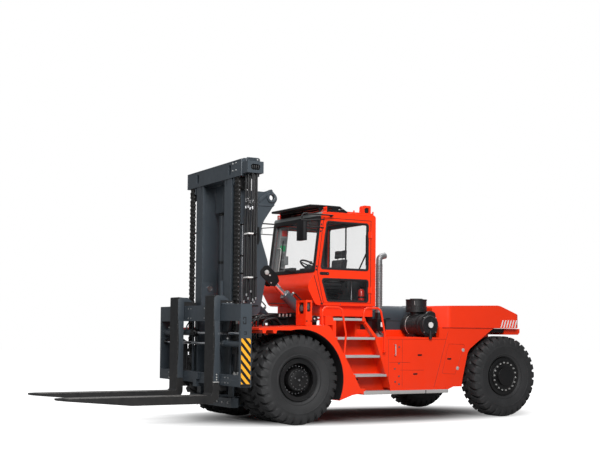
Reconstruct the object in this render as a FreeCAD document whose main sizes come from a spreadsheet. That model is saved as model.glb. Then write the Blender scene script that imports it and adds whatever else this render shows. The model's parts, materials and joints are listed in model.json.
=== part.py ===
import FreeCAD
import Part
import Sketcher
import math
import os

# A heavy counterbalance forklift truck with twin drive tyres.  Millimetres, +X forward to the
# fork tips, +Y to the truck's left, +Z up.  The origin is on the ground under the middle of the
# truck's length.  Sizes whose names end in _x are measured forward from the drive axle,
# and those of the rear body, from the steering axle.

SIZES = (
    # Running gear
    ("wheelbase", 4800), ("tyre_radius", 807.5), ("tyre_width", 500), ("outer_tyre_y", 1445),
    ("twin_pitch", 585), ("steer_tyre_y", 1390), ("sidewall_radius", 590), ("groove_radius", 752),
    ("shoulder_inset", 22), ("crown_inset", 58), ("rim_radius", 317.5), ("rim_wall", 17.5),
    ("rim_width", 330), ("flange_radius", 381), ("flange_thick", 25), ("disc_thick", 25),
    ("drive_disc_depth", 290), ("steer_disc_depth", 70), ("drive_hub_radius", 215),
    ("drive_hub_length", 150), ("steer_hub_radius", 180), ("steer_hub_length", 45),
    ("kingpin_y", 1160), ("kingpin_radius", 40), ("knuckle_radius", 85), ("knuckle_half", 170),
    ("spindle_radius", 78), ("beam_half_x", 170), ("beam_half_z", 190), ("beam_end_y", 860),
    ("beam_tip_half_x", 90), ("beam_arm_thick", 50), ("axle_tube_radius", 230), ("axle_tube_y", 600),
    ("axle_end_radius", 180), ("bowl_radius", 330), ("bowl_half", 350),
    # Clearances
    ("seat_gap", 0.3), ("run_gap", 5), ("bore_gap", 0.5),
    # Chassis frame
    ("frame_y", 360), ("frame_wall", 40), ("frame_front_x", 340), ("frame_floor", 600),
    ("frame_top", 1450), ("frame_rear_x", -350), ("tail_floor", 1150), ("tail_top", 1560),
    ("tail_x", 750), ("belly_x", 1100), ("belly_front_x", -1200), ("belly_thick", 40),
    ("loop_radius", 19), ("loop_reach", 130), ("loop_step", 60), ("loop_crest", 1990),
    ("loop_root", 1830), ("tower_front_x", -450), ("tower_rear_x", -850), ("tower_top", 2030),
    ("axle_saddle_top", 1250),
    # Fenders
    ("fender_y", 1700), ("fender_lip_x", 840), ("fender_lip_z", 1690), ("fender_lip_top", 1725),
    ("fender_top_x", -590), ("fender_top_z", 1794), ("arch_radius", 905), ("fender_inner_y", 1075),
    ("fender_inner_x", 450), ("fender_brow", 120), ("band_bow", 900), ("tab_width", 90),
    ("tab_foot", 68), ("tab_drop", 55), ("tab_inset", 2), ("tab_front_x", 690), ("tab_rear_x", 480),
    ("band_low_x", -1320), ("band_low_z", 550), ("band_mid_x", -1030), ("band_mid_z", 1070),
    ("arch_low_x", -1100), ("arch_low_z", 520),
    # Side bodies and steps
    ("side_y", 1500), ("skin", 100), ("side_top", 1580), ("side_floor", 620), ("side_front_x", -1750),
    ("side_front_low_x", -2080), ("side_rear_x", 1010), ("side_knee_x", 850), ("side_knee_z", 1335),
    ("side_bow", 250), ("side_kick_z", 742), ("side_kick_x", 1000), ("arch_end_x", 200),
    ("recess_y", 1230), ("stringer_width", 50), ("locker_front_x", -600), ("locker_y", 1330),
    ("locker_rise", 35), ("tread_y", 1542), ("tread_thick", 36), ("tread_low_z", 880),
    ("tread_mid_z", 1235), ("tread_high_z", 1570), ("platform_z", 1920), ("platform_front_x", -760),
    ("platform_rear_x", -1480), ("platform_y", 970), ("sill_front_x", -1450), ("sill_rear_x", 1380),
    ("sill_z", 570), ("sill_depth", 60), ("sill_y", 1300), ("rail_radius", 19), ("rail_y", 1561.3),
    ("rail_top", 2120), ("front_rail_x", -520), ("front_rail_back_x", -940),
    ("front_rail_low_x", -1035), ("front_rail_knee_z", 1620), ("rear_rail_x", -1420),
    ("rear_rail_back_x", -1800), ("rear_rail_low_x", -1900), ("rear_rail_knee_z", 1650),
    ("rear_rail_foot_z", 1300),
    # Counterweight
    ("weight_front_x", 1570), ("weight_y", 1500), ("weight_floor", 1775), ("weight_top", 2200),
    ("weight_crest", 2235), ("weight_crest_x", 50), ("weight_rear_x", -650), ("weight_rear_top", 1980),
    ("weight_rear_low", 1800), ("weight_corner_x", 180), ("weight_corner_y", 590),
    ("weight_nose_y", 1260), ("weight_shoulder_x", 1320), ("weight_soft", 120), ("weight_bulge", 200),
    ("weight_bow", 400), ("ballast_y", 440), ("ballast_floor", 900), ("ballast_front_x", -355),
    ("weight_round", 60), ("hitch_radius", 28), ("hitch_half", 60), ("hitch_ear", 42),
    ("hitch_reach", 90), ("hitch_z", 1450),
    # Hood and engine
    ("hood_front_x", -2160), ("hood_rear_x", 1588), ("hood_y", 760), ("hood_top", 2200),
    ("hood_corner", 260), ("hood_wall", 30), ("hood_foot", 1900), ("hood_front_top", 2090),
    ("hood_brow", 60), ("hood_bend_x", -2640), ("hood_bend", 500), ("hood_pin_radius", 14),
    ("hood_pin_y", 300), ("hood_pin_length", 120), ("engine_front_x", -2250), ("engine_rear_x", 1650),
    ("engine_y", 330), ("engine_top", 1880), ("stack_x", -2215), ("stack_y", 900),
    ("stack_radius", 60), ("stack_top", 3140), ("stack_foot", 70), ("stack_box_half", 95),
    ("stack_box_floor", 1700), ("stack_box_top", 1930), ("elbow_radius", 70), ("cleaner_x", 1810),
    ("cleaner_radius", 210), ("cleaner_z", 1820), ("cleaner_in_y", 900), ("cleaner_out_y", 1500),
    ("cover_radius", 165), ("cover_depth", 24), ("band_depth", 10), ("band_width", 30),
    ("neck_radius", 125), ("cap_y", 1070), ("cap_radius", 200), ("cap_top", 2320), ("cap_base", 2075),
    ("valve_radius", 30), ("valve_drop", 60), ("valve_inset", -35), ("duct_x", 1705), ("duct_z", 2010),
    ("duct_radius", 75), ("cleaner_foot_half", 130),
    # Cab
    ("cab_y", 930), ("cab_wall", 50), ("cab_rear_x", -2110), ("front_pad_x", -1100),
    ("rear_pad_x", -2110), ("pad_length", 100), ("cab_floor", 2170), ("cab_base", 1970),
    ("cab_base_front_x", -910), ("cab_top", 3945), ("waist_x", -735), ("waist_z", 2790),
    ("brow_x", -870), ("brow_z", 3860), ("cab_round", 60), ("nose_x", -560), ("nose_z", 2520),
    ("nose_round", 200), ("toe_round", 120), ("toe_x", -760), ("door_front_x", -940),
    ("door_waist_x", -800), ("door_head_x", -935), ("door_rear_x", -1990), ("door_foot", 2225),
    ("door_head", 3825), ("window_margin", 70), ("window_foot", 2873), ("vent_head", 2665),
    ("vent_foot", 2262), ("window_front_x", -805), ("vent_head_x", -900), ("vent_foot_x", -1025),
    ("pane_round", 40), ("glass_thick", 12), ("hinge_radius", 16), ("hinge_length", 120),
    ("hinge_low_z", 2420), ("hinge_high_z", 3500), ("screen_y", 850), ("screen_foot", 2850),
    ("screen_head", 3800), ("rear_window_foot", 2850), ("rear_window_y", 780), ("guard_front_x", -725),
    ("guard_rear_x", -1460), ("guard_y", 750), ("guard_z", 4045), ("guard_thick", 45),
    ("guard_crown", 4095), ("cheek_thick", 12), ("cheek_slot_z", 4000), ("cheek_slot_height", 36),
    ("cheek_slot_round", 16), ("cheek_slot_length", 120), ("cheek_slot_x", -1220),
    ("cheek_slot_rear_x", -1410), ("rail_inset", 45), ("rail_height", 38), ("beacon_x", -2010),
    ("beacon_width", 190), ("beacon_top", 4130), ("beacon_hole", 70), ("beacon_y", 780),
    ("beacon_depth", 120), ("column_x", -1000), ("console_x", -1260), ("console_half", 330),
    ("console_top", 2730), ("column_foot_x", -1040), ("column_foot_z", 2590), ("column_radius", 29),
    ("column_length", 395), ("wheel_rim_radius", 215), ("wheel_tube", 18), ("wheel_z", 2960),
    ("wheel_x", -1180), ("seat_x", -1560), ("seat_z", 2500), ("seat_half", 260),
    ("seat_back_top", 3330), ("cushion_thick", 140), ("back_thick", 130), ("back_lean", 85),
    ("pad_depth", 90), ("pedestal_half", 170), ("armrest_in_y", 280), ("armrest_out_y", 480),
    ("armrest_top", 2720),
    # Mast
    ("mast_foot", 290), ("mast_sill_top", 460), ("mast_sill_rear_x", 500), ("mast_sill_front_x", 975),
    ("mast_sill_wing_x", 840), ("mast_arm_y", 420), ("mast_arm_thick", 80), ("mast_arm_radius", 345),
    ("outer_web_y", 600), ("outer_web", 55), ("outer_front_x", 885), ("outer_rear_x", 400),
    ("outer_low_rear_x", 826), ("outer_step_z", 1900), ("step_rise", 100), ("outer_flange_y", 760),
    ("outer_flange", 40), ("outer_top", 4230), ("wing_y", 860), ("wing_wall", 40), ("wing_foot", 900),
    ("tie_thick", 90), ("top_tie_z", 3960), ("mid_tie_z", 2560), ("tie_height", 240), ("lug_x", 200),
    ("lug_z", 4130), ("lug_radius", 150), ("lug_bore", 50), ("lug_round", 90), ("wing_neck_x", 460),
    ("wing_neck_z", 3530), ("wing_neck_bow", 500), ("wing_waist_x", 240), ("wing_waist_z", 2900),
    ("wing_bow", 400), ("wing_low_x", 420), ("wing_low_z", 1980), ("inner_web_y", 530),
    ("inner_web", 50), ("inner_rear_x", 620), ("inner_front_x", 950), ("inner_flange", 45),
    ("inner_flange_in", 470), ("inner_flange_out", 765), ("inner_foot", 680), ("inner_top", 4450),
    ("head_y", 1180), ("head_rise", 300), ("head_rear_x", 600), ("head_front_x", 962),
    ("hose_box_y", 1400), ("hose_box_rear_x", 630), ("hose_box_front_x", 950), ("hose_box_lift", 30),
    ("hose_box_height", 210), ("head_step", 18), ("slot_y", 700), ("slot_half", 52),
    ("slot_height", 185), ("window_half", 95), ("hoop_radius", 14), ("hoop_rise", 66),
    ("inner_tie_z", 1250), ("inner_tie_rear_x", 680), ("inner_tie_front_x", 735), ("lift_x", 588),
    ("lift_y", 300), ("lift_barrel_radius", 86), ("lift_bore", 70), ("lift_barrel_top", 3930),
    ("lift_rod_radius", 64), ("lift_rod_foot", 2000), ("chain_y", 978), ("chain_x", 930),
    ("chain_half_x", 34), ("chain_half_y", 70), ("chain_foot", 1250), ("chain_waist", 20),
    ("hose_radius", 17), ("hose_x", 880), ("hose_foot", 2180), ("hose_row", 60), ("hose_inset", 30),
    ("hose_pitch", 48), ("hose_bend_z", 3900), ("hose_bend_drop", 300),
    # Carriage and forks
    ("carriage_y", 1785), ("carriage_rear_x", 1050), ("carriage_front_x", 1246),
    ("carriage_floor", 709), ("carriage_top", 2136), ("top_beam", 286), ("low_beam", 191),
    ("stop_half", 140), ("stop_drop", 70), ("stop_depth", 44), ("cheek_rear_x", 1030),
    ("cheek_wall", 60), ("guide_y", 400), ("guide_wall", 52), ("guide_rear_x", 740),
    ("guide_front_x", 985), ("guide_top", 2590), ("roller_radius", 80), ("roller_x", 820),
    ("low_roller_z", 950), ("high_roller_z", 2480), ("stem_y", 560), ("stem_wall", 60),
    ("positioner_x", 1150), ("positioner_low_z", 1440), ("positioner_high_z", 1630),
    ("positioner_barrel", 52), ("positioner_rod", 27), ("positioner_collar", 72),
    ("positioner_split_y", 950), ("positioner_stop_y", 317), ("fork_y", 800), ("fork_width", 370),
    ("fork_thick", 125), ("fork_top", 2305), ("fork_hook_x", 995), ("hook_lip", 72),
    ("hook_slope_x", 1090), ("hook_crest_x", 1155), ("hook_chamfer", 18), ("heel_inner", 50),
    ("blade_top", 527), ("heel_thick", 145), ("heel_round", 160), ("blade_length", 2762),
    ("tip_thick", 32), ("taper_start", 1500), ("tip_nose", 150), ("tip_width", 190),
    ("tip_shoulder", 60), ("tip_corner", 40), ("low_hook_x", 1110), ("low_hook_thick", 90),
    # Tilt cylinders
    ("tilt_y", 795), ("tilt_front_x", 285), ("tilt_front_z", 2748), ("tilt_rear_x", -650),
    ("tilt_rear_z", 1930), ("tilt_barrel_radius", 92), ("tilt_bore", 58), ("gland_length", 60),
    ("tilt_rod_radius", 45), ("tilt_barrel_length", 650), ("tilt_rod_start", 365),
    ("tilt_eye_radius", 95), ("tilt_eye_half", 50), ("tilt_pin_radius", 38), ("tilt_slack", 26),
    ("shaft_radius", 45), ("shaft_half", 900), ("clevis_wall", 30), ("clevis_radius", 125),
    ("clevis_rise", 175), ("clevis_round", 100),
    # Lamps and mirrors
    ("post_x", -170), ("post_y", 1505), ("post_half_x", 66), ("post_half_y", 175), ("post_top", 2235),
    ("pocket_height", 210), ("pocket_edge", 38), ("pocket_half", 95), ("lamp_radius", 72),
    ("lamp_depth", 28), ("mirror_x", -375), ("mirror_y", 1045), ("mirror_z", 3545),
    ("mirror_half_y", 115), ("mirror_half_z", 185), ("mirror_thick", 90), ("arm_radius", 14),
    ("arm_root_x", -1075), ("arm_z", 3870),
)

# Counts and shares: a tyre's lugs and how much of the turn they cover, and a chain's link plates.
LUG_COUNT = 30
LUG_SHARE = 0.5
CHAIN_LINKS = 40
LINK_SHARE = 0.62
# A tube's bend takes at most this share of its shorter leg, and is at most so many radii wide.
BEND_SHARE = 0.45
BEND_RADII = 6
# Where the sill's hangers, the air cleaner's clamp bands and the looped hoses stand, as shares.
HANGER_SHARES = (0.35, 0.65, 0.95)
BAND_SHARES = (0.0, 0.72, 0.93)
LOOP_SHARES = (-0.75, -0.45, -0.15, 0.2, 0.5, 0.78)
# How far the steering wheel leans back, in degrees.
STEERING_TILT = -32

doc = FreeCAD.newDocument("forklift")
sheet = doc.addObject("Spreadsheet::Sheet", "Sizes")
for row, (alias, amount) in enumerate(SIZES, start=1):
    sheet.set("A%d" % row, alias)
    sheet.set("B%d" % row, str(amount))
    sheet.setAlias("B%d" % row, alias)
doc.recompute()


class Size:
    """A length that keeps its value together with the sheet formula that gives it."""

    def __init__(self, value, formula=None):
        self.value = float(value)
        self.formula = formula or repr(float(value))

    def combined(self, other, sign, value):
        return Size(value, "(%s %s %s)" % (self.formula, sign, other.formula))

    def __add__(self, other):
        other = as_size(other)
        return self.combined(other, "+", self.value + other.value)

    def __sub__(self, other):
        other = as_size(other)
        return self.combined(other, "-", self.value - other.value)

    def __mul__(self, other):
        other = as_size(other)
        return self.combined(other, "*", self.value * other.value)

    def __truediv__(self, other):
        other = as_size(other)
        return self.combined(other, "/", self.value / other.value)

    def __neg__(self):
        return Size(0) - self

    def __radd__(self, other):
        return as_size(other) + self

    def __rsub__(self, other):
        return as_size(other) - self

    def __rmul__(self, other):
        return as_size(other) * self

    def __float__(self):
        return self.value


def as_size(amount):
    return amount if isinstance(amount, Size) else Size(amount)


class Sheet:
    """Each driving size of the spreadsheet, by its alias."""

    def __getattr__(self, alias):
        return Size(getattr(sheet, alias), "Sizes." + alias)


S = Sheet()
fork_tip_x = S.carriage_front_x + S.run_gap + S.fork_thick + S.blade_length
drive_axle = (S.wheelbase + S.tyre_radius - fork_tip_x) / 2
wheel_z = S.tyre_radius


def at(x):
    """The X of a place that is measured forward from the drive axle."""
    return drive_axle + x


steer_axle_x = at(-S.wheelbase)


def behind(x):
    """The X of a place on the rear body, that is measured forward from the steering axle."""
    return steer_axle_x + x


nodes = {}


def keep(thing):
    """Marks a finished sub-part, which is written to a file of its own."""
    nodes[thing.Label] = thing
    return thing


def bind(thing, prop, amount):
    thing.setExpression(prop, as_size(amount).formula)


def place(thing, x, y, z):
    for axis, amount in zip("xyz", (x, y, z)):
        bind(thing, "Placement.Base." + axis, amount)
    return thing


def block(name, x, y, z):
    """A box between two bounds on each axis."""
    box = doc.addObject("Part::Box", name)
    for prop, bounds in (("Length", x), ("Width", y), ("Height", z)):
        bind(box, prop, as_size(bounds[1]) - bounds[0])
    return place(box, x[0], y[0], z[0])


AXIS_TURN = {
    "x": FreeCAD.Rotation(FreeCAD.Vector(0, 1, 0), 90),
    "y": FreeCAD.Rotation(FreeCAD.Vector(1, 0, 0), -90),
    "z": FreeCAD.Rotation(),
}


def bar(name, axis, radius, start, length):
    """A round bar that runs along one axis from its start point."""
    cylinder = doc.addObject("Part::Cylinder", name)
    cylinder.Placement = FreeCAD.Placement(FreeCAD.Vector(), AXIS_TURN[axis])
    bind(cylinder, "Radius", radius)
    bind(cylinder, "Height", length)
    return place(cylinder, *start)


def fuse(name, *pieces):
    joined = doc.addObject("Part::MultiFuse", name)
    joined.Shapes = list(pieces)
    return joined


def group(name, *pieces):
    """Like pieces on one body that do not touch one another."""
    gathered = doc.addObject("Part::Compound", name)
    gathered.Links = list(pieces)
    return gathered


def cut(name, base, *tools):
    remainder = doc.addObject("Part::Cut", name)
    remainder.Base = base
    remainder.Tool = tools[0] if len(tools) == 1 else fuse(name + "_tools", *tools)
    return remainder


def common(name, *pieces):
    shared = doc.addObject("Part::MultiCommon", name)
    shared.Shapes = list(pieces)
    return shared


def mirrored(name, source):
    """The same piece on the truck's other side."""
    twin = doc.addObject("Part::Mirroring", name)
    twin.Source = source
    twin.Normal = FreeCAD.Vector(0, 1, 0)
    return twin


def both_sides(name, source):
    return group(name, source, mirrored(name + "_twin", source))


def via(u, v):
    """The middle point of an arc that joins the corners before and after it."""
    return ("via", u, v)


def oblong(low, high, radius):
    """A rectangle's outline with round corners, from its low to its high corner."""
    (u0, v0), (u1, v1) = low, high
    return ((u0, v0, radius), (u1, v0, radius), (u1, v1, radius), (u0, v1, radius))


def corner_edges(before, here, after, radius):
    """The tangent arc that rounds a corner, as its start, middle and end."""
    back = (before - here).normalize()
    ahead = (after - here).normalize()
    half = back.getAngle(ahead) / 2
    inward = (back + ahead).normalize()
    centre = here + inward * (radius / math.sin(half))
    reach = radius / math.tan(half)
    return here + back * reach, centre - inward * radius, here + ahead * reach


def outline_face(outline):
    """A closed face: a corner is (u, v) or (u, v, radius), and via() bends the run between two."""
    corners = []
    bends = {}
    for item in outline:
        if item[0] == "via":
            bends[len(corners) - 1] = FreeCAD.Vector(float(item[1]), float(item[2]), 0)
        else:
            corners.append(item)
    points = [FreeCAD.Vector(float(c[0]), float(c[1]), 0) for c in corners]
    runs = []
    for i, corner in enumerate(corners):
        if len(corner) == 3:
            runs.append(corner_edges(points[i - 1], points[i], points[(i + 1) % len(points)],
                                     float(corner[2])))
        else:
            runs.append((points[i], None, points[i]))
    edges = []
    for i, (start, middle, end) in enumerate(runs):
        following = runs[(i + 1) % len(runs)][0]
        if middle is not None:
            edges.append(Part.Arc(start, middle, end).toShape())
        if i in bends:
            edges.append(Part.Arc(end, bends[i], following).toShape())
        elif (following - end).Length > 1e-6:
            edges.append(Part.LineSegment(end, following).toShape())
    return Part.Face(Part.Wire(edges))


# How an outline's own u and v lie in the truck: extruded along X they are Y and Z, along Y they
# are X and Z, and along Z they are X and Y.  Turned upright, an outline's own depth runs towards
# minus Y, so it is extruded the other way.
OUTLINE_TURN = {
    "x": FreeCAD.Rotation(FreeCAD.Vector(1, 1, 1), 120),
    "y": FreeCAD.Rotation(FreeCAD.Vector(1, 0, 0), 90),
    "z": FreeCAD.Rotation(),
}
OUTLINE_DEPTH = {"x": 1, "y": -1, "z": 1}


def plate(name, axis, outline, low, high):
    """A piece of one outline, straight along an axis from low to high."""
    depth = float(as_size(high) - low) * OUTLINE_DEPTH[axis]
    feature = doc.addObject("Part::Feature", name)
    feature.Shape = outline_face(outline).extrude(FreeCAD.Vector(0, 0, depth))
    feature.Placement = FreeCAD.Placement(FreeCAD.Vector(), OUTLINE_TURN[axis])
    bind(feature, "Placement.Base." + axis, low)
    return feature


def slanted(name, radius, foot, head, start, length):
    """A round bar along the line from foot to head in the XZ plane, start being its distance on."""
    run = FreeCAD.Vector(float(head[0] - foot[0]), 0, float(head[2] - foot[2])).normalize()
    base = FreeCAD.Vector(*[float(part) for part in foot]) + run * float(start)
    feature = doc.addObject("Part::Feature", name)
    feature.Shape = Part.makeCylinder(float(radius), float(length), base, run)
    return feature


def turned(name, outline, x, z):
    """A round piece about a line along Y: its outline's corners are (radius, Y)."""
    body = doc.addObject("PartDesign::Body", name)
    sketch = body.newObject("Sketcher::SketchObject", name + "_outline")
    flat = [feature for feature in body.Origin.OriginFeatures if feature.Role == "XY_Plane"][0]
    sketch.AttachmentSupport = [(flat, "")]
    sketch.MapMode = "FlatFace"
    points = [FreeCAD.Vector(float(radius), float(along), 0) for radius, along in outline]
    for i, point in enumerate(points):
        sketch.addGeometry(Part.LineSegment(point, points[(i + 1) % len(points)]), False)
    for i in range(len(points)):
        sketch.addConstraint(Sketcher.Constraint("Coincident", i, 2, (i + 1) % len(points), 1))
    for i, corner in enumerate(outline):
        for kind, amount in zip(("DistanceX", "DistanceY"), corner):
            amount = as_size(amount)
            if amount.value == 0:
                sketch.addConstraint(Sketcher.Constraint("PointOnObject", i, 1, -2))
                continue
            index = sketch.addConstraint(Sketcher.Constraint(kind, i, 1, amount.value))
            sketch.setExpression("Constraints[%d]" % index, amount.formula)
    revolution = body.newObject("PartDesign::Revolution", name + "_turned")
    revolution.Profile = sketch
    revolution.ReferenceAxis = (sketch, ["V_Axis"])
    revolution.Angle = 360
    place(body, x, 0, z)
    return body


# Wheels --------------------------------------------------------------------------------------

def ring(count, radius, x, y, turn=0.0):
    """Evenly spread corners of a flat-sided ring about a line along Y, from straight down."""
    corners = []
    for i in range(count):
        angle = math.tau * (i + turn) / count - math.pi / 2
        corners.append(FreeCAD.Vector(float(x) + radius * math.cos(angle), float(y),
                                      float(wheel_z) + radius * math.sin(angle)))
    return corners


def lug_ring(radius, x, y, skew):
    """Two corners for each lug, at its leading and trailing edge."""
    count = LUG_COUNT
    half = LUG_SHARE / 2
    lead = ring(count, radius, x, y, skew - half)
    trail = ring(count, radius, x, y, skew + half)
    return [corner for pair in zip(lead, trail) for corner in pair]


def strip(near, far):
    """Triangles between two rings, where the far one has as many corners or twice as many."""
    count, ratio = len(near), len(far) // len(near)
    facets = []
    for i in range(count):
        here, ahead = near[i], near[(i + 1) % count]
        spots = [far[(i * ratio + k) % len(far)] for k in range(ratio + 1)]
        facets.append((here, spots[0], spots[1]))
        facets.append((here, spots[1], ahead))
        if ratio == 2:
            facets.append((ahead, spots[1], spots[2]))
    return facets


def tread(feet, tops):
    """Slanting lugs across the tread, from the corners at their feet and tops on both sides."""
    facets = []
    left_foot, right_foot = feet
    left_top, right_top = tops
    for lead in range(0, len(left_foot), 2):
        trail, following = lead + 1, (lead + 2) % len(left_foot)
        facets.append((left_top[lead], left_top[trail], right_top[lead]))
        facets.append((left_top[trail], right_top[trail], right_top[lead]))
        for foot, top in ((left_foot, left_top), (right_foot, right_top)):
            facets.append((foot[lead], foot[trail], top[trail]))
            facets.append((foot[lead], top[trail], top[lead]))
        for edge in (lead, trail):
            facets.append((left_foot[edge], left_top[edge], right_top[edge]))
            facets.append((left_foot[edge], right_top[edge], right_foot[edge]))
        facets.append((left_foot[trail], left_foot[following], right_foot[trail]))
        facets.append((left_foot[following], right_foot[following], right_foot[trail]))
    return facets


def faceted(name, facets):
    """A solid closed by triangles."""
    faces = [Part.Face(Part.makePolygon([a, b, c, a])) for a, b, c in facets]
    shell = Part.makeShell(faces)
    shell.sewShape()
    solid = Part.makeSolid(shell)
    if solid.Volume < 0:
        solid.reverse()
    feature = doc.addObject("Part::Feature", name)
    feature.Shape = solid
    return feature


def tyre(name, x, centre_y):
    """A bias tyre of flat facets, its slanting lugs staggered from one shoulder to the other."""
    count = LUG_COUNT
    coarse = count // 2
    clear = 1 / math.cos(math.pi / coarse)
    seat = (S.rim_radius + S.seat_gap).value * clear
    lip = (S.flange_radius + S.seat_gap).value * clear
    bead = S.rim_width / 2 - S.seat_gap
    facets = []
    bores, feet, tops = [], [], []
    for hand in (-1, 1):
        skew = hand * LUG_SHARE / 2
        bore = ring(coarse, seat, x, centre_y + bead * hand)
        lip_in = ring(coarse, lip, x, centre_y + bead * hand)
        lip_out = ring(coarse, lip, x, centre_y + (S.tyre_width / 2 - S.shoulder_inset * 2) * hand)
        bulge = ring(count, S.sidewall_radius.value, x, centre_y + S.tyre_width / 2 * hand, -0.5)
        foot = lug_ring(S.groove_radius.value, x, centre_y + (S.tyre_width / 2 - S.shoulder_inset) * hand, skew)
        top = lug_ring(S.tyre_radius.value, x, centre_y + (S.tyre_width / 2 - S.crown_inset) * hand, skew)
        facets += strip(bore, lip_in) + strip(lip_in, lip_out) + strip(lip_out, bulge)
        facets += strip(bulge, foot)
        bores.append(bore)
        feet.append(foot)
        tops.append(top)
    facets += strip(*bores) + tread(feet, tops)
    return faceted(name, facets)


def rim_edge(centre_y):
    """The outside of one rim, from its inboard flange to its outboard one."""
    inner = centre_y - S.rim_width / 2
    outer = centre_y + S.rim_width / 2
    return [(S.flange_radius, inner - S.flange_thick), (S.flange_radius, inner),
            (S.rim_radius, inner), (S.rim_radius, outer), (S.flange_radius, outer),
            (S.flange_radius, outer + S.flange_thick)]


inner_tyre_y = S.outer_tyre_y - S.twin_pitch
barrel_radius = S.rim_radius - S.rim_wall
drive_disc_y = S.outer_tyre_y + S.tyre_width / 2 - S.drive_disc_depth
steer_disc_y = S.steer_tyre_y + S.tyre_width / 2 - S.steer_disc_depth


def make_wheels():
    twin_in = rim_edge(inner_tyre_y)
    twin_out = rim_edge(S.outer_tyre_y)
    drive_face = drive_disc_y + S.disc_thick
    drive_rims = turned("left_drive_rims", (
        [(0, drive_disc_y), (barrel_radius, drive_disc_y), (barrel_radius, twin_in[0][1])]
        + twin_in + [(S.rim_radius, twin_in[-1][1]), (S.rim_radius, twin_out[0][1])]
        + twin_out + [(barrel_radius, twin_out[-1][1]), (barrel_radius, drive_face),
                      (S.drive_hub_radius, drive_face),
                      (S.drive_hub_radius, drive_face + S.drive_hub_length),
                      (0, drive_face + S.drive_hub_length)]), drive_axle, wheel_z)
    single = rim_edge(S.steer_tyre_y)
    steer_face = steer_disc_y + S.disc_thick
    steer_rim = turned("left_steer_rim", (
        [(0, steer_disc_y), (barrel_radius, steer_disc_y), (barrel_radius, single[0][1])]
        + single + [(barrel_radius, single[-1][1]), (barrel_radius, steer_face),
                    (S.steer_hub_radius, steer_face),
                    (S.steer_hub_radius, steer_face + S.steer_hub_length),
                    (0, steer_face + S.steer_hub_length)]), steer_axle_x, wheel_z)
    outer = tyre("left_outer_tyre", drive_axle, S.outer_tyre_y)
    inner = tyre("left_inner_tyre", drive_axle, inner_tyre_y)
    rear = tyre("left_steer_tyre", steer_axle_x, S.steer_tyre_y)
    for piece in (drive_rims, steer_rim, outer, inner, rear):
        keep(piece)
        keep(mirrored(piece.Label.replace("left", "right"), piece))


# Axles ---------------------------------------------------------------------------------------

def make_axles():
    tube = bar("axle_tube", "y", S.axle_tube_radius, (drive_axle, -S.axle_tube_y, wheel_z),
               S.axle_tube_y * 2)
    end = drive_disc_y - S.seat_gap
    ends = bar("axle_ends", "y", S.axle_end_radius, (drive_axle, -end, wheel_z), end * 2)
    bowl = bar("axle_bowl", "y", S.bowl_radius, (drive_axle, -S.bowl_half, wheel_z), S.bowl_half * 2)
    keep(fuse("drive_axle", tube, ends, bowl))

    beam = block("steer_beam", (steer_axle_x - S.beam_half_x, steer_axle_x + S.beam_half_x),
                 (-S.beam_end_y, S.beam_end_y), (wheel_z - S.beam_half_z, wheel_z + S.beam_half_z))
    saddle = block("steer_saddle", (steer_axle_x - S.beam_half_x, steer_axle_x + S.beam_half_x),
                   (-S.frame_y, S.frame_y), (wheel_z + S.beam_half_z, S.tail_floor))
    arm_low = S.knuckle_half + S.run_gap
    arm_high = arm_low + S.beam_arm_thick
    arms = []
    for name, low, high in (("upper", arm_low, arm_high), ("lower", -arm_high, -arm_low)):
        arms.append(block(name + "_arm", (steer_axle_x - S.beam_tip_half_x, steer_axle_x + S.beam_tip_half_x),
                          (S.beam_end_y, S.kingpin_y), (wheel_z + low, wheel_z + high)))
        arms.append(bar(name + "_boss", "z", S.beam_tip_half_x,
                        (steer_axle_x, S.kingpin_y, wheel_z + low), S.beam_arm_thick))
    web = block("arm_web", (steer_axle_x - S.beam_tip_half_x, steer_axle_x + S.beam_tip_half_x),
                (S.beam_end_y, S.beam_end_y + S.beam_tip_half_x), (wheel_z - arm_high, wheel_z + arm_high))
    pin = bar("kingpin", "z", S.kingpin_radius, (steer_axle_x, S.kingpin_y, wheel_z - arm_high),
              arm_high * 2)
    end_piece = fuse("steer_end", web, pin, *arms)
    keep(fuse("steer_axle", beam, saddle, end_piece, mirrored("steer_end_twin", end_piece)))

    post = bar("knuckle_post", "z", S.knuckle_radius,
               (steer_axle_x, S.kingpin_y, wheel_z - S.knuckle_half), S.knuckle_half * 2)
    spindle = bar("knuckle_spindle", "y", S.spindle_radius, (steer_axle_x, S.kingpin_y, wheel_z),
                  steer_disc_y - S.seat_gap - S.kingpin_y)
    bore = bar("knuckle_bore", "z", S.kingpin_radius + S.bore_gap,
               (steer_axle_x, S.kingpin_y, wheel_z - S.knuckle_half * 2), S.knuckle_half * 4)
    knuckle = keep(cut("left_knuckle", fuse("knuckle_solid", post, spindle), bore))
    keep(mirrored("right_knuckle", knuckle))


# Chassis -------------------------------------------------------------------------------------

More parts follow.
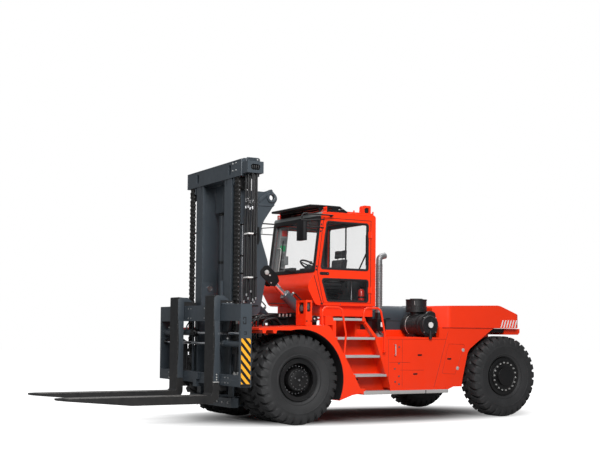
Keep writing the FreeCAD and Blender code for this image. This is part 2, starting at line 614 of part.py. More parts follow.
def make_frame():
    side = plate("frame_side", "y", (
        (at(S.frame_front_x), S.frame_floor), (at(S.frame_front_x), S.axle_saddle_top),
        (at(S.tower_front_x), S.frame_top), (at(S.tower_front_x), S.tower_top),
        (at(S.tower_rear_x), S.tower_top), (at(S.tower_rear_x), S.frame_top),
        (behind(S.tail_x), S.frame_top), (behind(S.tail_x), S.tail_top), (behind(S.frame_rear_x), S.tail_top),
        (behind(S.frame_rear_x), S.tail_floor), (behind(S.tail_x), S.tail_floor),
        (behind(S.belly_x), S.frame_floor)), S.frame_y, S.frame_y + S.frame_wall)
    belly = block("frame_belly", (behind(S.belly_x), at(S.belly_front_x)), (-S.frame_y, S.frame_y),
                  (S.frame_floor, S.frame_floor + S.belly_thick))
    tail = block("frame_tail", (behind(S.frame_rear_x), behind(S.tail_x)), (-S.frame_y, S.frame_y),
                 (S.tail_floor, S.tail_floor + S.belly_thick))
    waist = block("frame_waist", (at(S.tower_rear_x), at(S.tower_front_x)), (-S.frame_y, S.frame_y),
                  (S.frame_top - S.belly_thick, S.frame_top))
    shaft = bar("tilt_shaft", "y", S.shaft_radius, (at(S.tilt_rear_x), -S.shaft_half, S.tilt_rear_z),
                S.shaft_half * 2)
    solid = fuse("frame_solid", side, mirrored("frame_side_twin", side), belly, tail, waist, shaft)
    hole = bar("axle_hole", "y", S.axle_tube_radius + S.seat_gap,
               (drive_axle, -S.axle_tube_y, wheel_z), S.axle_tube_y * 2)
    keep(cut("chassis_frame", solid, hole))


def make_deck_hoses():
    """Hoses that loop from the cab's tower to a manifold on the drive axle, between the frame sides."""
    root = at(S.tower_front_x)
    manifold_floor = wheel_z + S.bowl_radius + S.seat_gap
    hoses = []
    for i, share in enumerate(LOOP_SHARES):
        y = S.frame_y * share
        reach = at(S.loop_reach - S.loop_step * (i % 3))
        crest = S.loop_crest - S.loop_step * (i % 2)
        hoses.append(bent_tube("deck_hose_%d" % i, S.loop_radius, (
            (root, y, S.loop_root - S.loop_step * (i % 3)), (root + S.loop_step * 3, y, crest),
            (reach, y, crest - S.loop_step), (reach, y, manifold_floor + S.loop_radius))))
    back = block("hose_bulkhead", (root - S.frame_wall, root), (S.seat_gap - S.frame_y, S.frame_y - S.seat_gap),
                 (S.frame_top, S.loop_root + S.loop_step))
    manifold = block("hose_manifold", (drive_axle - S.loop_step, at(S.loop_reach) + S.loop_step),
                     (S.frame_wall - S.frame_y, S.frame_y - S.frame_wall),
                     (manifold_floor, manifold_floor + S.loop_step))
    keep(fuse("deck_hoses", back, manifold, *hoses))


def make_fenders():
    """A deck over the twin tyres that runs down behind them as a wide band."""
    radius = S.arch_radius.value
    rise = float(S.fender_lip_z - wheel_z)
    front = math.sqrt(radius ** 2 - rise ** 2)
    inner_y = S.frame_y + S.frame_wall
    low = S.arch_low_z - wheel_z
    sweep = math.radians(205)
    half = math.radians(120)
    arch_end = (drive_axle + S.arch_radius * math.cos(sweep), wheel_z + S.arch_radius * math.sin(sweep))
    arch_mid = (drive_axle + S.arch_radius * math.cos(half), wheel_z + S.arch_radius * math.sin(half))
    shape = plate("fender_solid", "y", (
        (at(S.fender_lip_x), S.fender_lip_z), (at(S.fender_lip_x), S.fender_lip_top),
        (at(S.fender_top_x), S.fender_top_z, S.fender_brow), (at(S.band_mid_x), S.band_mid_z, S.band_bow),
        (at(S.band_low_x), S.band_low_z), (at(S.arch_low_x), S.arch_low_z),
        arch_end, via(*arch_mid), (drive_axle + front, S.fender_lip_z)), inner_y, S.fender_y)
    notch = block("fender_notch", (at(S.fender_inner_x), at(S.fender_lip_x) + S.run_gap),
                  (0, S.fender_inner_y), (wheel_z, S.fender_top_z))
    tabs = [plate("fender_tab_%d" % i, "y", (
        (at(x), S.fender_lip_z), (at(x) + S.tab_width, S.fender_lip_z),
        (at(x) + S.tab_foot, S.fender_lip_z - S.tab_drop),
        (at(x) + S.tab_width - S.tab_foot, S.fender_lip_z - S.tab_drop)),
        S.fender_inner_y, S.fender_y - S.tab_inset) for i, x in enumerate((S.tab_front_x, S.tab_rear_x))]
    left = keep(fuse("left_fender", cut("fender_deck", shape, notch), *tabs))
    keep(mirrored("right_fender", left))


def make_side_bodies():
    inner_y = S.frame_y + S.frame_wall
    core = plate("side_core", "y", (
        (at(S.side_front_low_x), S.side_floor), (at(S.side_front_x), S.side_top),
        (behind(S.side_rear_x), S.side_top), (behind(S.side_rear_x), S.side_floor)),
        inner_y, S.side_y - S.skin)
    skin = plate("side_skin", "y", (
        (at(S.side_front_low_x), S.side_floor), (at(S.side_front_x), S.side_top),
        (behind(S.weight_front_x), S.side_top), (behind(S.weight_front_x), S.weight_floor),
        (behind(S.arch_end_x), S.weight_floor), (behind(S.side_knee_x), S.side_knee_z, S.side_bow),
        (behind(S.side_kick_x), S.side_kick_z), (behind(S.side_rear_x), S.side_floor)),
        S.side_y - S.skin, S.side_y)
    left = keep(fuse("left_side_body", core, skin))
    keep(mirrored("right_side_body", left))


def along_slope(z):
    """The X of the side body's sloping front edge at a height."""
    share = (z - S.side_floor) / (S.side_top - S.side_floor)
    return at(S.side_front_low_x) + (S.side_front_x - S.side_front_low_x) * share


def along_band(z):
    """The X of the fender band's rear edge at a height, a little inside its curve."""
    share = (z - S.band_low_z) / (S.band_mid_z - S.band_low_z)
    return at(S.band_low_x) + (S.band_mid_x - S.band_low_x) * share


def make_steps():
    inner_y = S.frame_y + S.frame_wall
    wall = plate("step_wall", "y", (
        (at(S.side_front_low_x), S.side_floor), (at(S.side_front_x), S.side_top),
        (at(S.tower_rear_x), S.side_top), (at(S.band_mid_x), S.band_mid_z),
        (at(S.band_low_x), S.side_floor)), inner_y, S.recess_y)
    fender = plate("step_relief", "y", (
        (at(S.fender_lip_x), 0), (at(S.fender_lip_x), S.fender_top_z),
        (at(S.fender_top_x), S.fender_top_z, S.fender_brow), (at(S.band_mid_x), S.band_mid_z, S.band_bow),
        (at(S.band_low_x), S.band_low_z), (at(S.band_low_x), 0)), 0, S.fender_y + S.run_gap)
    stringer = plate("step_stringer", "y", (
        (along_slope(S.tread_low_z - S.tread_thick), S.tread_low_z - S.tread_thick),
        (along_slope(S.side_top), S.side_top), (at(S.platform_rear_x), S.platform_z - S.tread_thick),
        (at(S.platform_rear_x) + S.stringer_width, S.platform_z - S.tread_thick),
        (along_slope(S.side_top) + S.stringer_width, S.side_top - S.stringer_width),
        (along_slope(S.tread_low_z - S.tread_thick) + S.stringer_width, S.tread_low_z - S.tread_thick)),
        S.tread_y - S.skin, S.tread_y)
    locker = block("step_locker", (at(S.platform_front_x), at(S.locker_front_x)),
                   (S.locker_y, S.tread_y), (fender_top(S.locker_front_x), S.platform_z + S.locker_rise))
    treads = []
    for name, z in (("low", S.tread_low_z), ("mid", S.tread_mid_z), ("high", S.tread_high_z)):
        treads.append(block(name + "_tread", (along_slope(z), along_band(z)),
                            (S.recess_y, S.tread_y), (z - S.tread_thick, z)))
    platform = block("platform", (at(S.platform_rear_x), at(S.platform_front_x)),
                     (S.platform_y, S.tread_y), (S.platform_z - S.tread_thick, S.platform_z))
    leg = block("platform_leg", (at(S.platform_front_x) - S.tread_thick * 2, at(S.platform_front_x)),
                (S.recess_y, S.tread_y), (S.side_top, S.platform_z - S.tread_thick))
    rear_leg = block("platform_rear_leg",
                     (at(S.platform_rear_x), at(S.platform_rear_x) + S.tread_thick),
                     (inner_y + S.skin, S.recess_y), (S.side_top, S.platform_z - S.tread_thick))
    bridge = block("platform_bridge", (at(S.platform_rear_x), at(S.platform_rear_x) + S.tread_thick),
                   (S.recess_y - S.skin, S.tread_y), (S.platform_z - S.skin, S.platform_z - S.tread_thick))
    sill = block("sill", (behind(S.sill_rear_x), at(S.sill_front_x)), (S.sill_y, S.tread_y),
                 (S.sill_z - S.sill_depth, S.sill_z))
    hangers = []
    for i, share in enumerate(HANGER_SHARES):
        x = at(S.sill_front_x) + (behind(S.sill_rear_x) - at(S.sill_front_x)) * share
        hangers.append(block("sill_hanger_%d" % i, (x - S.sill_depth, x), (S.sill_y, S.side_y),
                             (S.sill_z, S.side_floor)))
    solid = fuse("steps_solid", wall, platform, leg, rear_leg, bridge, sill, stringer, locker,
                 *(treads + hangers))
    left = keep(cut("left_steps", solid, fender))
    keep(mirrored("right_steps", left))


def bent_tube(name, radius, points):
    """A tube through straight runs joined by tangent arcs."""
    corners = [FreeCAD.Vector(*[float(part) for part in point]) for point in points]
    edges = []
    here = corners[0]
    for before, corner, after in zip(corners, corners[1:], corners[2:]):
        shorter = min((before - corner).Length, (after - corner).Length)
        turn = math.pi - (before - corner).getAngle(after - corner)
        bend = min(BEND_SHARE * shorter / math.tan(turn / 2), float(radius) * BEND_RADII)
        start, middle, end = corner_edges(before, corner, after, bend)
        edges.append(Part.LineSegment(here, start).toShape())
        edges.append(Part.Arc(start, middle, end).toShape())
        here = end
    edges.append(Part.LineSegment(here, corners[-1]).toShape())
    path = Part.Wire(edges)
    ring = Part.Wire(Part.makeCircle(float(radius), corners[0], corners[1] - corners[0]))
    feature = doc.addObject("Part::Feature", name)
    feature.Shape = path.makePipeShell([ring], True, True)
    return feature


def fender_top(x):
    """The height of the fender's sloping top at a place measured from the drive axle."""
    share = (S.fender_lip_x - x) / (S.fender_lip_x - S.fender_top_x)
    return S.fender_lip_top + (S.fender_top_z - S.fender_lip_top) * share


def make_handrails():
    """Two tube hoops on each side, one at each edge of the steps."""
    y = S.rail_y
    front = bent_tube("front_hoop", S.rail_radius, (
        (at(S.front_rail_x), y, fender_top(S.front_rail_x) + S.seat_gap),
        (at(S.front_rail_x), y, S.rail_top), (at(S.front_rail_back_x), y, S.rail_top),
        (at(S.front_rail_low_x), y, S.front_rail_knee_z),
        (at(S.front_rail_low_x) + S.rail_radius * 2, y, S.tread_mid_z - S.tread_thick)))
    rear = bent_tube("rear_hoop", S.rail_radius, (
        (at(S.rear_rail_x), y, S.platform_z - S.tread_thick), (at(S.rear_rail_x), y, S.rail_top),
        (at(S.rear_rail_back_x), y, S.rail_top), (at(S.rear_rail_low_x), y, S.rear_rail_knee_z),
        (at(S.rear_rail_low_x), y, S.rear_rail_foot_z)))
    foot = bar("rear_hoop_foot", "y", S.rail_radius,
               (at(S.rear_rail_low_x), S.side_y, S.rear_rail_foot_z), S.rail_y - S.side_y)
    keep(both_sides("handrails", group("rails_solid", front, fuse("rear_rail", rear, foot))))


# Rear ----------------------------------------------------------------------------------------

def make_counterweight():
    profile = plate("weight_side", "y", (
        (behind(S.weight_front_x), S.weight_floor), (behind(S.weight_front_x), S.weight_top, S.weight_round),
        (behind(S.weight_crest_x), S.weight_crest, S.weight_bow),
        (behind(S.weight_rear_x), S.weight_rear_top, S.weight_round),
        (behind(S.weight_rear_x), S.weight_rear_low, S.weight_round / 2),
        (behind(S.frame_rear_x), S.weight_floor)),
        -S.weight_y, S.weight_y)
    plan = plate("weight_plan", "z", (
        (behind(S.weight_front_x), -S.weight_nose_y), (behind(S.weight_front_x), S.weight_nose_y),
        (behind(S.weight_shoulder_x), S.weight_y, S.weight_soft),
        (behind(S.weight_rear_x) + S.weight_corner_x, S.weight_y, S.weight_soft),
        (behind(S.weight_rear_x), S.weight_y - S.weight_corner_y, S.weight_bulge),
        (behind(S.weight_rear_x), -S.weight_y + S.weight_corner_y, S.weight_bulge),
        (behind(S.weight_rear_x) + S.weight_corner_x, -S.weight_y, S.weight_soft),
        (behind(S.weight_shoulder_x), -S.weight_y, S.weight_soft)),
        S.weight_floor - S.run_gap, S.weight_crest + S.weight_round)
    upper = common("weight_upper", profile, plan)
    core = block("weight_core", (behind(S.frame_rear_x), behind(S.tail_x)),
                 (-S.ballast_y, S.ballast_y), (S.tail_top, S.weight_floor + S.weight_round))
    ballast = block("weight_ballast", (behind(S.weight_rear_x) + S.hitch_reach, behind(S.ballast_front_x)),
                    (-S.ballast_y, S.ballast_y), (S.ballast_floor, S.weight_floor + S.weight_round))
    ears = []
    ear_far = S.hitch_half + S.hitch_ear
    for name, low, high in (("upper_ear", S.hitch_half, ear_far), ("lower_ear", -ear_far, -S.hitch_half)):
        ears.append(block(name, (behind(S.weight_rear_x), behind(S.weight_rear_x) + S.hitch_reach),
                          (-S.hitch_reach, S.hitch_reach),
                          (S.hitch_z + low, S.hitch_z + high)))
    solid = fuse("weight_solid", upper, core, ballast, *ears)
    bore = bar("hitch_bore", "z", S.hitch_radius,
               (behind(S.weight_rear_x) + S.hitch_reach / 2, 0, S.hitch_z - S.hitch_half * 2), S.hitch_half * 4)
    keep(cut("counterweight", solid, bore))


def arch_outline(half, foot, top, corner):
    return ((-half, foot), (half, foot), (half, top, corner), (-half, top, corner))


def hood_side(name, inset, foot):
    """The hood's side view, its top bending down to the front."""
    return plate(name, "y", (
        (behind(S.hood_rear_x), foot), (at(S.hood_front_x) - inset, foot),
        (at(S.hood_front_x) - inset, S.hood_front_top, S.hood_brow),
        (at(S.hood_bend_x), S.hood_top - inset, S.hood_bend), (behind(S.hood_rear_x), S.hood_top - inset)),
        -S.hood_y, S.hood_y)


def make_engine_bay():
    foot = S.hood_foot + S.bore_gap
    shell = common("hood_outside", plate("hood_arch", "x", arch_outline(
        S.hood_y, foot, S.hood_top, S.hood_corner), behind(S.hood_rear_x), at(S.hood_front_x)),
        hood_side("hood_side", Size(0), foot))
    inside = common("hood_inside", plate("hood_inner_arch", "x", arch_outline(
        S.hood_y - S.hood_wall, foot - S.hood_wall, S.hood_top - S.hood_wall,
        S.hood_corner - S.hood_wall), behind(S.hood_rear_x) + S.hood_wall, at(S.hood_front_x) - S.hood_wall),
        hood_side("hood_inner_side", S.hood_wall, foot - S.hood_wall))
    pin = bar("hood_pin", "y", S.hood_pin_radius, (behind(S.hood_rear_x), S.hood_pin_y, S.hood_top),
              S.hood_pin_length)
    keep(fuse("engine_hood", cut("hood_shell", shell, inside), pin, mirrored("hood_pin_twin", pin)))
    walls = block("bay_outside", (behind(S.hood_rear_x), at(S.hood_front_x)), (-S.hood_y, S.hood_y),
                  (S.side_top, S.hood_foot))
    well = block("bay_inside", (behind(S.hood_rear_x) + S.hood_wall, at(S.hood_front_x) - S.hood_wall),
                 (S.hood_wall - S.hood_y, S.hood_y - S.hood_wall),
                 (S.side_top - S.hood_wall, S.hood_foot + S.hood_wall))
    keep(cut("engine_bay", walls, well))
    keep(block("engine_block", (behind(S.engine_rear_x), at(S.engine_front_x)),
               (-S.engine_y, S.engine_y), (S.frame_floor + S.belly_thick, S.engine_top)))


def make_exhaust():
    stack = bent_tube("stack_tube", S.stack_radius, (
        (at(S.stack_x), S.stack_y, S.side_top), (at(S.stack_x), S.stack_y, S.stack_top),
        (at(S.stack_x) - S.elbow_radius * 2, S.stack_y, S.stack_top + S.elbow_radius / 2)))
    foot = bar("stack_foot_ring", "z", S.stack_radius + S.stack_foot / 2,
               (at(S.stack_x), S.stack_y, S.side_top), S.stack_foot)
    silencer = block("stack_box", (at(S.stack_x) - S.stack_box_half, at(S.stack_x) + S.stack_box_half),
                     (S.stack_y - S.stack_box_half, S.stack_y + S.stack_box_half),
                     (S.stack_box_floor, S.stack_box_top))
    keep(fuse("exhaust_stack", stack, foot, silencer))


def make_air_cleaner():
    """A drum that lies across the truck, its rain cap, end cover, clamp bands and dust valve."""
    x, z = behind(S.cleaner_x), S.cleaner_z
    drum = bar("cleaner_drum", "y", S.cleaner_radius, (x, S.cleaner_in_y, z), S.cleaner_out_y - S.cleaner_in_y)
    cover = bar("cleaner_cover", "y", S.cover_radius, (x, S.cleaner_out_y, z), S.cover_depth)
    knob = bar("cover_knob", "y", S.cover_depth, (x, S.cleaner_out_y, z), S.cover_depth * 2)
    bands = [bar("cleaner_band_%d" % i, "y", S.cleaner_radius + S.band_depth,
                 (x, S.cleaner_in_y + (S.cleaner_out_y - S.cleaner_in_y) * share, z), S.band_width)
             for i, share in enumerate(BAND_SHARES)]
    neck = bar("cleaner_neck", "z", S.neck_radius, (x, S.cap_y, z + S.duct_radius),
               S.cap_base - z - S.duct_radius)
    cap = bar("cleaner_cap", "z", S.cap_radius, (x, S.cap_y, S.cap_base), S.cap_top - S.cap_base)
    crown = bar("cap_crown", "z", S.neck_radius, (x, S.cap_y, S.cap_top), S.band_depth * 2)
    rim = bar("cap_rim", "z", S.cap_radius + S.band_depth, (x, S.cap_y, S.cap_base), S.band_width)
    valve = bar("dust_valve", "z", S.valve_radius, (x, S.cleaner_out_y - S.valve_inset,
                                                    z - S.cleaner_radius - S.valve_drop),
                S.valve_drop + S.cleaner_radius / 2)
    flange = bar("duct_flange", "y", S.neck_radius, (behind(S.duct_x), S.cleaner_in_y, S.duct_z),
                 S.band_width * 2 + S.duct_radius * 2)
    duct_y = S.cleaner_in_y + S.band_width + S.duct_radius
    duct = slanted("cleaner_duct", S.duct_radius, (behind(S.duct_x), duct_y, S.duct_z), (x, duct_y, z), 0,
                   S.cleaner_x - S.duct_x)
    feet = block("cleaner_feet", (x - S.cleaner_foot_half, x + S.cleaner_foot_half),
                 (S.cleaner_in_y, S.cleaner_in_y + S.cleaner_foot_half * 2),
                 (S.side_top, z - S.cleaner_radius / 2))
    body = fuse("cleaner_body", drum, cover, knob, valve, *bands)
    head = fuse("cleaner_head", neck, cap, crown, rim)
    keep(fuse("air_cleaner", body, head, fuse("cleaner_inlet", flange, duct), feet))


# Cab -----------------------------------------------------------------------------------------

def cab_outline(inset):
    """The cab's side view, drawn in by a wall's thickness."""
    return (
        (at(S.cab_rear_x) + inset, S.cab_floor + inset),
        (at(S.cab_rear_x) + inset, S.cab_top - inset, S.cab_round),
        (at(S.brow_x) - inset, S.cab_top - inset, S.cab_round), (at(S.brow_x) - inset, S.brow_z),
        (at(S.waist_x) - inset, S.waist_z), (at(S.nose_x) - inset, S.nose_z, S.nose_round),
        (at(S.toe_x) - inset, S.cab_floor + inset, S.toe_round))


def door_outline(gap):
    """The door's side view, grown by a gap for the opening that takes it."""
    return (
        (at(S.door_rear_x) - gap, S.door_foot - gap), (at(S.door_rear_x) - gap, S.door_head + gap),
        (at(S.door_head_x) + gap, S.door_head + gap), (at(S.door_waist_x) + gap, S.waist_z),
        (at(S.door_front_x) + gap, S.door_foot - gap))


def window_outline(gap):
    """The upper pane's side view."""
    inset = S.window_margin - gap
    return (
        (at(S.door_rear_x) + inset, S.window_foot - gap, S.pane_round),
        (at(S.door_rear_x) + inset, S.door_head - inset, S.pane_round),
        (at(S.door_head_x) - inset, S.door_head - inset, S.pane_round),
        (at(S.window_front_x) - inset, S.window_foot - gap, S.pane_round))


def vent_outline(gap):
    """The lower pane's side view."""
    inset = S.window_margin - gap
    return (
        (at(S.door_rear_x) + inset, S.vent_foot - gap, S.pane_round),
        (at(S.door_rear_x) + inset, S.vent_head + gap, S.pane_round),
        (at(S.vent_head_x) + gap, S.vent_head + gap, S.pane_round),
        (at(S.vent_foot_x) + gap, S.vent_foot - gap, S.pane_round))


hinge_x = at(S.door_rear_x) - S.run_gap - S.hinge_radius
hinge_y = S.cab_y + S.hinge_radius / 2


def make_cab():
    outside = plate("cab_outside", "y", cab_outline(Size(0)), -S.cab_y, S.cab_y)
    inside = plate("cab_inside", "y", cab_outline(S.cab_wall), S.cab_wall - S.cab_y, S.cab_y - S.cab_wall)
    door_hole = plate("door_hole", "y", door_outline(S.run_gap), -S.cab_y - S.run_gap, S.cab_y + S.run_gap)
    screen = block("screen_hole", (at(S.brow_x) - S.cab_wall * 2, at(S.nose_x)), (-S.screen_y, S.screen_y),
                   (S.screen_foot, S.screen_head))
    rear = block("rear_hole", (at(S.cab_rear_x) - S.run_gap, at(S.cab_rear_x) + S.cab_wall + S.run_gap),
                 (-S.rear_window_y, S.rear_window_y), (S.rear_window_foot, S.screen_head))
    shell = cut("cab_box", outside, inside, door_hole, screen, rear)
    base = block("cab_base_box", (at(S.cab_rear_x), at(S.cab_base_front_x)),
                 (-S.cab_y + S.cab_wall * 2, S.cab_y - S.cab_wall * 2), (S.cab_base, S.cab_floor))
    pads = []
    for name, x in (("front_pad", S.front_pad_x), ("rear_pad", S.rear_pad_x)):
        pads.append(block(name, (at(x), at(x) + S.pad_length), (S.frame_y, S.frame_y + S.frame_wall),
                          (S.frame_top, S.cab_base)))
        pads.append(mirrored(name + "_twin", pads[-1]))
    hinges = []
    for name, z in (("low_hinge", S.hinge_low_z), ("high_hinge", S.hinge_high_z)):
        hinges.append(bar(name, "z", S.hinge_radius, (hinge_x, hinge_y, z), S.hinge_length))
        hinges.append(mirrored(name + "_twin", hinges[-1]))
    rail = block("roof_rail", (at(S.cab_rear_x) + S.rail_inset, at(S.brow_x) - S.rail_inset * 2),
                 (S.guard_y + S.run_gap, S.cab_y - S.rail_inset / 2),
                 (S.cab_top - S.run_gap, S.cab_top + S.rail_height))
    holder = plate("beacon_holder", "y", (
        (at(S.beacon_x), S.cab_top - S.run_gap), (at(S.beacon_x), S.beacon_top, S.rail_inset / 2),
        (at(S.beacon_x) + S.beacon_width, S.beacon_top, S.rail_inset),
        (at(S.beacon_x) + S.beacon_width, S.cab_top - S.run_gap)),
        S.beacon_y, S.beacon_y + S.beacon_depth)
    hollow = plate("beacon_hollow", "y", oblong(
        (at(S.beacon_x) + S.rail_inset, S.cab_top + S.rail_height),
        (at(S.beacon_x) + S.beacon_width - S.rail_inset, S.beacon_top - S.rail_inset), S.rail_inset / 3),
        S.beacon_y - S.run_gap, S.beacon_y + S.beacon_depth + S.run_gap)
    keep(fuse("cab_shell", shell, base, rail, mirrored("roof_rail_twin", rail),
              cut("beacon_frame", holder, hollow), *(pads + hinges)))

    door = plate("door_panel", "y", door_outline(Size(0)), S.cab_y - S.cab_wall, S.cab_y)
    holes = [plate("window_hole", "y", window_outline(Size(0)), S.cab_y - S.cab_wall * 2, S.cab_y + S.cab_wall),
             plate("vent_hole", "y", vent_outline(Size(0)), S.cab_y - S.cab_wall * 2, S.cab_y + S.cab_wall)]
    leaves = [block(name, (hinge_x + S.hinge_radius + S.bore_gap, at(S.door_rear_x) + S.hinge_length / 2),
                    (S.cab_y, S.cab_y + S.hinge_radius), (z, z + S.hinge_length))
              for name, z in (("low_leaf", S.hinge_low_z), ("high_leaf", S.hinge_high_z))]
    left_door = keep(fuse("left_door", cut("door_frame", door, *holes), *leaves))
    keep(mirrored("right_door", left_door))

    middle = S.cab_y - S.cab_wall / 2
    panes = [plate("window_pane", "y", window_outline(-S.seat_gap), middle - S.glass_thick / 2,
                   middle + S.glass_thick / 2),
             plate("vent_pane", "y", vent_outline(-S.seat_gap), middle - S.glass_thick / 2,
                   middle + S.glass_thick / 2)]
    left_glass = keep(group("left_door_glass", *panes))
    keep(mirrored("right_door_glass", left_glass))

    lean = (S.brow_x - S.waist_x) / (S.brow_z - S.waist_z)
    back = S.cab_wall / 2 + S.glass_thick / 2
    front = S.cab_wall / 2 - S.glass_thick / 2
    low = S.screen_foot + S.seat_gap
    high = S.screen_head - S.seat_gap
    low_x = at(S.waist_x) + lean * (low - S.waist_z)
    high_x = at(S.waist_x) + lean * (high - S.waist_z)
    windscreen = plate("windscreen", "y", (
        (low_x - back, low), (low_x - front, low), (high_x - front, high), (high_x - back, high)),
        S.seat_gap - S.screen_y, S.screen_y - S.seat_gap)
    rear_pane = block("rear_pane", (at(S.cab_rear_x) + front, at(S.cab_rear_x) + back),
                      (S.seat_gap - S.rear_window_y, S.rear_window_y - S.seat_gap),
                      (S.rear_window_foot + S.seat_gap, high))
    keep(group("cab_glass", windscreen, rear_pane))


def make_cab_roof():
    roof = plate("guard_roof", "y", (
        (at(S.guard_front_x), S.guard_z),
        (at(S.guard_rear_x) + S.cab_wall * 2, S.guard_crown - S.guard_thick),
        (at(S.guard_rear_x) + S.cab_wall * 2, S.guard_crown), (at(S.brow_x), S.guard_crown),
        (at(S.guard_front_x), S.guard_z + S.guard_thick)), -S.guard_y, S.guard_y)
    cheek = plate("guard_cheek", "y", (
        (at(S.brow_x) - S.cab_wall, S.cab_top), (at(S.guard_rear_x) - S.cab_wall, S.cab_top),
        (at(S.guard_rear_x) - S.cab_wall, S.cab_top + S.guard_thick),
        (at(S.guard_rear_x) + S.cab_wall * 2, S.guard_crown),
        (at(S.brow_x) - S.cab_wall, S.guard_crown)), S.guard_y - S.cheek_thick, S.guard_y)
    slots = [plate("cheek_slot_%d" % i, "y", oblong(
        (at(x), S.cheek_slot_z), (at(x) + S.cheek_slot_length, S.cheek_slot_z + S.cheek_slot_height),
        S.cheek_slot_round), -S.cab_y, S.cab_y) for i, x in enumerate((S.cheek_slot_x, S.cheek_slot_rear_x))]
    keep(cut("cab_guard", fuse("guard_solid", roof, cheek, mirrored("guard_cheek_twin", cheek)), *slots))


def make_cab_inside():
    floor = S.cab_floor + S.cab_wall
    console = block("console", (at(S.console_x), at(S.column_x)), (-S.console_half, S.console_half),
                    (floor, S.console_top))
    column_foot = (at(S.column_foot_x), 0, S.column_foot_z)
    column = slanted("steering_column", S.column_radius, column_foot, (at(S.wheel_x), 0, S.wheel_z), 0,
                     S.column_length)
    hoop = doc.addObject("Part::Torus", "steering_ring")
    hoop.Placement = FreeCAD.Placement(
        FreeCAD.Vector(), FreeCAD.Rotation(FreeCAD.Vector(0, 1, 0), STEERING_TILT))
    bind(hoop, "Radius1", S.wheel_rim_radius)
    bind(hoop, "Radius2", S.wheel_tube)
    place(hoop, at(S.wheel_x), 0, S.wheel_z)
    spokes = bar("steering_spokes", "y", S.wheel_tube, (at(S.wheel_x), -S.wheel_rim_radius, S.wheel_z),
                 S.wheel_rim_radius * 2)
    keep(fuse("steering_console", console, column, hoop, spokes))

    seat_rear, seat_front = at(S.seat_x) - S.seat_half, at(S.seat_x) + S.seat_half
    armrest = block("side_console", (seat_rear - S.pad_depth / 2, seat_front),
                    (-S.armrest_out_y, -S.armrest_in_y), (floor, S.armrest_top))
    pedestal = block("seat_pedestal", (seat_rear + S.pad_depth, seat_front - S.pad_depth),
                     (-S.pedestal_half, S.pedestal_half), (floor, S.seat_z))
    cushion = block("seat_cushion", (seat_rear, seat_front), (-S.seat_half, S.seat_half),
                    (S.seat_z, S.seat_z + S.cushion_thick))
    back = plate("seat_back", "y", (
        (seat_rear, S.seat_z + S.cushion_thick), (seat_rear + S.back_thick, S.seat_z + S.cushion_thick),
        (seat_rear + S.back_thick - S.back_lean, S.seat_back_top, S.pane_round),
        (seat_rear - S.back_lean, S.seat_back_top, S.pane_round)), -S.seat_half, S.seat_half)
    keep(fuse("operator_seat", pedestal, cushion, back, armrest))


# Mast ----------------------------------------------------------------------------------------

def make_mast_rails():
    """The outer uprights, each a channel with a wing plate that carries the lifting eye."""
    web = plate("outer_web_plate", "y", (
        (at(S.outer_low_rear_x), S.mast_sill_top), (at(S.outer_front_x), S.mast_sill_top),
        (at(S.outer_front_x), S.outer_top), (at(S.outer_rear_x), S.outer_top),
        (at(S.outer_rear_x), S.outer_step_z + S.step_rise), (at(S.outer_low_rear_x), S.outer_step_z)),
        S.outer_web_y, S.outer_web_y + S.outer_web)
    flange = block("outer_flange_plate", (at(S.outer_front_x) - S.outer_flange, at(S.outer_front_x)),
                   (S.outer_web_y, S.outer_flange_y), (S.mast_sill_top, S.outer_top))
    wing = plate("mast_wing", "y", (
        (at(S.outer_low_rear_x), S.wing_foot), (at(S.outer_front_x), S.wing_foot),
        (at(S.outer_front_x), S.outer_top), (at(S.lug_x) + S.lug_radius, S.outer_top),
        (at(S.lug_x), S.lug_z + S.lug_radius, S.lug_round), (at(S.lug_x) - S.lug_radius, S.lug_z, S.lug_round),
        (at(S.wing_neck_x), S.wing_neck_z, S.wing_neck_bow), (at(S.wing_waist_x), S.wing_waist_z, S.wing_bow),
        (at(S.wing_low_x), S.wing_low_z, S.clevis_round), (at(S.outer_low_rear_x), S.outer_step_z)),
        S.wing_y, S.wing_y + S.wing_wall)
    lug_hole = bar("lug_hole", "y", S.lug_bore, (at(S.lug_x), 0, S.lug_z), S.wing_y * 2)
    ribs = [block("mast_rib_%d" % i, (at(S.outer_rear_x) + S.tie_thick, at(S.outer_front_x)),
                  (S.outer_web_y, S.wing_y), (z, z + S.outer_flange))
            for i, z in enumerate((S.outer_step_z + S.step_rise, S.mid_tie_z, S.top_tie_z))]
    low_rib = block("mast_low_rib", (at(S.outer_low_rear_x), at(S.outer_front_x)),
                    (S.outer_web_y, S.wing_y + S.wing_wall), (S.wing_foot, S.wing_foot + S.outer_flange))
    clevis_top = S.tilt_front_z + S.clevis_rise
    clevis_rear = at(S.tilt_front_x) - S.clevis_radius
    root = at(S.outer_rear_x) + S.tie_thick
    cheek_low = S.tilt_y - S.tilt_eye_half - S.run_gap - S.clevis_wall
    cheeks = [plate(name, "y", (
        (root, S.tilt_front_z - S.clevis_radius), (root, clevis_top),
        (clevis_rear, S.tilt_front_z + S.clevis_radius, S.clevis_round),
        (clevis_rear, S.tilt_front_z - S.clevis_radius, S.clevis_round)), low, low + S.clevis_wall)
        for name, low in (("inner_cheek", cheek_low), ("outer_cheek", S.tilt_y + S.tilt_eye_half + S.run_gap))]
    back_plate = block("clevis_back", (root, root + S.outer_flange), (S.outer_web_y, S.wing_y),
                       (S.tilt_front_z - S.clevis_radius, clevis_top))
    pin = bar("tilt_pin", "y", S.tilt_pin_radius, (at(S.tilt_front_x), cheek_low, S.tilt_front_z),
              (S.tilt_y - cheek_low) * 2)
    solid = fuse("mast_rail_solid", web, flange, wing, low_rib, back_plate, pin, *(ribs + cheeks))
    left = keep(cut("left_mast_rail", solid, lug_hole))
    keep(mirrored("right_mast_rail", left))


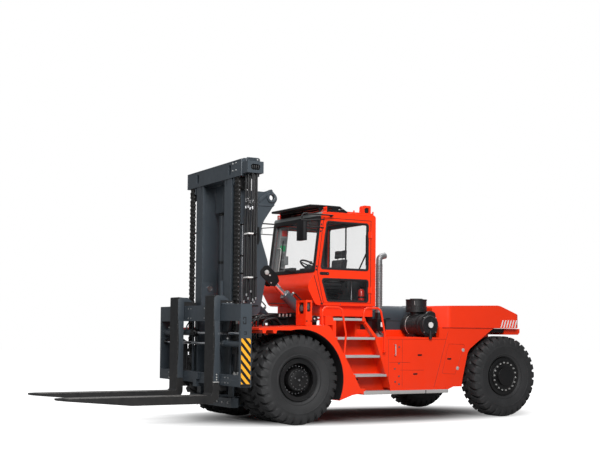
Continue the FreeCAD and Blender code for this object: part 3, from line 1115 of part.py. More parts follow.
def make_mast_base():
    """The sill that joins the uprights below, and the two arms that hang it on the drive axle."""
    inside_y = S.outer_web_y - S.run_gap
    sill = block("mast_sill", (at(S.mast_sill_rear_x), at(S.mast_sill_wing_x)), (-inside_y, inside_y),
                 (S.mast_foot, S.mast_sill_top))
    front = block("mast_sill_front", (at(S.outer_low_rear_x), at(S.mast_sill_front_x)),
                  (-S.wing_y - S.wing_wall, S.wing_y + S.wing_wall), (S.mast_foot, S.mast_sill_top))
    arch = math.radians(45)
    arm = plate("mast_arm", "y", (
        (at(S.mast_sill_wing_x), S.mast_foot), (at(S.mast_sill_wing_x), S.mast_sill_top),
        (at(S.mast_sill_rear_x), S.mast_sill_top), (at(S.mast_arm_radius), wheel_z),
        via(at(-S.mast_arm_radius * math.cos(arch)), wheel_z + S.mast_arm_radius * math.sin(arch)),
        (drive_axle, wheel_z - S.mast_arm_radius)), S.mast_arm_y, S.mast_arm_y + S.mast_arm_thick)
    arm_bore = bar("arm_bore", "y", S.axle_tube_radius + S.bore_gap, (drive_axle, -S.wing_y, wheel_z),
                   S.wing_y * 2)
    keep(cut("mast_base", fuse("mast_base_solid", sill, front, arm, mirrored("mast_arm_twin", arm)),
             arm_bore))
    keep(group("mast_ties", *[block(name, (at(S.outer_rear_x), at(S.outer_rear_x) + S.tie_thick),
                                    (-S.outer_web_y, S.outer_web_y), (z, z + S.tie_height))
                              for name, z in (("top_tie", S.top_tie_z), ("mid_tie", S.mid_tie_z))]))


def make_lift_barrels():
    barrel = bar("lift_tube", "z", S.lift_barrel_radius, (at(S.lift_x), S.lift_y, S.mast_sill_top),
                 S.lift_barrel_top - S.mast_sill_top)
    bore_foot = S.mast_sill_top + S.tie_thick
    bore = bar("lift_bore_hole", "z", S.lift_bore, (at(S.lift_x), S.lift_y, bore_foot),
               S.lift_barrel_top - S.gland_length - bore_foot)
    gland = bar("lift_gland_hole", "z", S.lift_rod_radius + S.bore_gap, (at(S.lift_x), S.lift_y, bore_foot),
                S.lift_barrel_top)
    keep(both_sides("lift_barrels", cut("lift_barrel", barrel, bore, gland)))


def mast_hose(name, place_in_row):
    """A hose that hangs from the hose box and bends in to the upright at its foot."""
    x = at(S.hose_x) - S.hose_row * (place_in_row % 2)
    y = S.head_y + S.hose_inset + S.hose_pitch * place_in_row
    foot = S.hose_foot + S.hose_row * place_in_row
    return bent_tube(name, S.hose_radius, (
        (x, y, hose_box_floor), (x, y, S.hose_bend_z),
        (x, y - S.hose_inset, S.hose_bend_z - S.hose_bend_drop), (x, y - S.hose_inset, foot)))


def chain_outline():
    """The side view of a leaf chain, its link plates standing out towards the front."""
    rear = at(S.chain_x) - S.chain_half_x
    front = at(S.chain_x) + S.chain_half_x
    waist = front - S.chain_waist
    pitch = (S.inner_top - S.chain_foot) / CHAIN_LINKS
    outline = [(rear, S.inner_top), (rear, S.chain_foot)]
    for i in range(CHAIN_LINKS):
        foot = S.chain_foot + pitch * i
        outline += [(front, foot), (front, foot + pitch * LINK_SHARE),
                    (waist, foot + pitch * LINK_SHARE), (waist, foot + pitch)]
    return outline


head_top = S.inner_top + S.head_rise
hose_box_floor = S.inner_top + S.hose_box_lift
hose_box_top = hose_box_floor + S.hose_box_height


def make_inner_mast():
    web = block("inner_web_plate", (at(S.inner_rear_x), at(S.inner_front_x)),
                (S.inner_web_y, S.inner_web_y + S.inner_web), (S.inner_foot, S.inner_top))
    front = block("inner_front_flange", (at(S.inner_front_x) - S.inner_flange, at(S.inner_front_x)),
                  (S.inner_flange_in, S.inner_flange_out), (S.inner_foot, S.inner_top))
    half = fuse("inner_half", web, front)
    head = block("mast_head", (at(S.head_rear_x), at(S.head_front_x)), (-S.head_y, S.head_y),
                 (S.inner_top, head_top))
    slot = plate("head_slot", "x", oblong(
        (S.slot_y - S.slot_half, head_top - S.slot_half - S.slot_height),
        (S.slot_y + S.slot_half, head_top - S.slot_half), S.slot_half - S.run_gap),
        at(S.head_front_x) - S.slot_half, at(S.head_front_x) + S.run_gap)
    cap = block("head_cap", (at(S.head_rear_x) + S.slot_half, at(S.head_front_x) - S.slot_half),
                (S.slot_y + S.slot_half * 2, S.head_y), (head_top, head_top + S.head_step))
    box_rear, box_front = at(S.hose_box_rear_x), at(S.hose_box_front_x)
    box = block("hose_box", (box_rear, box_front), (S.head_y, S.hose_box_y),
                (hose_box_floor, hose_box_top))
    box_middle = (box_rear + box_front) / 2
    box_z = (hose_box_floor + hose_box_top) / 2
    window = plate("hose_window", "y", oblong(
        (box_middle - S.window_half, box_z - S.slot_half), (box_middle + S.window_half, box_z + S.slot_half),
        S.slot_half - S.run_gap), S.hose_box_y - S.slot_half, S.hose_box_y + S.run_gap)
    hoop_y = (S.head_y + S.hose_box_y) / 2
    hoop_z = hose_box_top + S.hoop_rise
    hoop = bent_tube("head_hoop", S.hoop_radius, (
        (box_rear + S.hoop_radius * 2, hoop_y, hose_box_top - S.hoop_radius),
        (box_rear + S.hoop_radius * 2, hoop_y, hoop_z), (box_front - S.hoop_radius * 2, hoop_y, hoop_z),
        (box_front - S.hoop_radius * 2, hoop_y, hose_box_top - S.hoop_radius)))
    tie = block("inner_tie", (at(S.inner_tie_rear_x), at(S.inner_tie_front_x)),
                (-S.inner_web_y, S.inner_web_y), (S.inner_tie_z, S.inner_tie_z + S.tie_height))
    rod = bar("lift_rod", "z", S.lift_rod_radius, (at(S.lift_x), S.lift_y, S.lift_rod_foot),
              S.inner_top - S.lift_rod_foot)
    solid = fuse("inner_mast_solid", half, mirrored("inner_half_twin", half), head, box, tie, hoop, cap,
                 mirrored("head_cap_twin", cap), rod, mirrored("lift_rod_twin", rod))
    keep(cut("inner_mast", solid, slot, mirrored("head_slot_twin", slot), window))
    chain = plate("lift_chain", "y", chain_outline(), S.chain_y - S.chain_half_y, S.chain_y + S.chain_half_y)
    keep(both_sides("lift_chains", chain))
    hoses = [mast_hose("hose_%d" % i, i) for i in range(4)]
    keep(group("mast_hoses", *hoses))


def make_carriage():
    top = block("carriage_top_beam", (at(S.carriage_rear_x), at(S.carriage_front_x)),
                (-S.carriage_y, S.carriage_y), (S.carriage_top - S.top_beam, S.carriage_top))
    low = block("carriage_low_beam", (at(S.carriage_rear_x), at(S.carriage_front_x)),
                (-S.carriage_y, S.carriage_y), (S.carriage_floor, S.carriage_floor + S.low_beam))
    cheek = block("carriage_cheek", (at(S.cheek_rear_x), at(S.carriage_front_x)),
                  (S.carriage_y - S.cheek_wall, S.carriage_y), (S.carriage_floor, S.carriage_top))
    stem = block("carriage_stem", (at(S.carriage_rear_x), at(S.positioner_x) - S.positioner_collar - S.run_gap),
                 (S.stem_y, S.stem_y + S.stem_wall), (S.carriage_floor, S.carriage_top))
    guide = block("roller_guide", (at(S.guide_rear_x), at(S.guide_front_x)),
                  (S.guide_y, S.guide_y + S.guide_wall), (S.carriage_floor + S.low_beam, S.guide_top))
    link = block("guide_link", (at(S.guide_front_x), at(S.carriage_rear_x)),
                 (S.guide_y, S.guide_y + S.guide_wall), (S.carriage_floor, S.carriage_top - S.run_gap * 2))
    rollers = [bar(name, "y", S.roller_radius, (at(S.roller_x), S.guide_y + S.guide_wall, z),
                   S.inner_web_y - S.bore_gap - S.guide_y - S.guide_wall)
               for name, z in (("low_roller", S.low_roller_z), ("high_roller", S.high_roller_z))]
    half = fuse("carriage_half", cheek, stem, guide, link, *rollers)
    stop_low = S.carriage_floor - S.stop_drop
    stop_high = S.carriage_floor + S.low_beam
    stop_step = S.carriage_floor + S.stop_drop
    stop = plate("fork_stop", "x", (
        (-S.stop_half / 2, stop_low), (S.stop_half / 2, stop_low), (S.stop_half / 2, stop_step),
        (S.stop_half, stop_step), (S.stop_half, stop_high), (-S.stop_half, stop_high),
        (-S.stop_half, stop_step), (-S.stop_half / 2, stop_step)),
        at(S.carriage_rear_x), at(S.carriage_front_x) + S.stop_depth)
    keep(fuse("carriage", top, low, stop, half, mirrored("carriage_half_twin", half)))

    inside = S.carriage_y - S.cheek_wall
    x = at(S.positioner_x)
    pieces = [
        bar("low_barrel", "y", S.positioner_barrel, (x, S.positioner_split_y, S.positioner_low_z),
            inside - S.positioner_split_y),
        bar("low_rod", "y", S.positioner_rod, (x, -inside, S.positioner_low_z), inside + S.positioner_split_y),
        bar("high_barrel", "y", S.positioner_barrel, (x, -inside, S.positioner_high_z),
            inside - S.positioner_stop_y),
        bar("high_collar", "y", S.positioner_collar,
            (x, -S.positioner_stop_y - S.positioner_rod, S.positioner_high_z), S.positioner_rod),
        bar("high_rod", "y", S.positioner_rod, (x, -S.positioner_stop_y, S.positioner_high_z),
            inside + S.positioner_stop_y),
    ]
    keep(fuse("fork_positioner", *pieces))


def make_forks():
    back = S.carriage_front_x + S.run_gap
    face = back + S.fork_thick
    foot = S.blade_top - S.heel_thick
    side = plate("fork_side", "y", (
        (at(back), foot, S.heel_round), (at(back), S.carriage_floor - S.run_gap - S.low_hook_thick),
        (at(S.low_hook_x), S.carriage_floor - S.run_gap - S.low_hook_thick),
        (at(S.low_hook_x), S.carriage_floor - S.run_gap), (at(back), S.carriage_floor - S.run_gap),
        (at(back), S.carriage_top + S.seat_gap), (at(S.fork_hook_x), S.carriage_top + S.seat_gap),
        (at(S.fork_hook_x), S.carriage_top + S.hook_lip), (at(S.hook_slope_x), S.carriage_top + S.hook_lip),
        (at(S.hook_crest_x), S.fork_top - S.hook_chamfer), (at(face), S.fork_top, S.hook_chamfer),
        (at(face), S.blade_top, S.heel_inner), (fork_tip_x + drive_axle, S.blade_top),
        (fork_tip_x + drive_axle, S.blade_top - S.tip_thick), (at(face) + S.taper_start, foot)),
        S.fork_y - S.fork_width / 2, S.fork_y + S.fork_width / 2)
    plan = plate("fork_plan", "z", (
        (at(S.fork_hook_x) - S.run_gap, S.fork_y - S.fork_width / 2),
        (at(S.fork_hook_x) - S.run_gap, S.fork_y + S.fork_width / 2),
        (drive_axle + fork_tip_x - S.tip_nose, S.fork_y + S.fork_width / 2, S.tip_shoulder),
        (drive_axle + fork_tip_x, S.fork_y + S.tip_width / 2, S.tip_corner),
        (drive_axle + fork_tip_x, S.fork_y - S.tip_width / 2, S.tip_corner),
        (drive_axle + fork_tip_x - S.tip_nose, S.fork_y - S.fork_width / 2, S.tip_shoulder)),
        0, S.fork_top + S.run_gap)
    left = keep(common("left_fork", side, plan))
    keep(mirrored("right_fork", left))


def make_tilt_cylinders():
    foot = (at(S.tilt_rear_x), S.tilt_y, S.tilt_rear_z)
    head = (at(S.tilt_front_x), S.tilt_y, S.tilt_front_z)
    length = math.hypot(float(head[0] - foot[0]), float(head[2] - foot[2]))
    eye_y = S.tilt_y - S.tilt_eye_half
    tube = slanted("tilt_tube", S.tilt_barrel_radius, foot, head, S.tilt_eye_radius / 2,
                   S.tilt_barrel_length - S.tilt_eye_radius / 2)
    bore_start = S.tilt_eye_radius + S.clevis_wall
    bore = slanted("tilt_bore_hole", S.tilt_bore, foot, head, bore_start,
                   S.tilt_barrel_length - S.gland_length - bore_start)
    gland = slanted("tilt_gland_hole", S.tilt_rod_radius + S.bore_gap, foot, head, bore_start,
                    S.tilt_barrel_length)
    rear_eye = bar("tilt_rear_eye", "y", S.tilt_eye_radius, (foot[0], eye_y, foot[2]), S.tilt_eye_half * 2)
    rear_bore = bar("tilt_rear_bore", "y", S.shaft_radius + S.bore_gap, (foot[0], 0, foot[2]), S.tilt_y * 2)
    barrel = keep(cut("left_tilt_barrel", fuse("tilt_barrel_solid", tube, rear_eye), bore, gland, rear_bore))
    keep(mirrored("right_tilt_barrel", barrel))

    rod = slanted("tilt_rod_bar", S.tilt_rod_radius, foot, head, S.tilt_rod_start,
                  length - float(S.tilt_rod_start + S.tilt_eye_radius / 2))
    front_eye = bar("tilt_front_eye", "y", S.tilt_eye_radius, (head[0], eye_y, head[2]), S.tilt_eye_half * 2)
    front_bore = bar("tilt_front_bore", "y", S.tilt_pin_radius + S.tilt_slack, (head[0], 0, head[2]),
                     S.tilt_y * 2)
    left = keep(cut("left_tilt_rod", fuse("tilt_rod_solid", rod, front_eye), front_bore))
    keep(mirrored("right_tilt_rod", left))


def make_lamps():
    front, side = at(S.post_x) + S.post_half_x, S.post_y + S.post_half_y
    post = block("lamp_post", (front - S.post_half_x * 2, front), (side - S.post_half_y * 2, side),
                 (fender_top(S.post_x - S.post_half_x) + S.seat_gap, S.post_top))
    pocket_low, pocket_high = S.post_top - S.pocket_height - S.pocket_edge, S.post_top - S.pocket_edge
    front_pocket = plate("front_pocket", "x", oblong(
        (S.post_y - S.pocket_half, pocket_low), (S.post_y + S.pocket_half, pocket_high),
        S.pocket_edge / 2), front - S.lamp_depth * 2, front + S.run_gap)
    side_pocket = plate("side_pocket", "y", oblong(
        (at(S.post_x) - S.pocket_edge, pocket_low + S.pocket_edge), (at(S.post_x) + S.pocket_edge, pocket_high),
        S.pocket_edge / 2), side - S.lamp_depth, side + S.run_gap)
    lamp_z = (pocket_low + pocket_high) / 2
    lamp = bar("round_lamp", "x", S.lamp_radius, (front - S.lamp_depth * 2, S.post_y, lamp_z),
               S.lamp_depth)
    keep(both_sides("lamp_posts", fuse("lamp_post_solid", cut("post_shell", post, front_pocket, side_pocket),
                                       lamp)))
    glass = block("mirror_head", (at(S.mirror_x) - S.mirror_thick / 2, at(S.mirror_x) + S.mirror_thick / 2),
                  (S.mirror_y - S.mirror_half_y, S.mirror_y + S.mirror_half_y),
                  (S.mirror_z - S.mirror_half_z, S.mirror_z + S.mirror_half_z))
    root_x = at(S.arm_root_x)
    arm = bent_tube("mirror_arm", S.arm_radius, (
        (at(S.mirror_x), S.mirror_y, S.mirror_z + S.mirror_half_z), (at(S.mirror_x), S.mirror_y, S.arm_z),
        (root_x, S.mirror_y, S.arm_z), (root_x, S.cab_y + S.seat_gap, S.arm_z)))
    keep(both_sides("cab_mirrors", fuse("mirror_solid", glass, arm)))


def main():
    make_wheels()
    make_axles()
    make_frame()
    make_deck_hoses()
    make_fenders()
    make_side_bodies()
    make_steps()
    make_handrails()
    make_counterweight()
    make_engine_bay()
    make_exhaust()
    make_air_cleaner()
    make_cab()
    make_cab_roof()
    make_cab_inside()
    make_mast_rails()
    make_mast_base()
    make_lift_barrels()
    make_inner_mast()
    make_carriage()
    make_forks()
    make_tilt_cylinders()
    make_lamps()
    doc.recompute()

    faults = [thing.Name for thing in doc.Objects
              if "Invalid" in thing.State or "Error" in thing.State]
    faults += [label for label, thing in nodes.items()
               if thing.Shape.isNull() or not thing.Shape.isValid()]
    if faults:
        raise RuntimeError("failed objects: " + ", ".join(faults))
    os.makedirs("parts", exist_ok=True)
    for label, thing in nodes.items():
        thing.Shape.exportStep(os.path.join("parts", label + ".step"))
        print(label, round(thing.Shape.Volume / 1e9, 4), len(thing.Shape.Solids))


main()
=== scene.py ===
import bmesh
import bpy
import json
import math
from mathutils import Matrix, Vector


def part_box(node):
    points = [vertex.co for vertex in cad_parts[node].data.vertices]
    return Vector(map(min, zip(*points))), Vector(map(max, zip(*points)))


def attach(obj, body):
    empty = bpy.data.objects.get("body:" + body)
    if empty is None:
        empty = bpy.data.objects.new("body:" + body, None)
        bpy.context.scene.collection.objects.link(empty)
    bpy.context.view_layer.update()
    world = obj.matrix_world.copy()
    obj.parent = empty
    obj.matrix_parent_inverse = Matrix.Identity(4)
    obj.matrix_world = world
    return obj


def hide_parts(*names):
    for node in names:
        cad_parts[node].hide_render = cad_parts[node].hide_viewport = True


# The looks of a heavy counterbalance forklift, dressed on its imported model.  Metres, +X forward
# to the fork tips, +Y to the truck's left, +Z up.

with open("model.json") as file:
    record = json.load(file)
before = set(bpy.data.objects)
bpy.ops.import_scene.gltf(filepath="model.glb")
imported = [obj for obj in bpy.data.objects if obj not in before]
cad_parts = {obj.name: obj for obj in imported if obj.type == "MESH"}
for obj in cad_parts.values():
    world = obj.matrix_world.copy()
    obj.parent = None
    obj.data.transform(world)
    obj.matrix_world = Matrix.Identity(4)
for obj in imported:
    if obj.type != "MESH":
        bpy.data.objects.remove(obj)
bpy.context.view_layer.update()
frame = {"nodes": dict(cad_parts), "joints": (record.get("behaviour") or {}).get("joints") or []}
scene = bpy.context.scene
joints = {joint["name"]: joint for joint in frame["joints"]}

AXLE = Vector(joints["left_drive_spin"]["pos_m"])
STEER_AXLE = Vector(joints["left_steer_spin"]["pos_m"])
SIDES = (("left", 1), ("right", -1))
AXES = {"x": Vector((1, 0, 0)), "y": Vector((0, 1, 0)), "z": Vector((0, 0, 1))}
DUST = (0.22, 0.19, 0.16, 1)
BARE_EDGE = (0.16, 0.17, 0.18, 1)


def at(x):
    """The X of a place that is measured forward from the drive axle."""
    return AXLE.x + x


class Box:
    """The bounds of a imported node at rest."""

    def __init__(self, node):
        self.lo, self.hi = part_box(node)
        self.mid = (self.lo + self.hi) / 2
        self.size = self.hi - self.lo
        self.reach = max(abs(self.lo.y), abs(self.hi.y))


# Materials -----------------------------------------------------------------------------------

def grey(level):
    """A neutral colour."""
    return (level, level, level, 1.0)


def scaled(colour, factor):
    """A colour made lighter or darker by a factor."""
    return tuple(min(1.0, channel * factor) for channel in colour[:3]) + (1.0,)


class Finish:
    """A procedural material that is put together with short calls."""

    def __init__(self, name):
        self.material = bpy.data.materials.new(name)
        self.material.use_nodes = True
        self.tree = self.material.node_tree
        self.tree.nodes.clear()
        self.shader = self.tree.nodes.new("ShaderNodeBsdfPrincipled")
        output = self.tree.nodes.new("ShaderNodeOutputMaterial")
        self.tree.links.new(self.shader.outputs[0], output.inputs["Surface"])
        self.place = self.node("TexCoord").outputs["Object"]

    def node(self, kind, inputs=(), **settings):
        """Adds a shader node with its settings, and wires or sets its inputs."""
        made = self.tree.nodes.new("ShaderNode" + kind)
        for key, value in settings.items():
            setattr(made, key, value)
        for key, value in dict(inputs).items():
            self.wire(value, made.inputs[key])
        return made

    def wire(self, value, socket):
        """Links a socket's value to another socket, or sets a plain value on it."""
        if isinstance(value, bpy.types.NodeSocket):
            self.tree.links.new(value, socket)
        else:
            socket.default_value = value

    def set(self, **inputs):
        """Sets the shader's inputs by name, with an underscore for each space."""
        for key, value in inputs.items():
            self.wire(value, self.shader.inputs[key.replace("_", " ")])

    def noise(self, scale, detail, stretch=(1, 1, 1)):
        """Soft noise over the object, stretched along an axis if asked."""
        mapped = self.node("Mapping", {"Vector": self.place, "Scale": stretch})
        return self.node("TexNoise", {"Vector": mapped.outputs[0], "Scale": scale,
                                      "Detail": detail}).outputs["Fac"]

    def ramp(self, value, low, high, bottom=0.0, top=1.0):
        """Maps a value from low..high to bottom..top."""
        return self.node("MapRange", {"Value": value, "From Min": low, "From Max": high,
                                      "To Min": bottom, "To Max": top}).outputs["Result"]

    def math(self, how, first, second=0.0):
        """One step of arithmetic, held between 0 and 1."""
        return self.node("Math", {0: first, 1: second}, operation=how, use_clamp=True).outputs[0]

    def mix(self, share, first, second):
        """A blend of two colours."""
        made = self.node("Mix", {0: share, 6: first, 7: second}, data_type="RGBA")
        return made.outputs[2]

    def height(self):
        """Each point's height in the object's own space."""
        return self.node("SeparateXYZ", {0: self.place}).outputs["Z"]

    def edges(self, radius):
        """A mask that rises along convex and concave edges."""
        soft = self.node("Bevel", {"Radius": radius}, samples=4).outputs[0]
        hard = self.node("NewGeometry").outputs["Normal"]
        lined = self.node("VectorMath", {0: soft, 1: hard}, operation="DOT_PRODUCT").outputs["Value"]
        return self.ramp(self.math("SUBTRACT", 1.0, lined), 0.02, 0.25)

    def bump(self, height, strength, distance, radius=0.0):
        """Fine relief, over edges that a radius rounds off."""
        inputs = {"Height": height, "Strength": strength, "Distance": distance}
        if radius:
            inputs["Normal"] = self.node("Bevel", {"Radius": radius}, samples=4).outputs[0]
        self.set(Normal=self.node("Bump", inputs).outputs[0])


def painted(name, colour, roughness, coat=0.0, shade=0.88, lift=1.06, worn=None, dust=0.0,
            round_off=0.004, shine=0.5):
    """Sprayed paint with drifting tone, faint orange peel, soft edges, wear and low dust."""
    finish = Finish(name)
    broad = finish.noise(1.3, 4)
    fine = finish.noise(140, 2)
    tone = finish.mix(finish.ramp(broad, 0.3, 0.7), scaled(colour, shade), scaled(colour, lift))
    if dust:
        low = finish.math("MULTIPLY", finish.ramp(finish.height(), 0.25, 1.6, dust, 0.0),
                          finish.ramp(finish.noise(6, 5), 0.35, 0.7))
        tone = finish.mix(low, tone, DUST)
    if worn:
        rubbed = finish.math("MULTIPLY", finish.edges(round_off * 1.5),
                             finish.ramp(finish.noise(23, 5), 0.45, 0.6))
        tone = finish.mix(rubbed, tone, worn)
    finish.set(Base_Color=tone, Coat_Weight=coat, Coat_Roughness=0.12, Specular_IOR_Level=shine,
               Roughness=finish.ramp(finish.noise(9, 5), 0.3, 0.7, roughness - 0.06, roughness + 0.06))
    finish.bump(fine, 0.12, 0.0006, round_off)
    return finish.material


def metal(name, colour, roughness, grain=(1, 1, 1), bump=0.1, metallic=1.0):
    """Bare metal with a brushed or cast grain."""
    finish = Finish(name)
    lines = finish.noise(60, 5, grain)
    tone = finish.mix(finish.ramp(lines, 0.3, 0.7), scaled(colour, 0.82), scaled(colour, 1.08))
    finish.set(Base_Color=tone, Metallic=metallic,
               Roughness=finish.ramp(lines, 0.3, 0.7, roughness - 0.06, roughness + 0.08))
    finish.bump(lines, bump, 0.0006, 0.0015)
    return finish.material


def rubber(name, colour, roughness, dust=0.35, bump=0.35):
    """Moulded rubber with a dry, slightly dusty skin."""
    finish = Finish(name)
    broad = finish.noise(3.2, 6)
    fine = finish.noise(90, 5)
    tone = finish.mix(finish.ramp(broad, 0.35, 0.7), scaled(colour, 0.82), scaled(colour, 1.22))
    tone = finish.mix(finish.ramp(fine, 0.55, 0.8, 0.0, dust), tone, (0.13, 0.125, 0.12, 1))
    finish.set(Base_Color=tone, Roughness=finish.ramp(fine, 0.3, 0.7, roughness - 0.08, roughness + 0.08))
    finish.bump(fine, bump, 0.0012, 0.003)
    return finish.material


def plastic(name, colour, roughness):
    """Moulded plastic with a fine leather grain."""
    finish = Finish(name)
    leather = finish.node("TexVoronoi", {"Vector": finish.place, "Scale": 220}).outputs["Distance"]
    tone = finish.mix(finish.ramp(finish.noise(4, 4), 0.3, 0.7), scaled(colour, 0.85), scaled(colour, 1.15))
    finish.set(Base_Color=tone, Roughness=finish.ramp(leather, 0.0, 0.6, roughness - 0.06, roughness + 0.06))
    finish.bump(leather, 0.15, 0.0004, 0.002)
    return finish.material


def glass(name, colour, clear):
    """A thin tinted pane that lets the inside show through, a little dusty in patches."""
    finish = Finish(name)
    smear = finish.noise(5, 5, (1, 1, 0.4))
    finish.set(Base_Color=finish.mix(finish.ramp(smear, 0.4, 0.8), colour, scaled(colour, 1.2)),
               Roughness=finish.ramp(smear, 0.4, 0.8, 0.02, 0.09),
               Alpha=finish.ramp(smear, 0.3, 0.8, 1 - clear, 1.02 - clear))
    finish.bump(smear, 0.02, 0.001)
    return finish.material


def woven(name, colour):
    """A coarse upholstery weave."""
    finish = Finish(name)
    across = finish.node("TexWave", {"Vector": finish.place, "Scale": 160.0, "Distortion": 0.6},
                         bands_direction="Y").outputs["Fac"]
    along = finish.node("TexWave", {"Vector": finish.place, "Scale": 160.0, "Distortion": 0.6},
                        bands_direction="DIAGONAL").outputs["Fac"]
    weave = finish.math("MULTIPLY", across, along)
    finish.set(Base_Color=finish.mix(weave, scaled(colour, 0.6), scaled(colour, 1.3)),
               Roughness=0.9, Sheen_Weight=0.3, Sheen_Roughness=0.5)
    finish.bump(weave, 0.4, 0.001)
    return finish.material


ORANGE = (1.0, 0.040, 0.004, 1)
SLATE = (0.044, 0.056, 0.068, 1)
FINISHES = {
    "orange": painted("orange_paint", ORANGE, 0.36, coat=0.25, dust=0.04, lift=1.0, shade=0.93, shine=0.3),
    "orange_dark": painted("orange_inside", scaled(ORANGE, 0.45), 0.5, dust=0.1),
    "slate": painted("slate_paint", SLATE, 0.42, coat=0.15, worn=BARE_EDGE, dust=0.05),
    "black": painted("black_paint", (0.005, 0.005, 0.0055, 1), 0.40, coat=0.1, dust=0.03, lift=1.3,
                     shine=0.35),
    "fork": painted("fork_paint", (0.008, 0.008, 0.0085, 1), 0.5, worn=(0.20, 0.19, 0.18, 1),
                    dust=0.06, lift=1.5, round_off=0.006),
    "grey": painted("light_grey_paint", (0.42, 0.41, 0.40, 1), 0.55, worn=(0.6, 0.6, 0.6, 1)),
    "white": painted("white_paint", (0.82, 0.80, 0.78, 1), 0.5),
    "engine": painted("engine_paint", (0.10, 0.10, 0.105, 1), 0.5, dust=0.2),
    "column": painted("column_grey", (0.21, 0.225, 0.225, 1), 0.6),
    "panel": painted("panel_grey", (0.12, 0.13, 0.13, 1), 0.5),
    "green": painted("signal_green", (0.02, 0.30, 0.11, 1), 0.4),
    "lining": plastic("cab_lining", (0.10, 0.105, 0.110, 1), 0.65),
    "mirror": metal("mirror_glass", (0.80, 0.82, 0.84, 1), 0.05, bump=0.0),
    "red": painted("signal_red", (0.55, 0.02, 0.012, 1), 0.35, coat=0.3),
    "tyre": rubber("tyre_rubber", (0.021, 0.021, 0.022, 1), 0.66, dust=0.16),
    "hose": rubber("hose_rubber", (0.009, 0.009, 0.010, 1), 0.5, dust=0.05, bump=0.2),
    "seal": rubber("window_seal", (0.010, 0.010, 0.011, 1), 0.62, dust=0.08, bump=0.15),
    "plastic": plastic("black_plastic", (0.008, 0.008, 0.009, 1), 0.50),
    "chain": metal("chain_steel", (0.020, 0.019, 0.018, 1), 0.45, metallic=0.4),
    "steel": metal("bare_steel", (0.45, 0.45, 0.46, 1), 0.33),
    "worn": metal("worn_steel", (0.20, 0.19, 0.18, 1), 0.45, grain=(0.1, 1, 1), metallic=0.6),
    "bolt": metal("plated_bolts", (0.66, 0.66, 0.64, 1), 0.34, metallic=0.5),
    "chrome": metal("chromed_rod", (0.72, 0.72, 0.74, 1), 0.10, bump=0.02),
    "stack": metal("stack_steel", (0.27, 0.275, 0.28, 1), 0.46, grain=(1, 1, 0.1), metallic=0.7),
    "fabric": woven("seat_weave", (0.035, 0.037, 0.042, 1)),
    "glass": glass("cab_glass", (0.50, 0.56, 0.57, 1), 0.965),
    "dark_glass": glass("door_glass", (0.035, 0.038, 0.040, 1), 0.93),
    "lens": glass("lamp_lens", (0.16, 0.17, 0.175, 1), 0.45),
}


# Shapes --------------------------------------------------------------------------------------

def placed(axis, along, u, v):
    """A point at a distance along one axis, and at (u, v) on the other two."""
    return {"x": (along, u, v), "y": (u, along, v), "z": (u, v, along)}[axis]


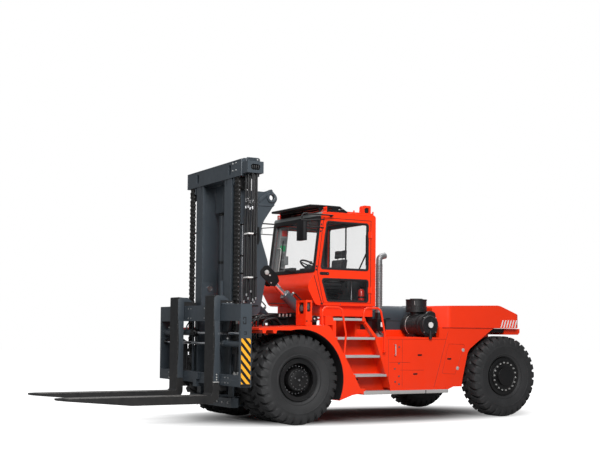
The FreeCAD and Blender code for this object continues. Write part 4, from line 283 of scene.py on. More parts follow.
class Shape:
    """Solid forms gathered into one mesh."""

    def __init__(self):
        self.mesh = bmesh.new()

    def take(self, form, bevel=0.0, segments=2):
        """Rounds a form's sharp edges and adds it to the mesh."""
        if bevel:
            sharp = [edge for edge in form.edges
                     if len(edge.link_faces) == 2 and edge.calc_face_angle(0) > math.radians(28)]
            bmesh.ops.bevel(form, geom=sharp, offset=bevel, segments=segments, profile=0.7,
                            affect="EDGES", clamp_overlap=True)
        held = bpy.data.meshes.new("held")
        form.to_mesh(held)
        form.free()
        self.mesh.from_mesh(held)
        bpy.data.meshes.remove(held)
        return self

    def block(self, low, high, bevel=0.003, turn=None):
        """A box between two corners, turned about its middle by a rotation matrix."""
        low, high = Vector(low), Vector(high)
        form = bmesh.new()
        bmesh.ops.create_cube(form, size=1.0)
        size = high - low
        matrix = Matrix.Translation((low + high) / 2) @ (turn or Matrix()) @ Matrix.Diagonal(
            (abs(size.x), abs(size.y), abs(size.z), 1))
        form.transform(matrix)
        return self.take(form, bevel)

    def rod(self, start, end, radius, sides=24, bevel=0.0, end_radius=None):
        """A round or, with few sides, a nut-shaped bar between two points."""
        start, end = Vector(start), Vector(end)
        run = end - start
        form = bmesh.new()
        bmesh.ops.create_cone(form, cap_ends=True, segments=sides, radius1=radius,
                              radius2=radius if end_radius is None else end_radius, depth=run.length)
        form.transform(Matrix.Translation((start + end) / 2) @
                       run.to_track_quat("Z", "Y").to_matrix().to_4x4())
        return self.take(form, bevel)

    def ball(self, centre, radius):
        """A round knob or dome."""
        form = bmesh.new()
        bmesh.ops.create_uvsphere(form, u_segments=20, v_segments=12, radius=radius)
        form.transform(Matrix.Translation(Vector(centre)))
        return self.take(form)

    def prism(self, outline, axis, low, high, bevel=0.003, segments=2):
        """An outline drawn on the other two axes, straight along one from low to high."""
        form = bmesh.new()
        rings = [[form.verts.new(placed(axis, along, u, v)) for u, v in outline] for along in (low, high)]
        form.faces.new(rings[0])
        form.faces.new(rings[1])
        for i in range(len(outline)):
            k = (i + 1) % len(outline)
            form.faces.new((rings[0][i], rings[0][k], rings[1][k], rings[1][i]))
        bmesh.ops.recalc_face_normals(form, faces=form.faces)
        return self.take(form, bevel, segments)

    def lathe(self, outline, centre, axis="y", steps=64):
        """A closed outline of (radius, along) turned about an axis through the centre."""
        form = bmesh.new()
        rings = []
        for i in range(steps):
            turn = math.tau * i / steps
            rings.append([form.verts.new((radius * math.cos(turn), radius * math.sin(turn), along))
                          for radius, along in outline])
        for i in range(steps):
            here, there = rings[i], rings[(i + 1) % steps]
            for k in range(len(outline)):
                m = (k + 1) % len(outline)
                form.faces.new((here[k], there[k], there[m], here[m]))
        bmesh.ops.remove_doubles(form, verts=form.verts, dist=1e-6)
        bmesh.ops.dissolve_degenerate(form, edges=form.edges, dist=1e-6)
        bmesh.ops.recalc_face_normals(form, faces=form.faces)
        turned = {"x": Matrix.Rotation(math.pi / 2, 4, "Y"), "y": Matrix.Rotation(-math.pi / 2, 4, "X"),
                  "z": Matrix()}[axis]
        form.transform(Matrix.Translation(Vector(centre)) @ turned)
        return self.take(form)

    def tube(self, points, radius, sides=10, smooth=True):
        """A round hose or pipe through points."""
        path = curve_through(points, 6) if smooth else [Vector(point) for point in points]
        form = bmesh.new()
        rings = []
        across = (path[1] - path[0]).orthogonal().normalized()
        for i, here in enumerate(path):
            ahead = (path[min(i + 1, len(path) - 1)] - path[max(i - 1, 0)]).normalized()
            across = (across - ahead * across.dot(ahead)).normalized()
            up = ahead.cross(across)
            rings.append([form.verts.new(here + (across * math.cos(math.tau * k / sides) +
                                                 up * math.sin(math.tau * k / sides)) * radius)
                          for k in range(sides)])
        for here, there in zip(rings, rings[1:]):
            for k in range(sides):
                m = (k + 1) % sides
                form.faces.new((here[k], here[m], there[m], there[k]))
        form.faces.new(rings[0])
        form.faces.new(rings[-1])
        bmesh.ops.recalc_face_normals(form, faces=form.faces)
        return self.take(form)

    def nuts(self, centre, ring_radius, count, axis, size, height, start=0.0, sides=6):
        """A ring of bolt heads that stand up along an axis from a face."""
        facing = AXES[axis]
        first = facing.orthogonal().normalized() * ring_radius
        for i in range(count):
            foot = Vector(centre) + Matrix.Rotation(math.tau * i / count + start, 3, facing) @ first
            self.rod(foot, foot + facing * height, size, sides, bevel=size * 0.12)
        return self

    def band(self, outer, inner, axis, low, high, bevel=0.0):
        """A frame between two outlines that have as many points as each other."""
        form = bmesh.new()
        rings = [[form.verts.new(placed(axis, along, u, v)) for u, v in outline]
                 for outline, along in ((outer, low), (outer, high), (inner, high), (inner, low))]
        for i in range(4):
            here, there = rings[i], rings[(i + 1) % 4]
            for k in range(len(here)):
                m = (k + 1) % len(here)
                form.faces.new((here[k], here[m], there[m], there[k]))
        bmesh.ops.recalc_face_normals(form, faces=form.faces)
        return self.take(form, bevel)

    def screws(self, spots, axis, size, height):
        """Bolt heads that stand up along an axis at each spot."""
        facing = AXES[axis]
        for spot in spots:
            foot = Vector(spot)
            self.rod(foot - facing * 0.001, foot + facing * height, size, 6, bevel=size * 0.12)
        return self

    def leaned(self, share, level):
        """Shears the forms forward by a share of their height above a level."""
        for vert in self.mesh.verts:
            vert.co.x += share * (vert.co.z - level)
        return self

    def mirror(self):
        """Adds the same forms on the other side of the middle plane."""
        geometry = self.mesh.verts[:] + self.mesh.edges[:] + self.mesh.faces[:]
        copied = bmesh.ops.duplicate(self.mesh, geom=geometry)["geom"]
        verts = [part for part in copied if isinstance(part, bmesh.types.BMVert)]
        faces = [part for part in copied if isinstance(part, bmesh.types.BMFace)]
        for vert in verts:
            vert.co.y = -vert.co.y
        bmesh.ops.reverse_faces(self.mesh, faces=faces)
        return self

    def flipped(self, side):
        """Moves the forms to the left (1) or the right (-1) side."""
        if side < 0:
            for vert in self.mesh.verts:
                vert.co.y = -vert.co.y
            bmesh.ops.reverse_faces(self.mesh, faces=self.mesh.faces)
        return self

    def piece(self, name, body, finish, slot, replaces=(), smooth=40):
        """Turns the gathered forms into a piece that rides on a body."""
        data = bpy.data.meshes.new(name)
        self.mesh.to_mesh(data)
        self.mesh.free()
        data.polygons.foreach_set("use_smooth", [True] * len(data.polygons))
        data.set_sharp_from_angle(angle=math.radians(smooth))
        data.materials.append(FINISHES[finish])
        thing = bpy.data.objects.new(name, data)
        scene.collection.objects.link(thing)
        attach(thing, body)
        if replaces:
            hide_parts(*replaces)
        return thing


def curve_through(points, steps):
    """Evenly smooth points along a curve that passes through the given ones."""
    spots = [Vector(point) for point in points]
    spots = [spots[0] * 2 - spots[1]] + spots + [spots[-1] * 2 - spots[-2]]
    path = []
    for before, here, there, after in zip(spots, spots[1:], spots[2:], spots[3:]):
        for i in range(steps):
            t = i / steps
            path.append(0.5 *
                        (2 * here + (there - before) * t + (2 * before - 5 * here + 4 * there - after) * t * t
                               + (3 * here - before - 3 * there + after) * t ** 3))
    return path + [spots[-2]]


def arc(centre, radius, start, end, steps):
    """Points along an arc, with its angles in degrees."""
    return [(centre[0] + radius * math.cos(math.radians(start + (end - start) * i / steps)),
             centre[1] + radius * math.sin(math.radians(start + (end - start) * i / steps)))
            for i in range(steps + 1)]


def rounded(low, high, radius):
    """A rectangle's outline with round corners."""
    (u0, v0), (u1, v1) = low, high
    return (arc((u1 - radius, v1 - radius), radius, 0, 90, 5) +
            arc((u0 + radius, v1 - radius), radius, 90, 180, 5) +
            arc((u0 + radius, v0 + radius), radius, 180, 270, 5) +
            arc((u1 - radius, v0 + radius), radius, 270, 360, 5))


def drawn_in(corners, amount):
    """A convex outline's corners, moved in from every edge by an amount, or out if it is negative."""
    spots = [Vector((corner[0], corner[1])) for corner in corners]
    turn = sum(before.x * here.y - here.x * before.y
               for before, here in zip(spots, spots[1:] + spots[:1]))
    hand = 1 if turn > 0 else -1
    moved = []
    for i, here in enumerate(spots):
        back = (here - spots[i - 1]).normalized()
        ahead = (spots[(i + 1) % len(spots)] - here).normalized()
        in_back = Vector((-back.y, back.x)) * hand
        in_ahead = Vector((-ahead.y, ahead.x)) * hand
        moved.append(tuple(here + (in_back + in_ahead) * (amount / (1 + in_back.dot(in_ahead)))))
    return moved


def softened(corners, radius, steps=5):
    """An outline whose corners are rounded by tangent arcs."""
    spots = [Vector((corner[0], corner[1])) for corner in corners]
    points = []
    for i, here in enumerate(spots):
        back = (spots[i - 1] - here).normalized()
        ahead = (spots[(i + 1) % len(spots)] - here).normalized()
        half = back.angle(ahead) / 2
        reach = radius / math.tan(half)
        centre = here + (back + ahead).normalized() * (radius / math.sin(half))
        start, end = here + back * reach - centre, here + ahead * reach - centre
        sweep = start.angle_signed(end)
        for k in range(steps + 1):
            turned = Matrix.Rotation(-sweep * k / steps, 2) @ start
            points.append(tuple(centre + turned))
    return points


# Wheels --------------------------------------------------------------------------------------

TYRE = Box("left_outer_tyre")
TYRE_HALF = TYRE.size.y / 2
BEAD_REACH = 0.19
LUGS = 30
# From the bead to the middle of the tread: the carcass (radius, reach from the tyre's middle),
# how far a lug stands off it in radius and reach, and how far the lug has swung round by then.
TREAD = ((0.650, 0.2475, 0.000, 0.000, 0.00), (0.668, 0.2440, 0.000, 0.006, 0.00),
         (0.705, 0.2300, 0.006, 0.018, 0.01), (0.738, 0.2140, 0.012, 0.032, 0.03),
         (0.752, 0.1960, 0.032, 0.036, 0.08), (0.757, 0.1700, 0.046, 0.020, 0.16),
         (0.760, 0.1300, 0.0475, 0.004, 0.26), (0.762, 0.0850, 0.0455, 0.0, 0.38),
         (0.768, 0.0500, 0.0395, 0.0, 0.46), (0.800, 0.0300, 0.0075, 0.0, 0.50),
         (0.8055, 0.0000, 0.0020, 0.0, 0.50))
SIDEWALL = ((0.383, 0.158), (0.392, 0.178), (0.415, 0.196), (0.437, 0.206), (0.441, 0.214),
            (0.449, 0.214), (0.455, 0.212), (0.500, 0.2280), (0.560, 0.2410), (0.592, 0.2455),
            (0.596, 0.2495), (0.606, 0.2495), (0.611, 0.2475))
# Across one lug's share of the turn: where it is, and whether that is the groove or the lug.
LUG_STEPS = ((0.00, 0), (0.15, 0), (0.20, 1), (0.50, 1), (0.80, 1), (0.85, 0))


def tyre(name, centre, body, node):
    """A bias tyre with deep staggered lugs that wrap over both shoulders."""
    shape = Shape()
    side = 1 if centre.y > 0 else -1
    for hand in (1, -1):
        stagger = 0.25 * hand * side
        form = bmesh.new()
        rings = []
        for i in range(LUGS):
            for share, raised in LUG_STEPS:
                ring = [(radius, reach, 0.0) for radius, reach in SIDEWALL]
                ring += [(radius + out * raised, reach + wide * raised * 0.55, swing)
                         for radius, reach, out, wide, swing in TREAD]
                rings.append([form.verts.new((
                    radius * math.cos(math.tau * (i + share + stagger + swing) / LUGS),
                    hand * reach, radius * math.sin(math.tau * (i + share + stagger + swing) / LUGS)))
                    for radius, reach, swing in ring])
        for here, there in zip(rings, rings[1:] + rings[:1]):
            for k in range(len(here) - 1):
                form.faces.new((here[k], here[k + 1], there[k + 1], there[k]))
        bmesh.ops.recalc_face_normals(form, faces=form.faces)
        form.transform(Matrix.Translation(Vector(centre)))
        shape.take(form)
    shape.lathe(((0.383, -0.158), (0.383, 0.158), (0.41, 0.158), (0.41, -0.158)), centre)
    return shape.piece(name, body, "tyre", "tyre_rubber", (node,), smooth=32)


def wheels():
    """All six tyres, and what shows of the four wheels in them."""
    for side, hand in SIDES:
        for kind, body in (("outer", "drive"), ("inner", "drive"), ("steer", "steer")):
            node = f"{side}_{kind}_tyre"
            tyre(f"{side}_{kind}_lug_tyre", Box(node).mid, f"{side}_{body}_wheel", node)
        drive_trim(side, hand)
        steer_trim(side, hand)


def rim_edge(shape, middle, edge, dish, lift, root):
    """The rim's rolled lip and the lock ring inside it."""
    shape.lathe(((0.381, edge - 0.024), (0.3815, edge - 0.004), (0.376, edge + 0.006), (0.366, edge + 0.006),
                 (0.358, edge - 0.004), (0.352, edge - 0.02), (0.334, edge - dish), (0.318, edge - dish),
                 (0.318, edge - 0.045), (0.38, edge - 0.045)), middle, steps=96)
    edge += lift
    shape.lathe(((0.330, edge - 0.030), (0.330, edge - 0.012), (0.322, edge - 0.008), (0.312, edge - 0.012),
                 (0.306, edge - 0.034), (0.318, edge - root)), middle, steps=96)


def drive_trim(side, hand):
    """What shows in the deep dish of a front wheel."""
    body = side + "_drive_wheel"
    middle = Vector((AXLE.x, 0, AXLE.z))
    shape = Shape()
    rim_edge(shape, middle, Box(side + "_outer_tyre").reach - TYRE_HALF + BEAD_REACH, 0.030, 0.0, 0.045)
    face = Box(side + "_drive_rims").reach - 0.150
    shape.lathe(((0.296, face - 0.004), (0.296, face + 0.016), (0.285, face + 0.02), (0.272, face + 0.008),
                 (0.262, face - 0.004)), middle, steps=72)
    shape.lathe(((0.216, face), (0.2175, face + 0.112), (0.205, face + 0.138), (0.190, face + 0.150),
                 (0.150, face + 0.152), (0.140, face + 0.158), (0.062, face + 0.160), (0.058, face + 0.150),
                 (0.0, face + 0.150), (0.0, face)), middle, steps=72)
    shape.flipped(hand).piece(side + "_drive_hub_trim", body, "black", "painted_black", smooth=30)
    bolts = Shape()
    bolts.nuts(middle + Vector((0, face + 0.004, 0)), 0.248, 24, "y", 0.0135, 0.026)
    bolts.flipped(hand).piece(side + "_drive_wheel_nuts", body, "steel", "painted_black")
    caps = Shape()
    caps.nuts(middle + Vector((0, face + 0.150, 0)), 0.166, 16, "y", 0.010, 0.010)
    caps.nuts(middle + Vector((0, face + 0.156, 0)), 0.090, 3, "y", 0.014, 0.016, start=0.4)
    caps.rod(middle + Vector((0, face + 0.148, 0)), middle + Vector((0, face + 0.166, 0)), 0.022, 6, 0.003)
    caps.flipped(hand).piece(side + "_drive_hub_bolts", body, "engine", "painted_black")


def steer_trim(side, hand):
    """The nearly flush disc of a rear wheel, with its nuts and hub cap."""
    body = side + "_steer_wheel"
    middle = Vector((STEER_AXLE.x, 0, STEER_AXLE.z))
    shape = Shape()
    rim_edge(shape, middle, Box(side + "_steer_tyre").reach - TYRE_HALF + BEAD_REACH, 0.024, 0.004, 0.044)
    face = Box(side + "_steer_rim").reach - 0.045
    shape.lathe(((0.300, face - 0.03), (0.300, face + 0.004), (0.292, face + 0.010), (0.262, face + 0.010),
                 (0.254, face + 0.002), (0.240, face - 0.002), (0.240, face - 0.03)), middle, steps=72)
    shape.lathe(((0.181, face), (0.182, face + 0.030), (0.174, face + 0.041), (0.120, face + 0.045),
                 (0.112, face + 0.040), (0.0, face + 0.040), (0.0, face)), middle, steps=72)
    shape.nuts(middle + Vector((0, face + 0.039, 0)), 0.146, 12, "y", 0.009, 0.008)
    shape.flipped(hand).piece(side + "_steer_hub_trim", body, "black", "painted_black", smooth=30)
    bolts = Shape()
    bolts.nuts(middle + Vector((0, face + 0.008, 0)), 0.277, 18, "y", 0.0175, 0.016)
    bolts.nuts(middle + Vector((0, face + 0.020, 0)), 0.277, 18, "y", 0.010, 0.014, sides=12)
    bolts.flipped(hand).piece(side + "_steer_wheel_nuts", body, "bolt", "painted_black")


# Mast ----------------------------------------------------------------------------------------

CHAINS = Box("lift_chains")
CHAIN_WIDTH = 0.14
LINKS = 40
HEAD_FLOOR = CHAINS.hi.z
HEAD_TOP = HEAD_FLOOR + 0.30
HEAD_FRONT = at(0.962)
WING_FACE = 0.900
TILT_PIN = Vector((at(0.285), 0.795, 2.748))
TILT_FOOT = Vector((at(-0.650), 0.795, 1.930))
LIFT_X, LIFT_Y = at(0.588), 0.300


def leaf_chains():
    """Leaf chains of laced plates on pins, in anchors at the foot and over sheaves at the head."""
    front, outside = CHAINS.hi.x, CHAINS.hi.y
    eye = (CHAINS.hi.x - CHAINS.lo.x) / 2
    middle = front - eye
    foot, top = CHAINS.lo.z + eye, CHAINS.hi.z - eye * 0.3
    pitch = (top - foot) / LINKS
    spacing = CHAIN_WIDTH / 8
    links = Shape()
    for i in range(LINKS):
        low, high = foot + pitch * i, foot + pitch * (i + 1)
        plate = arc((middle, high), eye, -35, 215, 6) + [(middle - eye * 0.72, (low + high) / 2)]
        plate += arc((middle, low), eye, 145, 395, 6) + [(middle + eye * 0.72, (low + high) / 2)]
        for k in range(4):
            y = outside - spacing * (2 * k + i % 2 + 0.5)
            links.prism(plate, "y", y - spacing * 0.46, y + spacing * 0.46, bevel=0)
    links.mirror().piece("leaf_chain_plates", "mast_stage", "chain", "chain_steel", ("lift_chains",))
    pins = Shape()
    for i in range(LINKS + 1):
        z = foot + pitch * i
        pins.rod((middle, outside - CHAIN_WIDTH - 0.003, z), (middle, outside + 0.003, z), 0.0125, 12)
    pins.mirror().piece("leaf_chain_pins", "mast_stage", "steel", "chain_steel")
    ends = Shape()
    ends.block((front - eye * 2.1, outside - CHAIN_WIDTH - 0.003, foot - eye),
               (front + 0.003, outside + 0.005, foot + eye * 1.2), 0.01)
    centre = Vector((middle - 0.12, outside - CHAIN_WIDTH / 2, HEAD_FLOOR - 0.115))
    half = CHAIN_WIDTH / 2 - 0.010
    ends.lathe(((0.03, -half), (0.03, half), (0.118, half), (0.118, half - 0.012), (0.098, half - 0.014),
                (0.098, 0.014 - half), (0.118, 0.012 - half), (0.118, -half)), centre, steps=48)
    for y in (outside - CHAIN_WIDTH + 0.003, outside + 0.005):
        ends.prism(((centre.x - 0.075, HEAD_FLOOR), (centre.x + 0.075, HEAD_FLOOR),
                    (centre.x + 0.045, centre.z - 0.05),
                    (centre.x - 0.045, centre.z - 0.05)), "y", y - 0.006, y, bevel=0.0015)
    ends.rod(centre - Vector((0, half + 0.012, 0)), centre + Vector((0, half + 0.02, 0)), 0.028, bevel=0.004)
    ends.mirror().piece("chain_sheaves", "mast_stage", "black", "painted_black")


def head_trim():
    """Bolts and weld beads of the crosshead, and painted shade in the backs of its slots."""
    bolts = Shape()
    bolts.screws([(HEAD_FRONT, y, HEAD_TOP - drop) for y in (0.835, 0.965) for drop in (0.050, 0.180)],
                 "x", 0.0125, 0.012)
    bolts.screws([(at(x), y, HEAD_TOP + 0.017) for x in (0.68, 0.88) for y in (0.84, 1.14)], "z", 0.011,
                 0.001)
    bolts.piece("head_bolts", "mast_stage", "bolt", "painted_slate")
    seams = Shape()
    for z in (HEAD_FLOOR + 0.004, HEAD_TOP - 0.004):
        seams.rod((HEAD_FRONT, -1.17, z), (HEAD_FRONT, 1.17, z), 0.006, 8)
    for y in (-1.176, 1.176):
        seams.rod((HEAD_FRONT, y, HEAD_FLOOR), (HEAD_FRONT, y, HEAD_TOP), 0.006, 8)
    for y in (0.56, 0.84, -0.56, -0.84):
        seams.prism(((y - 0.012, HEAD_FLOOR), (y + 0.012, HEAD_FLOOR), (y + 0.012, HEAD_FLOOR - 0.13),
                     (y - 0.004, HEAD_FLOOR - 0.13)), "x", at(0.70), HEAD_FRONT - 0.012)
    seams.prism(rounded((-0.420, 3.920), (-0.060, 4.440), 0.030), "x", at(0.695), at(0.707), 0.002)
    seams.piece("head_weld_beads", "mast_stage", "slate", "painted_slate")
    # Black backs set inside the crosshead's two slots: painted shade in the openings.
    dark = Shape()
    for y in (-0.70, 0.70):
        dark.block((HEAD_FRONT - 0.050, y - 0.047, HEAD_TOP - 0.236),
                   (HEAD_FRONT - 0.046, y + 0.047, HEAD_TOP - 0.055), 0.001)
    dark.piece("head_slot_shade", "mast_stage", "black", "painted_black")


HOSE_FOOT = 2.15
CLAMP_HEIGHTS = (3.40, 2.62)
SECOND_ROW = [(at(0.776 - 0.040 * (i % 2)), 1.262 + 0.030 * i) for i in range(4)]


def stage_hoses():
    """Fittings and clamps on the mast's hoses, and the second row that comes out of the hose box."""
    hoses = Shape()
    for i, (x, y) in enumerate(SECOND_ROW):
        hoses.tube(((x, y, HEAD_FLOOR + 0.05), (x, y, 4.20), (x - 0.005, y - 0.004, 3.80),
                    (x + 0.004, y + 0.004, 3.30),
                    (x, y - 0.004, 2.80), (x, y, HOSE_FOOT + 0.03 * i)), 0.0155, 10)
        top = at(0.73 + 0.04 * i)
        hoses.tube(((top, 1.344, 4.545), (top, 1.382, 4.560), (top, 1.384, 4.610), (top, 1.344, 4.630)),
                   0.015, 10)
    hoses.piece("hose_row", "mast_stage", "hose", "hose_rubber")
    bright = Shape()
    for i in range(4):
        x = at(0.880 - 0.060 * (i % 2))
        y = 1.210 + 0.048 * i
        top = 4.03 - 0.03 * (i % 2)
        bright.rod((x, y, top - 0.055), (x, y, top), 0.0180, 6, bevel=0.002)
        bright.rod((x, y, top - 0.17), (x, y, top - 0.115), 0.0180, 6, bevel=0.002)
        low = 2.18 + 0.06 * i
        bright.rod((x, y - 0.030, low - 0.006), (x, y - 0.030, low + 0.03), 0.0195, 6, bevel=0.002)
    for i, (x, y) in enumerate(SECOND_ROW):
        low = HOSE_FOOT + 0.03 * i
        bright.rod((x, y, low - 0.01), (x, y, low + 0.03), 0.0185, 6, bevel=0.002)
    bright.piece("hose_fittings", "mast_stage", "steel", "painted_slate")
    clamps = Shape()
    for z in CLAMP_HEIGHTS:
        clamps.block((at(0.800), 1.180, z - 0.013), (at(0.902), 1.372, z + 0.013), 0.006)
    clamps.piece("hose_clamps", "mast_stage", "white", "painted_slate")
    ends = Shape()
    for z in CLAMP_HEIGHTS:
        ends.block((at(0.715), 1.235, z - 0.013), (at(0.798), 1.378, z + 0.013), 0.004)
    ends.block((at(0.70), 1.15, HOSE_FOOT - 0.045), (at(0.91), 1.39, HOSE_FOOT - 0.02), 0.004)
    ends.piece("hose_end_plate", "mast_stage", "black", "painted_black")


def rail_trim():
    """The lifting eye, a slot drawn in painted shade, clevis plate, pipes and bolts of each upright."""
    eye = Vector((at(0.200), WING_FACE, 4.130))
    plates = Shape()
    plates.lathe(((0.053, 0.0), (0.053, 0.030), (0.060, 0.034), (0.088, 0.034), (0.095, 0.028),
                  (0.095, 0.0)), eye, steps=48)
    plates.prism(((at(0.455), 4.02), (at(0.455), 4.10), (at(0.240), 4.268), (at(0.205), 4.262),
                  (at(0.200), 4.232), (at(0.225), 4.215)),
                 "y", WING_FACE, WING_FACE + 0.022)
    plates.rod((at(0.222), WING_FACE - 0.055, 4.248), (at(0.222), WING_FACE + 0.035, 4.248), 0.030, 24, 0.004)
    plates.prism(((at(0.47), 3.965), (at(0.16), 3.965), (at(0.13), 4.000), (at(0.47), 4.000)), "y",
                 WING_FACE, WING_FACE + 0.016)
    for z in (1.30, 2.05, 3.05):
        plates.block((at(0.60), WING_FACE, z), (at(0.84), WING_FACE + 0.010, z + 0.05), 0.004)
    plates.mirror().piece("wing_plates", "mast", "slate", "painted_slate")
    dark = Shape()
    # A thin black sheet shaped as a slot on each wing: painted shade in place of the opening.
    dark.prism(((at(0.530), 3.575), (at(0.440), 3.575), (at(0.430), 3.33), (at(0.455), 3.255),
                (at(0.505), 3.255), (at(0.530), 3.33)),
               "y", WING_FACE, WING_FACE + 0.0025, bevel=0)
    tilt = (TILT_FOOT - TILT_PIN).normalized()
    across = Vector((-tilt.z, 0, tilt.x))
    corners = []
    for along, wide in ((-0.115, -0.060), (-0.055, -0.120), (0.190, -0.120), (0.300, -0.060),
                        (0.300, 0.070), (0.240, 0.120),
                        (-0.055, 0.120), (-0.115, 0.060)):
        spot = TILT_PIN + tilt * along + across * wide
        corners.append((spot.x, spot.z))
    dark.prism(softened(corners, 0.018, 3), "y", 0.8795, WING_FACE + 0.020, bevel=0.004)
    dark.prism(softened(corners, 0.018, 3), "y", 0.704, 0.712, bevel=0.003)
    dark.mirror().piece("clevis_plates_and_slot_shade", "mast", "black", "painted_black")
    pins = Shape()
    cap = Vector((TILT_PIN.x, WING_FACE + 0.020, TILT_PIN.z))
    pins.lathe(((0.0, 0.0), (0.0, 0.016), (0.020, 0.017), (0.024, 0.012), (0.040, 0.012), (0.044, 0.008),
                (0.044, 0.0)), cap, steps=40)
    keeper = cap + tilt * 0.075
    pins.rod(keeper, keeper + Vector((0, 0.014, 0)), 0.017, 6, 0.003)
    pins.rod(cap + tilt * 0.19 + across * 0.085, cap + tilt * 0.19 + across * 0.085 + Vector((0, 0.01, 0)),
             0.011, 6, 0.002)
    pins.mirror().piece("clevis_pins", "mast", "bolt", "chrome_rod")
    pipes = Shape()
    for low, high in ((2.50, 2.68), (2.72, 3.00), (3.03, 3.28)):
        pipes.rod((at(0.873), 1.082, low), (at(0.873), 1.082, high), 0.0125, 14)
    pipes.rod((at(0.873), 1.082, 2.08), (at(0.873), 1.082, 3.60), 0.0095, 12)
    pipes.mirror().piece("rail_pipes", "mast", "chrome", "chrome_rod")
    holders = Shape()
    for z in (2.10, 2.70, 3.015, 3.58):
        holders.block((at(0.855), WING_FACE, z - 0.015), (at(0.888), 1.098, z + 0.015), 0.004)
    for z in (0.96, 1.50, 2.20, 2.95, 3.60):
        holders.screws([(at(x), WING_FACE, z) for x in (0.70, 0.80)], "y", 0.014, 0.014)
    holders.mirror().piece("rail_pipe_clips", "mast", "black", "painted_black")


def lift_cylinders():
    """Glands, chromed rods, brackets and the valve block between the uprights."""
    rods = Shape()
    foot = 2.001
    rods.lathe(((0.0635, 0.0), (0.0643, 0.0), (0.0643, HEAD_FLOOR - foot), (0.0635, HEAD_FLOOR - foot)),
               (LIFT_X, LIFT_Y, foot), axis="z", steps=48)
    rods.mirror().piece("lift_rod_chrome", "mast_stage", "chrome", "chrome_rod")
    glands = Shape()
    barrel_top = Box("lift_barrels").hi.z
    glands.lathe(((0.0655, -0.06), (0.0655, 0.004), (0.078, 0.006), (0.094, -0.002), (0.096, -0.05),
                  (0.088, -0.06)),
                 (LIFT_X, LIFT_Y, barrel_top), axis="z", steps=48)
    for z in (0.47, 1.30, 2.00, 2.95):
        glands.lathe(((0.0855, 0.0), (0.0855, 0.05), (0.0935, 0.05), (0.0935, 0.0)), (LIFT_X, LIFT_Y, z),
                     axis="z", steps=40)
    for z in (2.62, 3.88):
        glands.block((at(0.488), LIFT_Y - 0.11, z), (at(0.55), LIFT_Y + 0.11, z + 0.06), 0.006)
    glands.mirror().piece("lift_glands", "mast", "black", "painted_black")
    block = Shape()
    block.block((at(0.50), -0.15, 3.62), (at(0.62), 0.12, 3.80), 0.01)
    block.block((at(0.52), -0.11, 3.80), (at(0.60), -0.02, 3.87), 0.006)
    block.block((at(0.49), -0.19, 3.38), (at(0.53), 0.19, 3.42), 0.004)
    for start, bend, run, end in ((-0.12, -0.14, -0.17, -0.175), (0.08, 0.13, 0.165, 0.17)):
        block.tube(((at(0.56), start, 3.62), (at(0.56), bend, 3.40 if start < 0 else 3.42),
                    (at(0.57), run, 3.20),
                    (at(0.57), end, 2.60), (at(0.57), run, 1.20)), 0.016)
    block.piece("mast_valve_block", "mast", "black", "painted_black")
    bright = Shape()
    bright.rod((at(0.60), -0.05, 3.40), (at(0.60), -0.05, 3.62), 0.020, 16, 0.003)
    bright.rod((at(0.60), 0.03, 3.44), (at(0.60), 0.03, 3.62), 0.013, 12, 0.003)
    for y in (-0.12, 0.08):
        bright.rod((at(0.56), y, 3.57), (at(0.56), y, 3.625), 0.022, 6, 0.003)
    bright.screws([(at(0.62), y, z) for y in (-0.12, 0.09) for z in (3.65, 3.77)], "x", 0.010, 0.010)
    bright.piece("valve_block_fittings", "mast", "bolt", "painted_slate")


def mast_foot():
    """Bearing caps on the axle and bolts of the sill."""
    caps = Shape()
    for low in (0.405, 0.500):
        caps.lathe(((0.232, low), (0.232, low + 0.015), (0.330, low + 0.015), (0.330, low)),
                   (AXLE.x, 0, AXLE.z), steps=56)
    caps.mirror().piece("mast_bearing_caps", "mast", "slate", "painted_slate")
    bolts = Shape()
    bolts.nuts((AXLE.x, 0.515, AXLE.z), 0.285, 10, "y", 0.016, 0.016)
    bolts.screws([(at(0.975), y, 0.375) for y in (0.15, 0.35, 0.55, 0.78)], "x", 0.018, 0.016)
    bolts.mirror().piece("mast_foot_bolts", "mast", "bolt", "painted_slate")


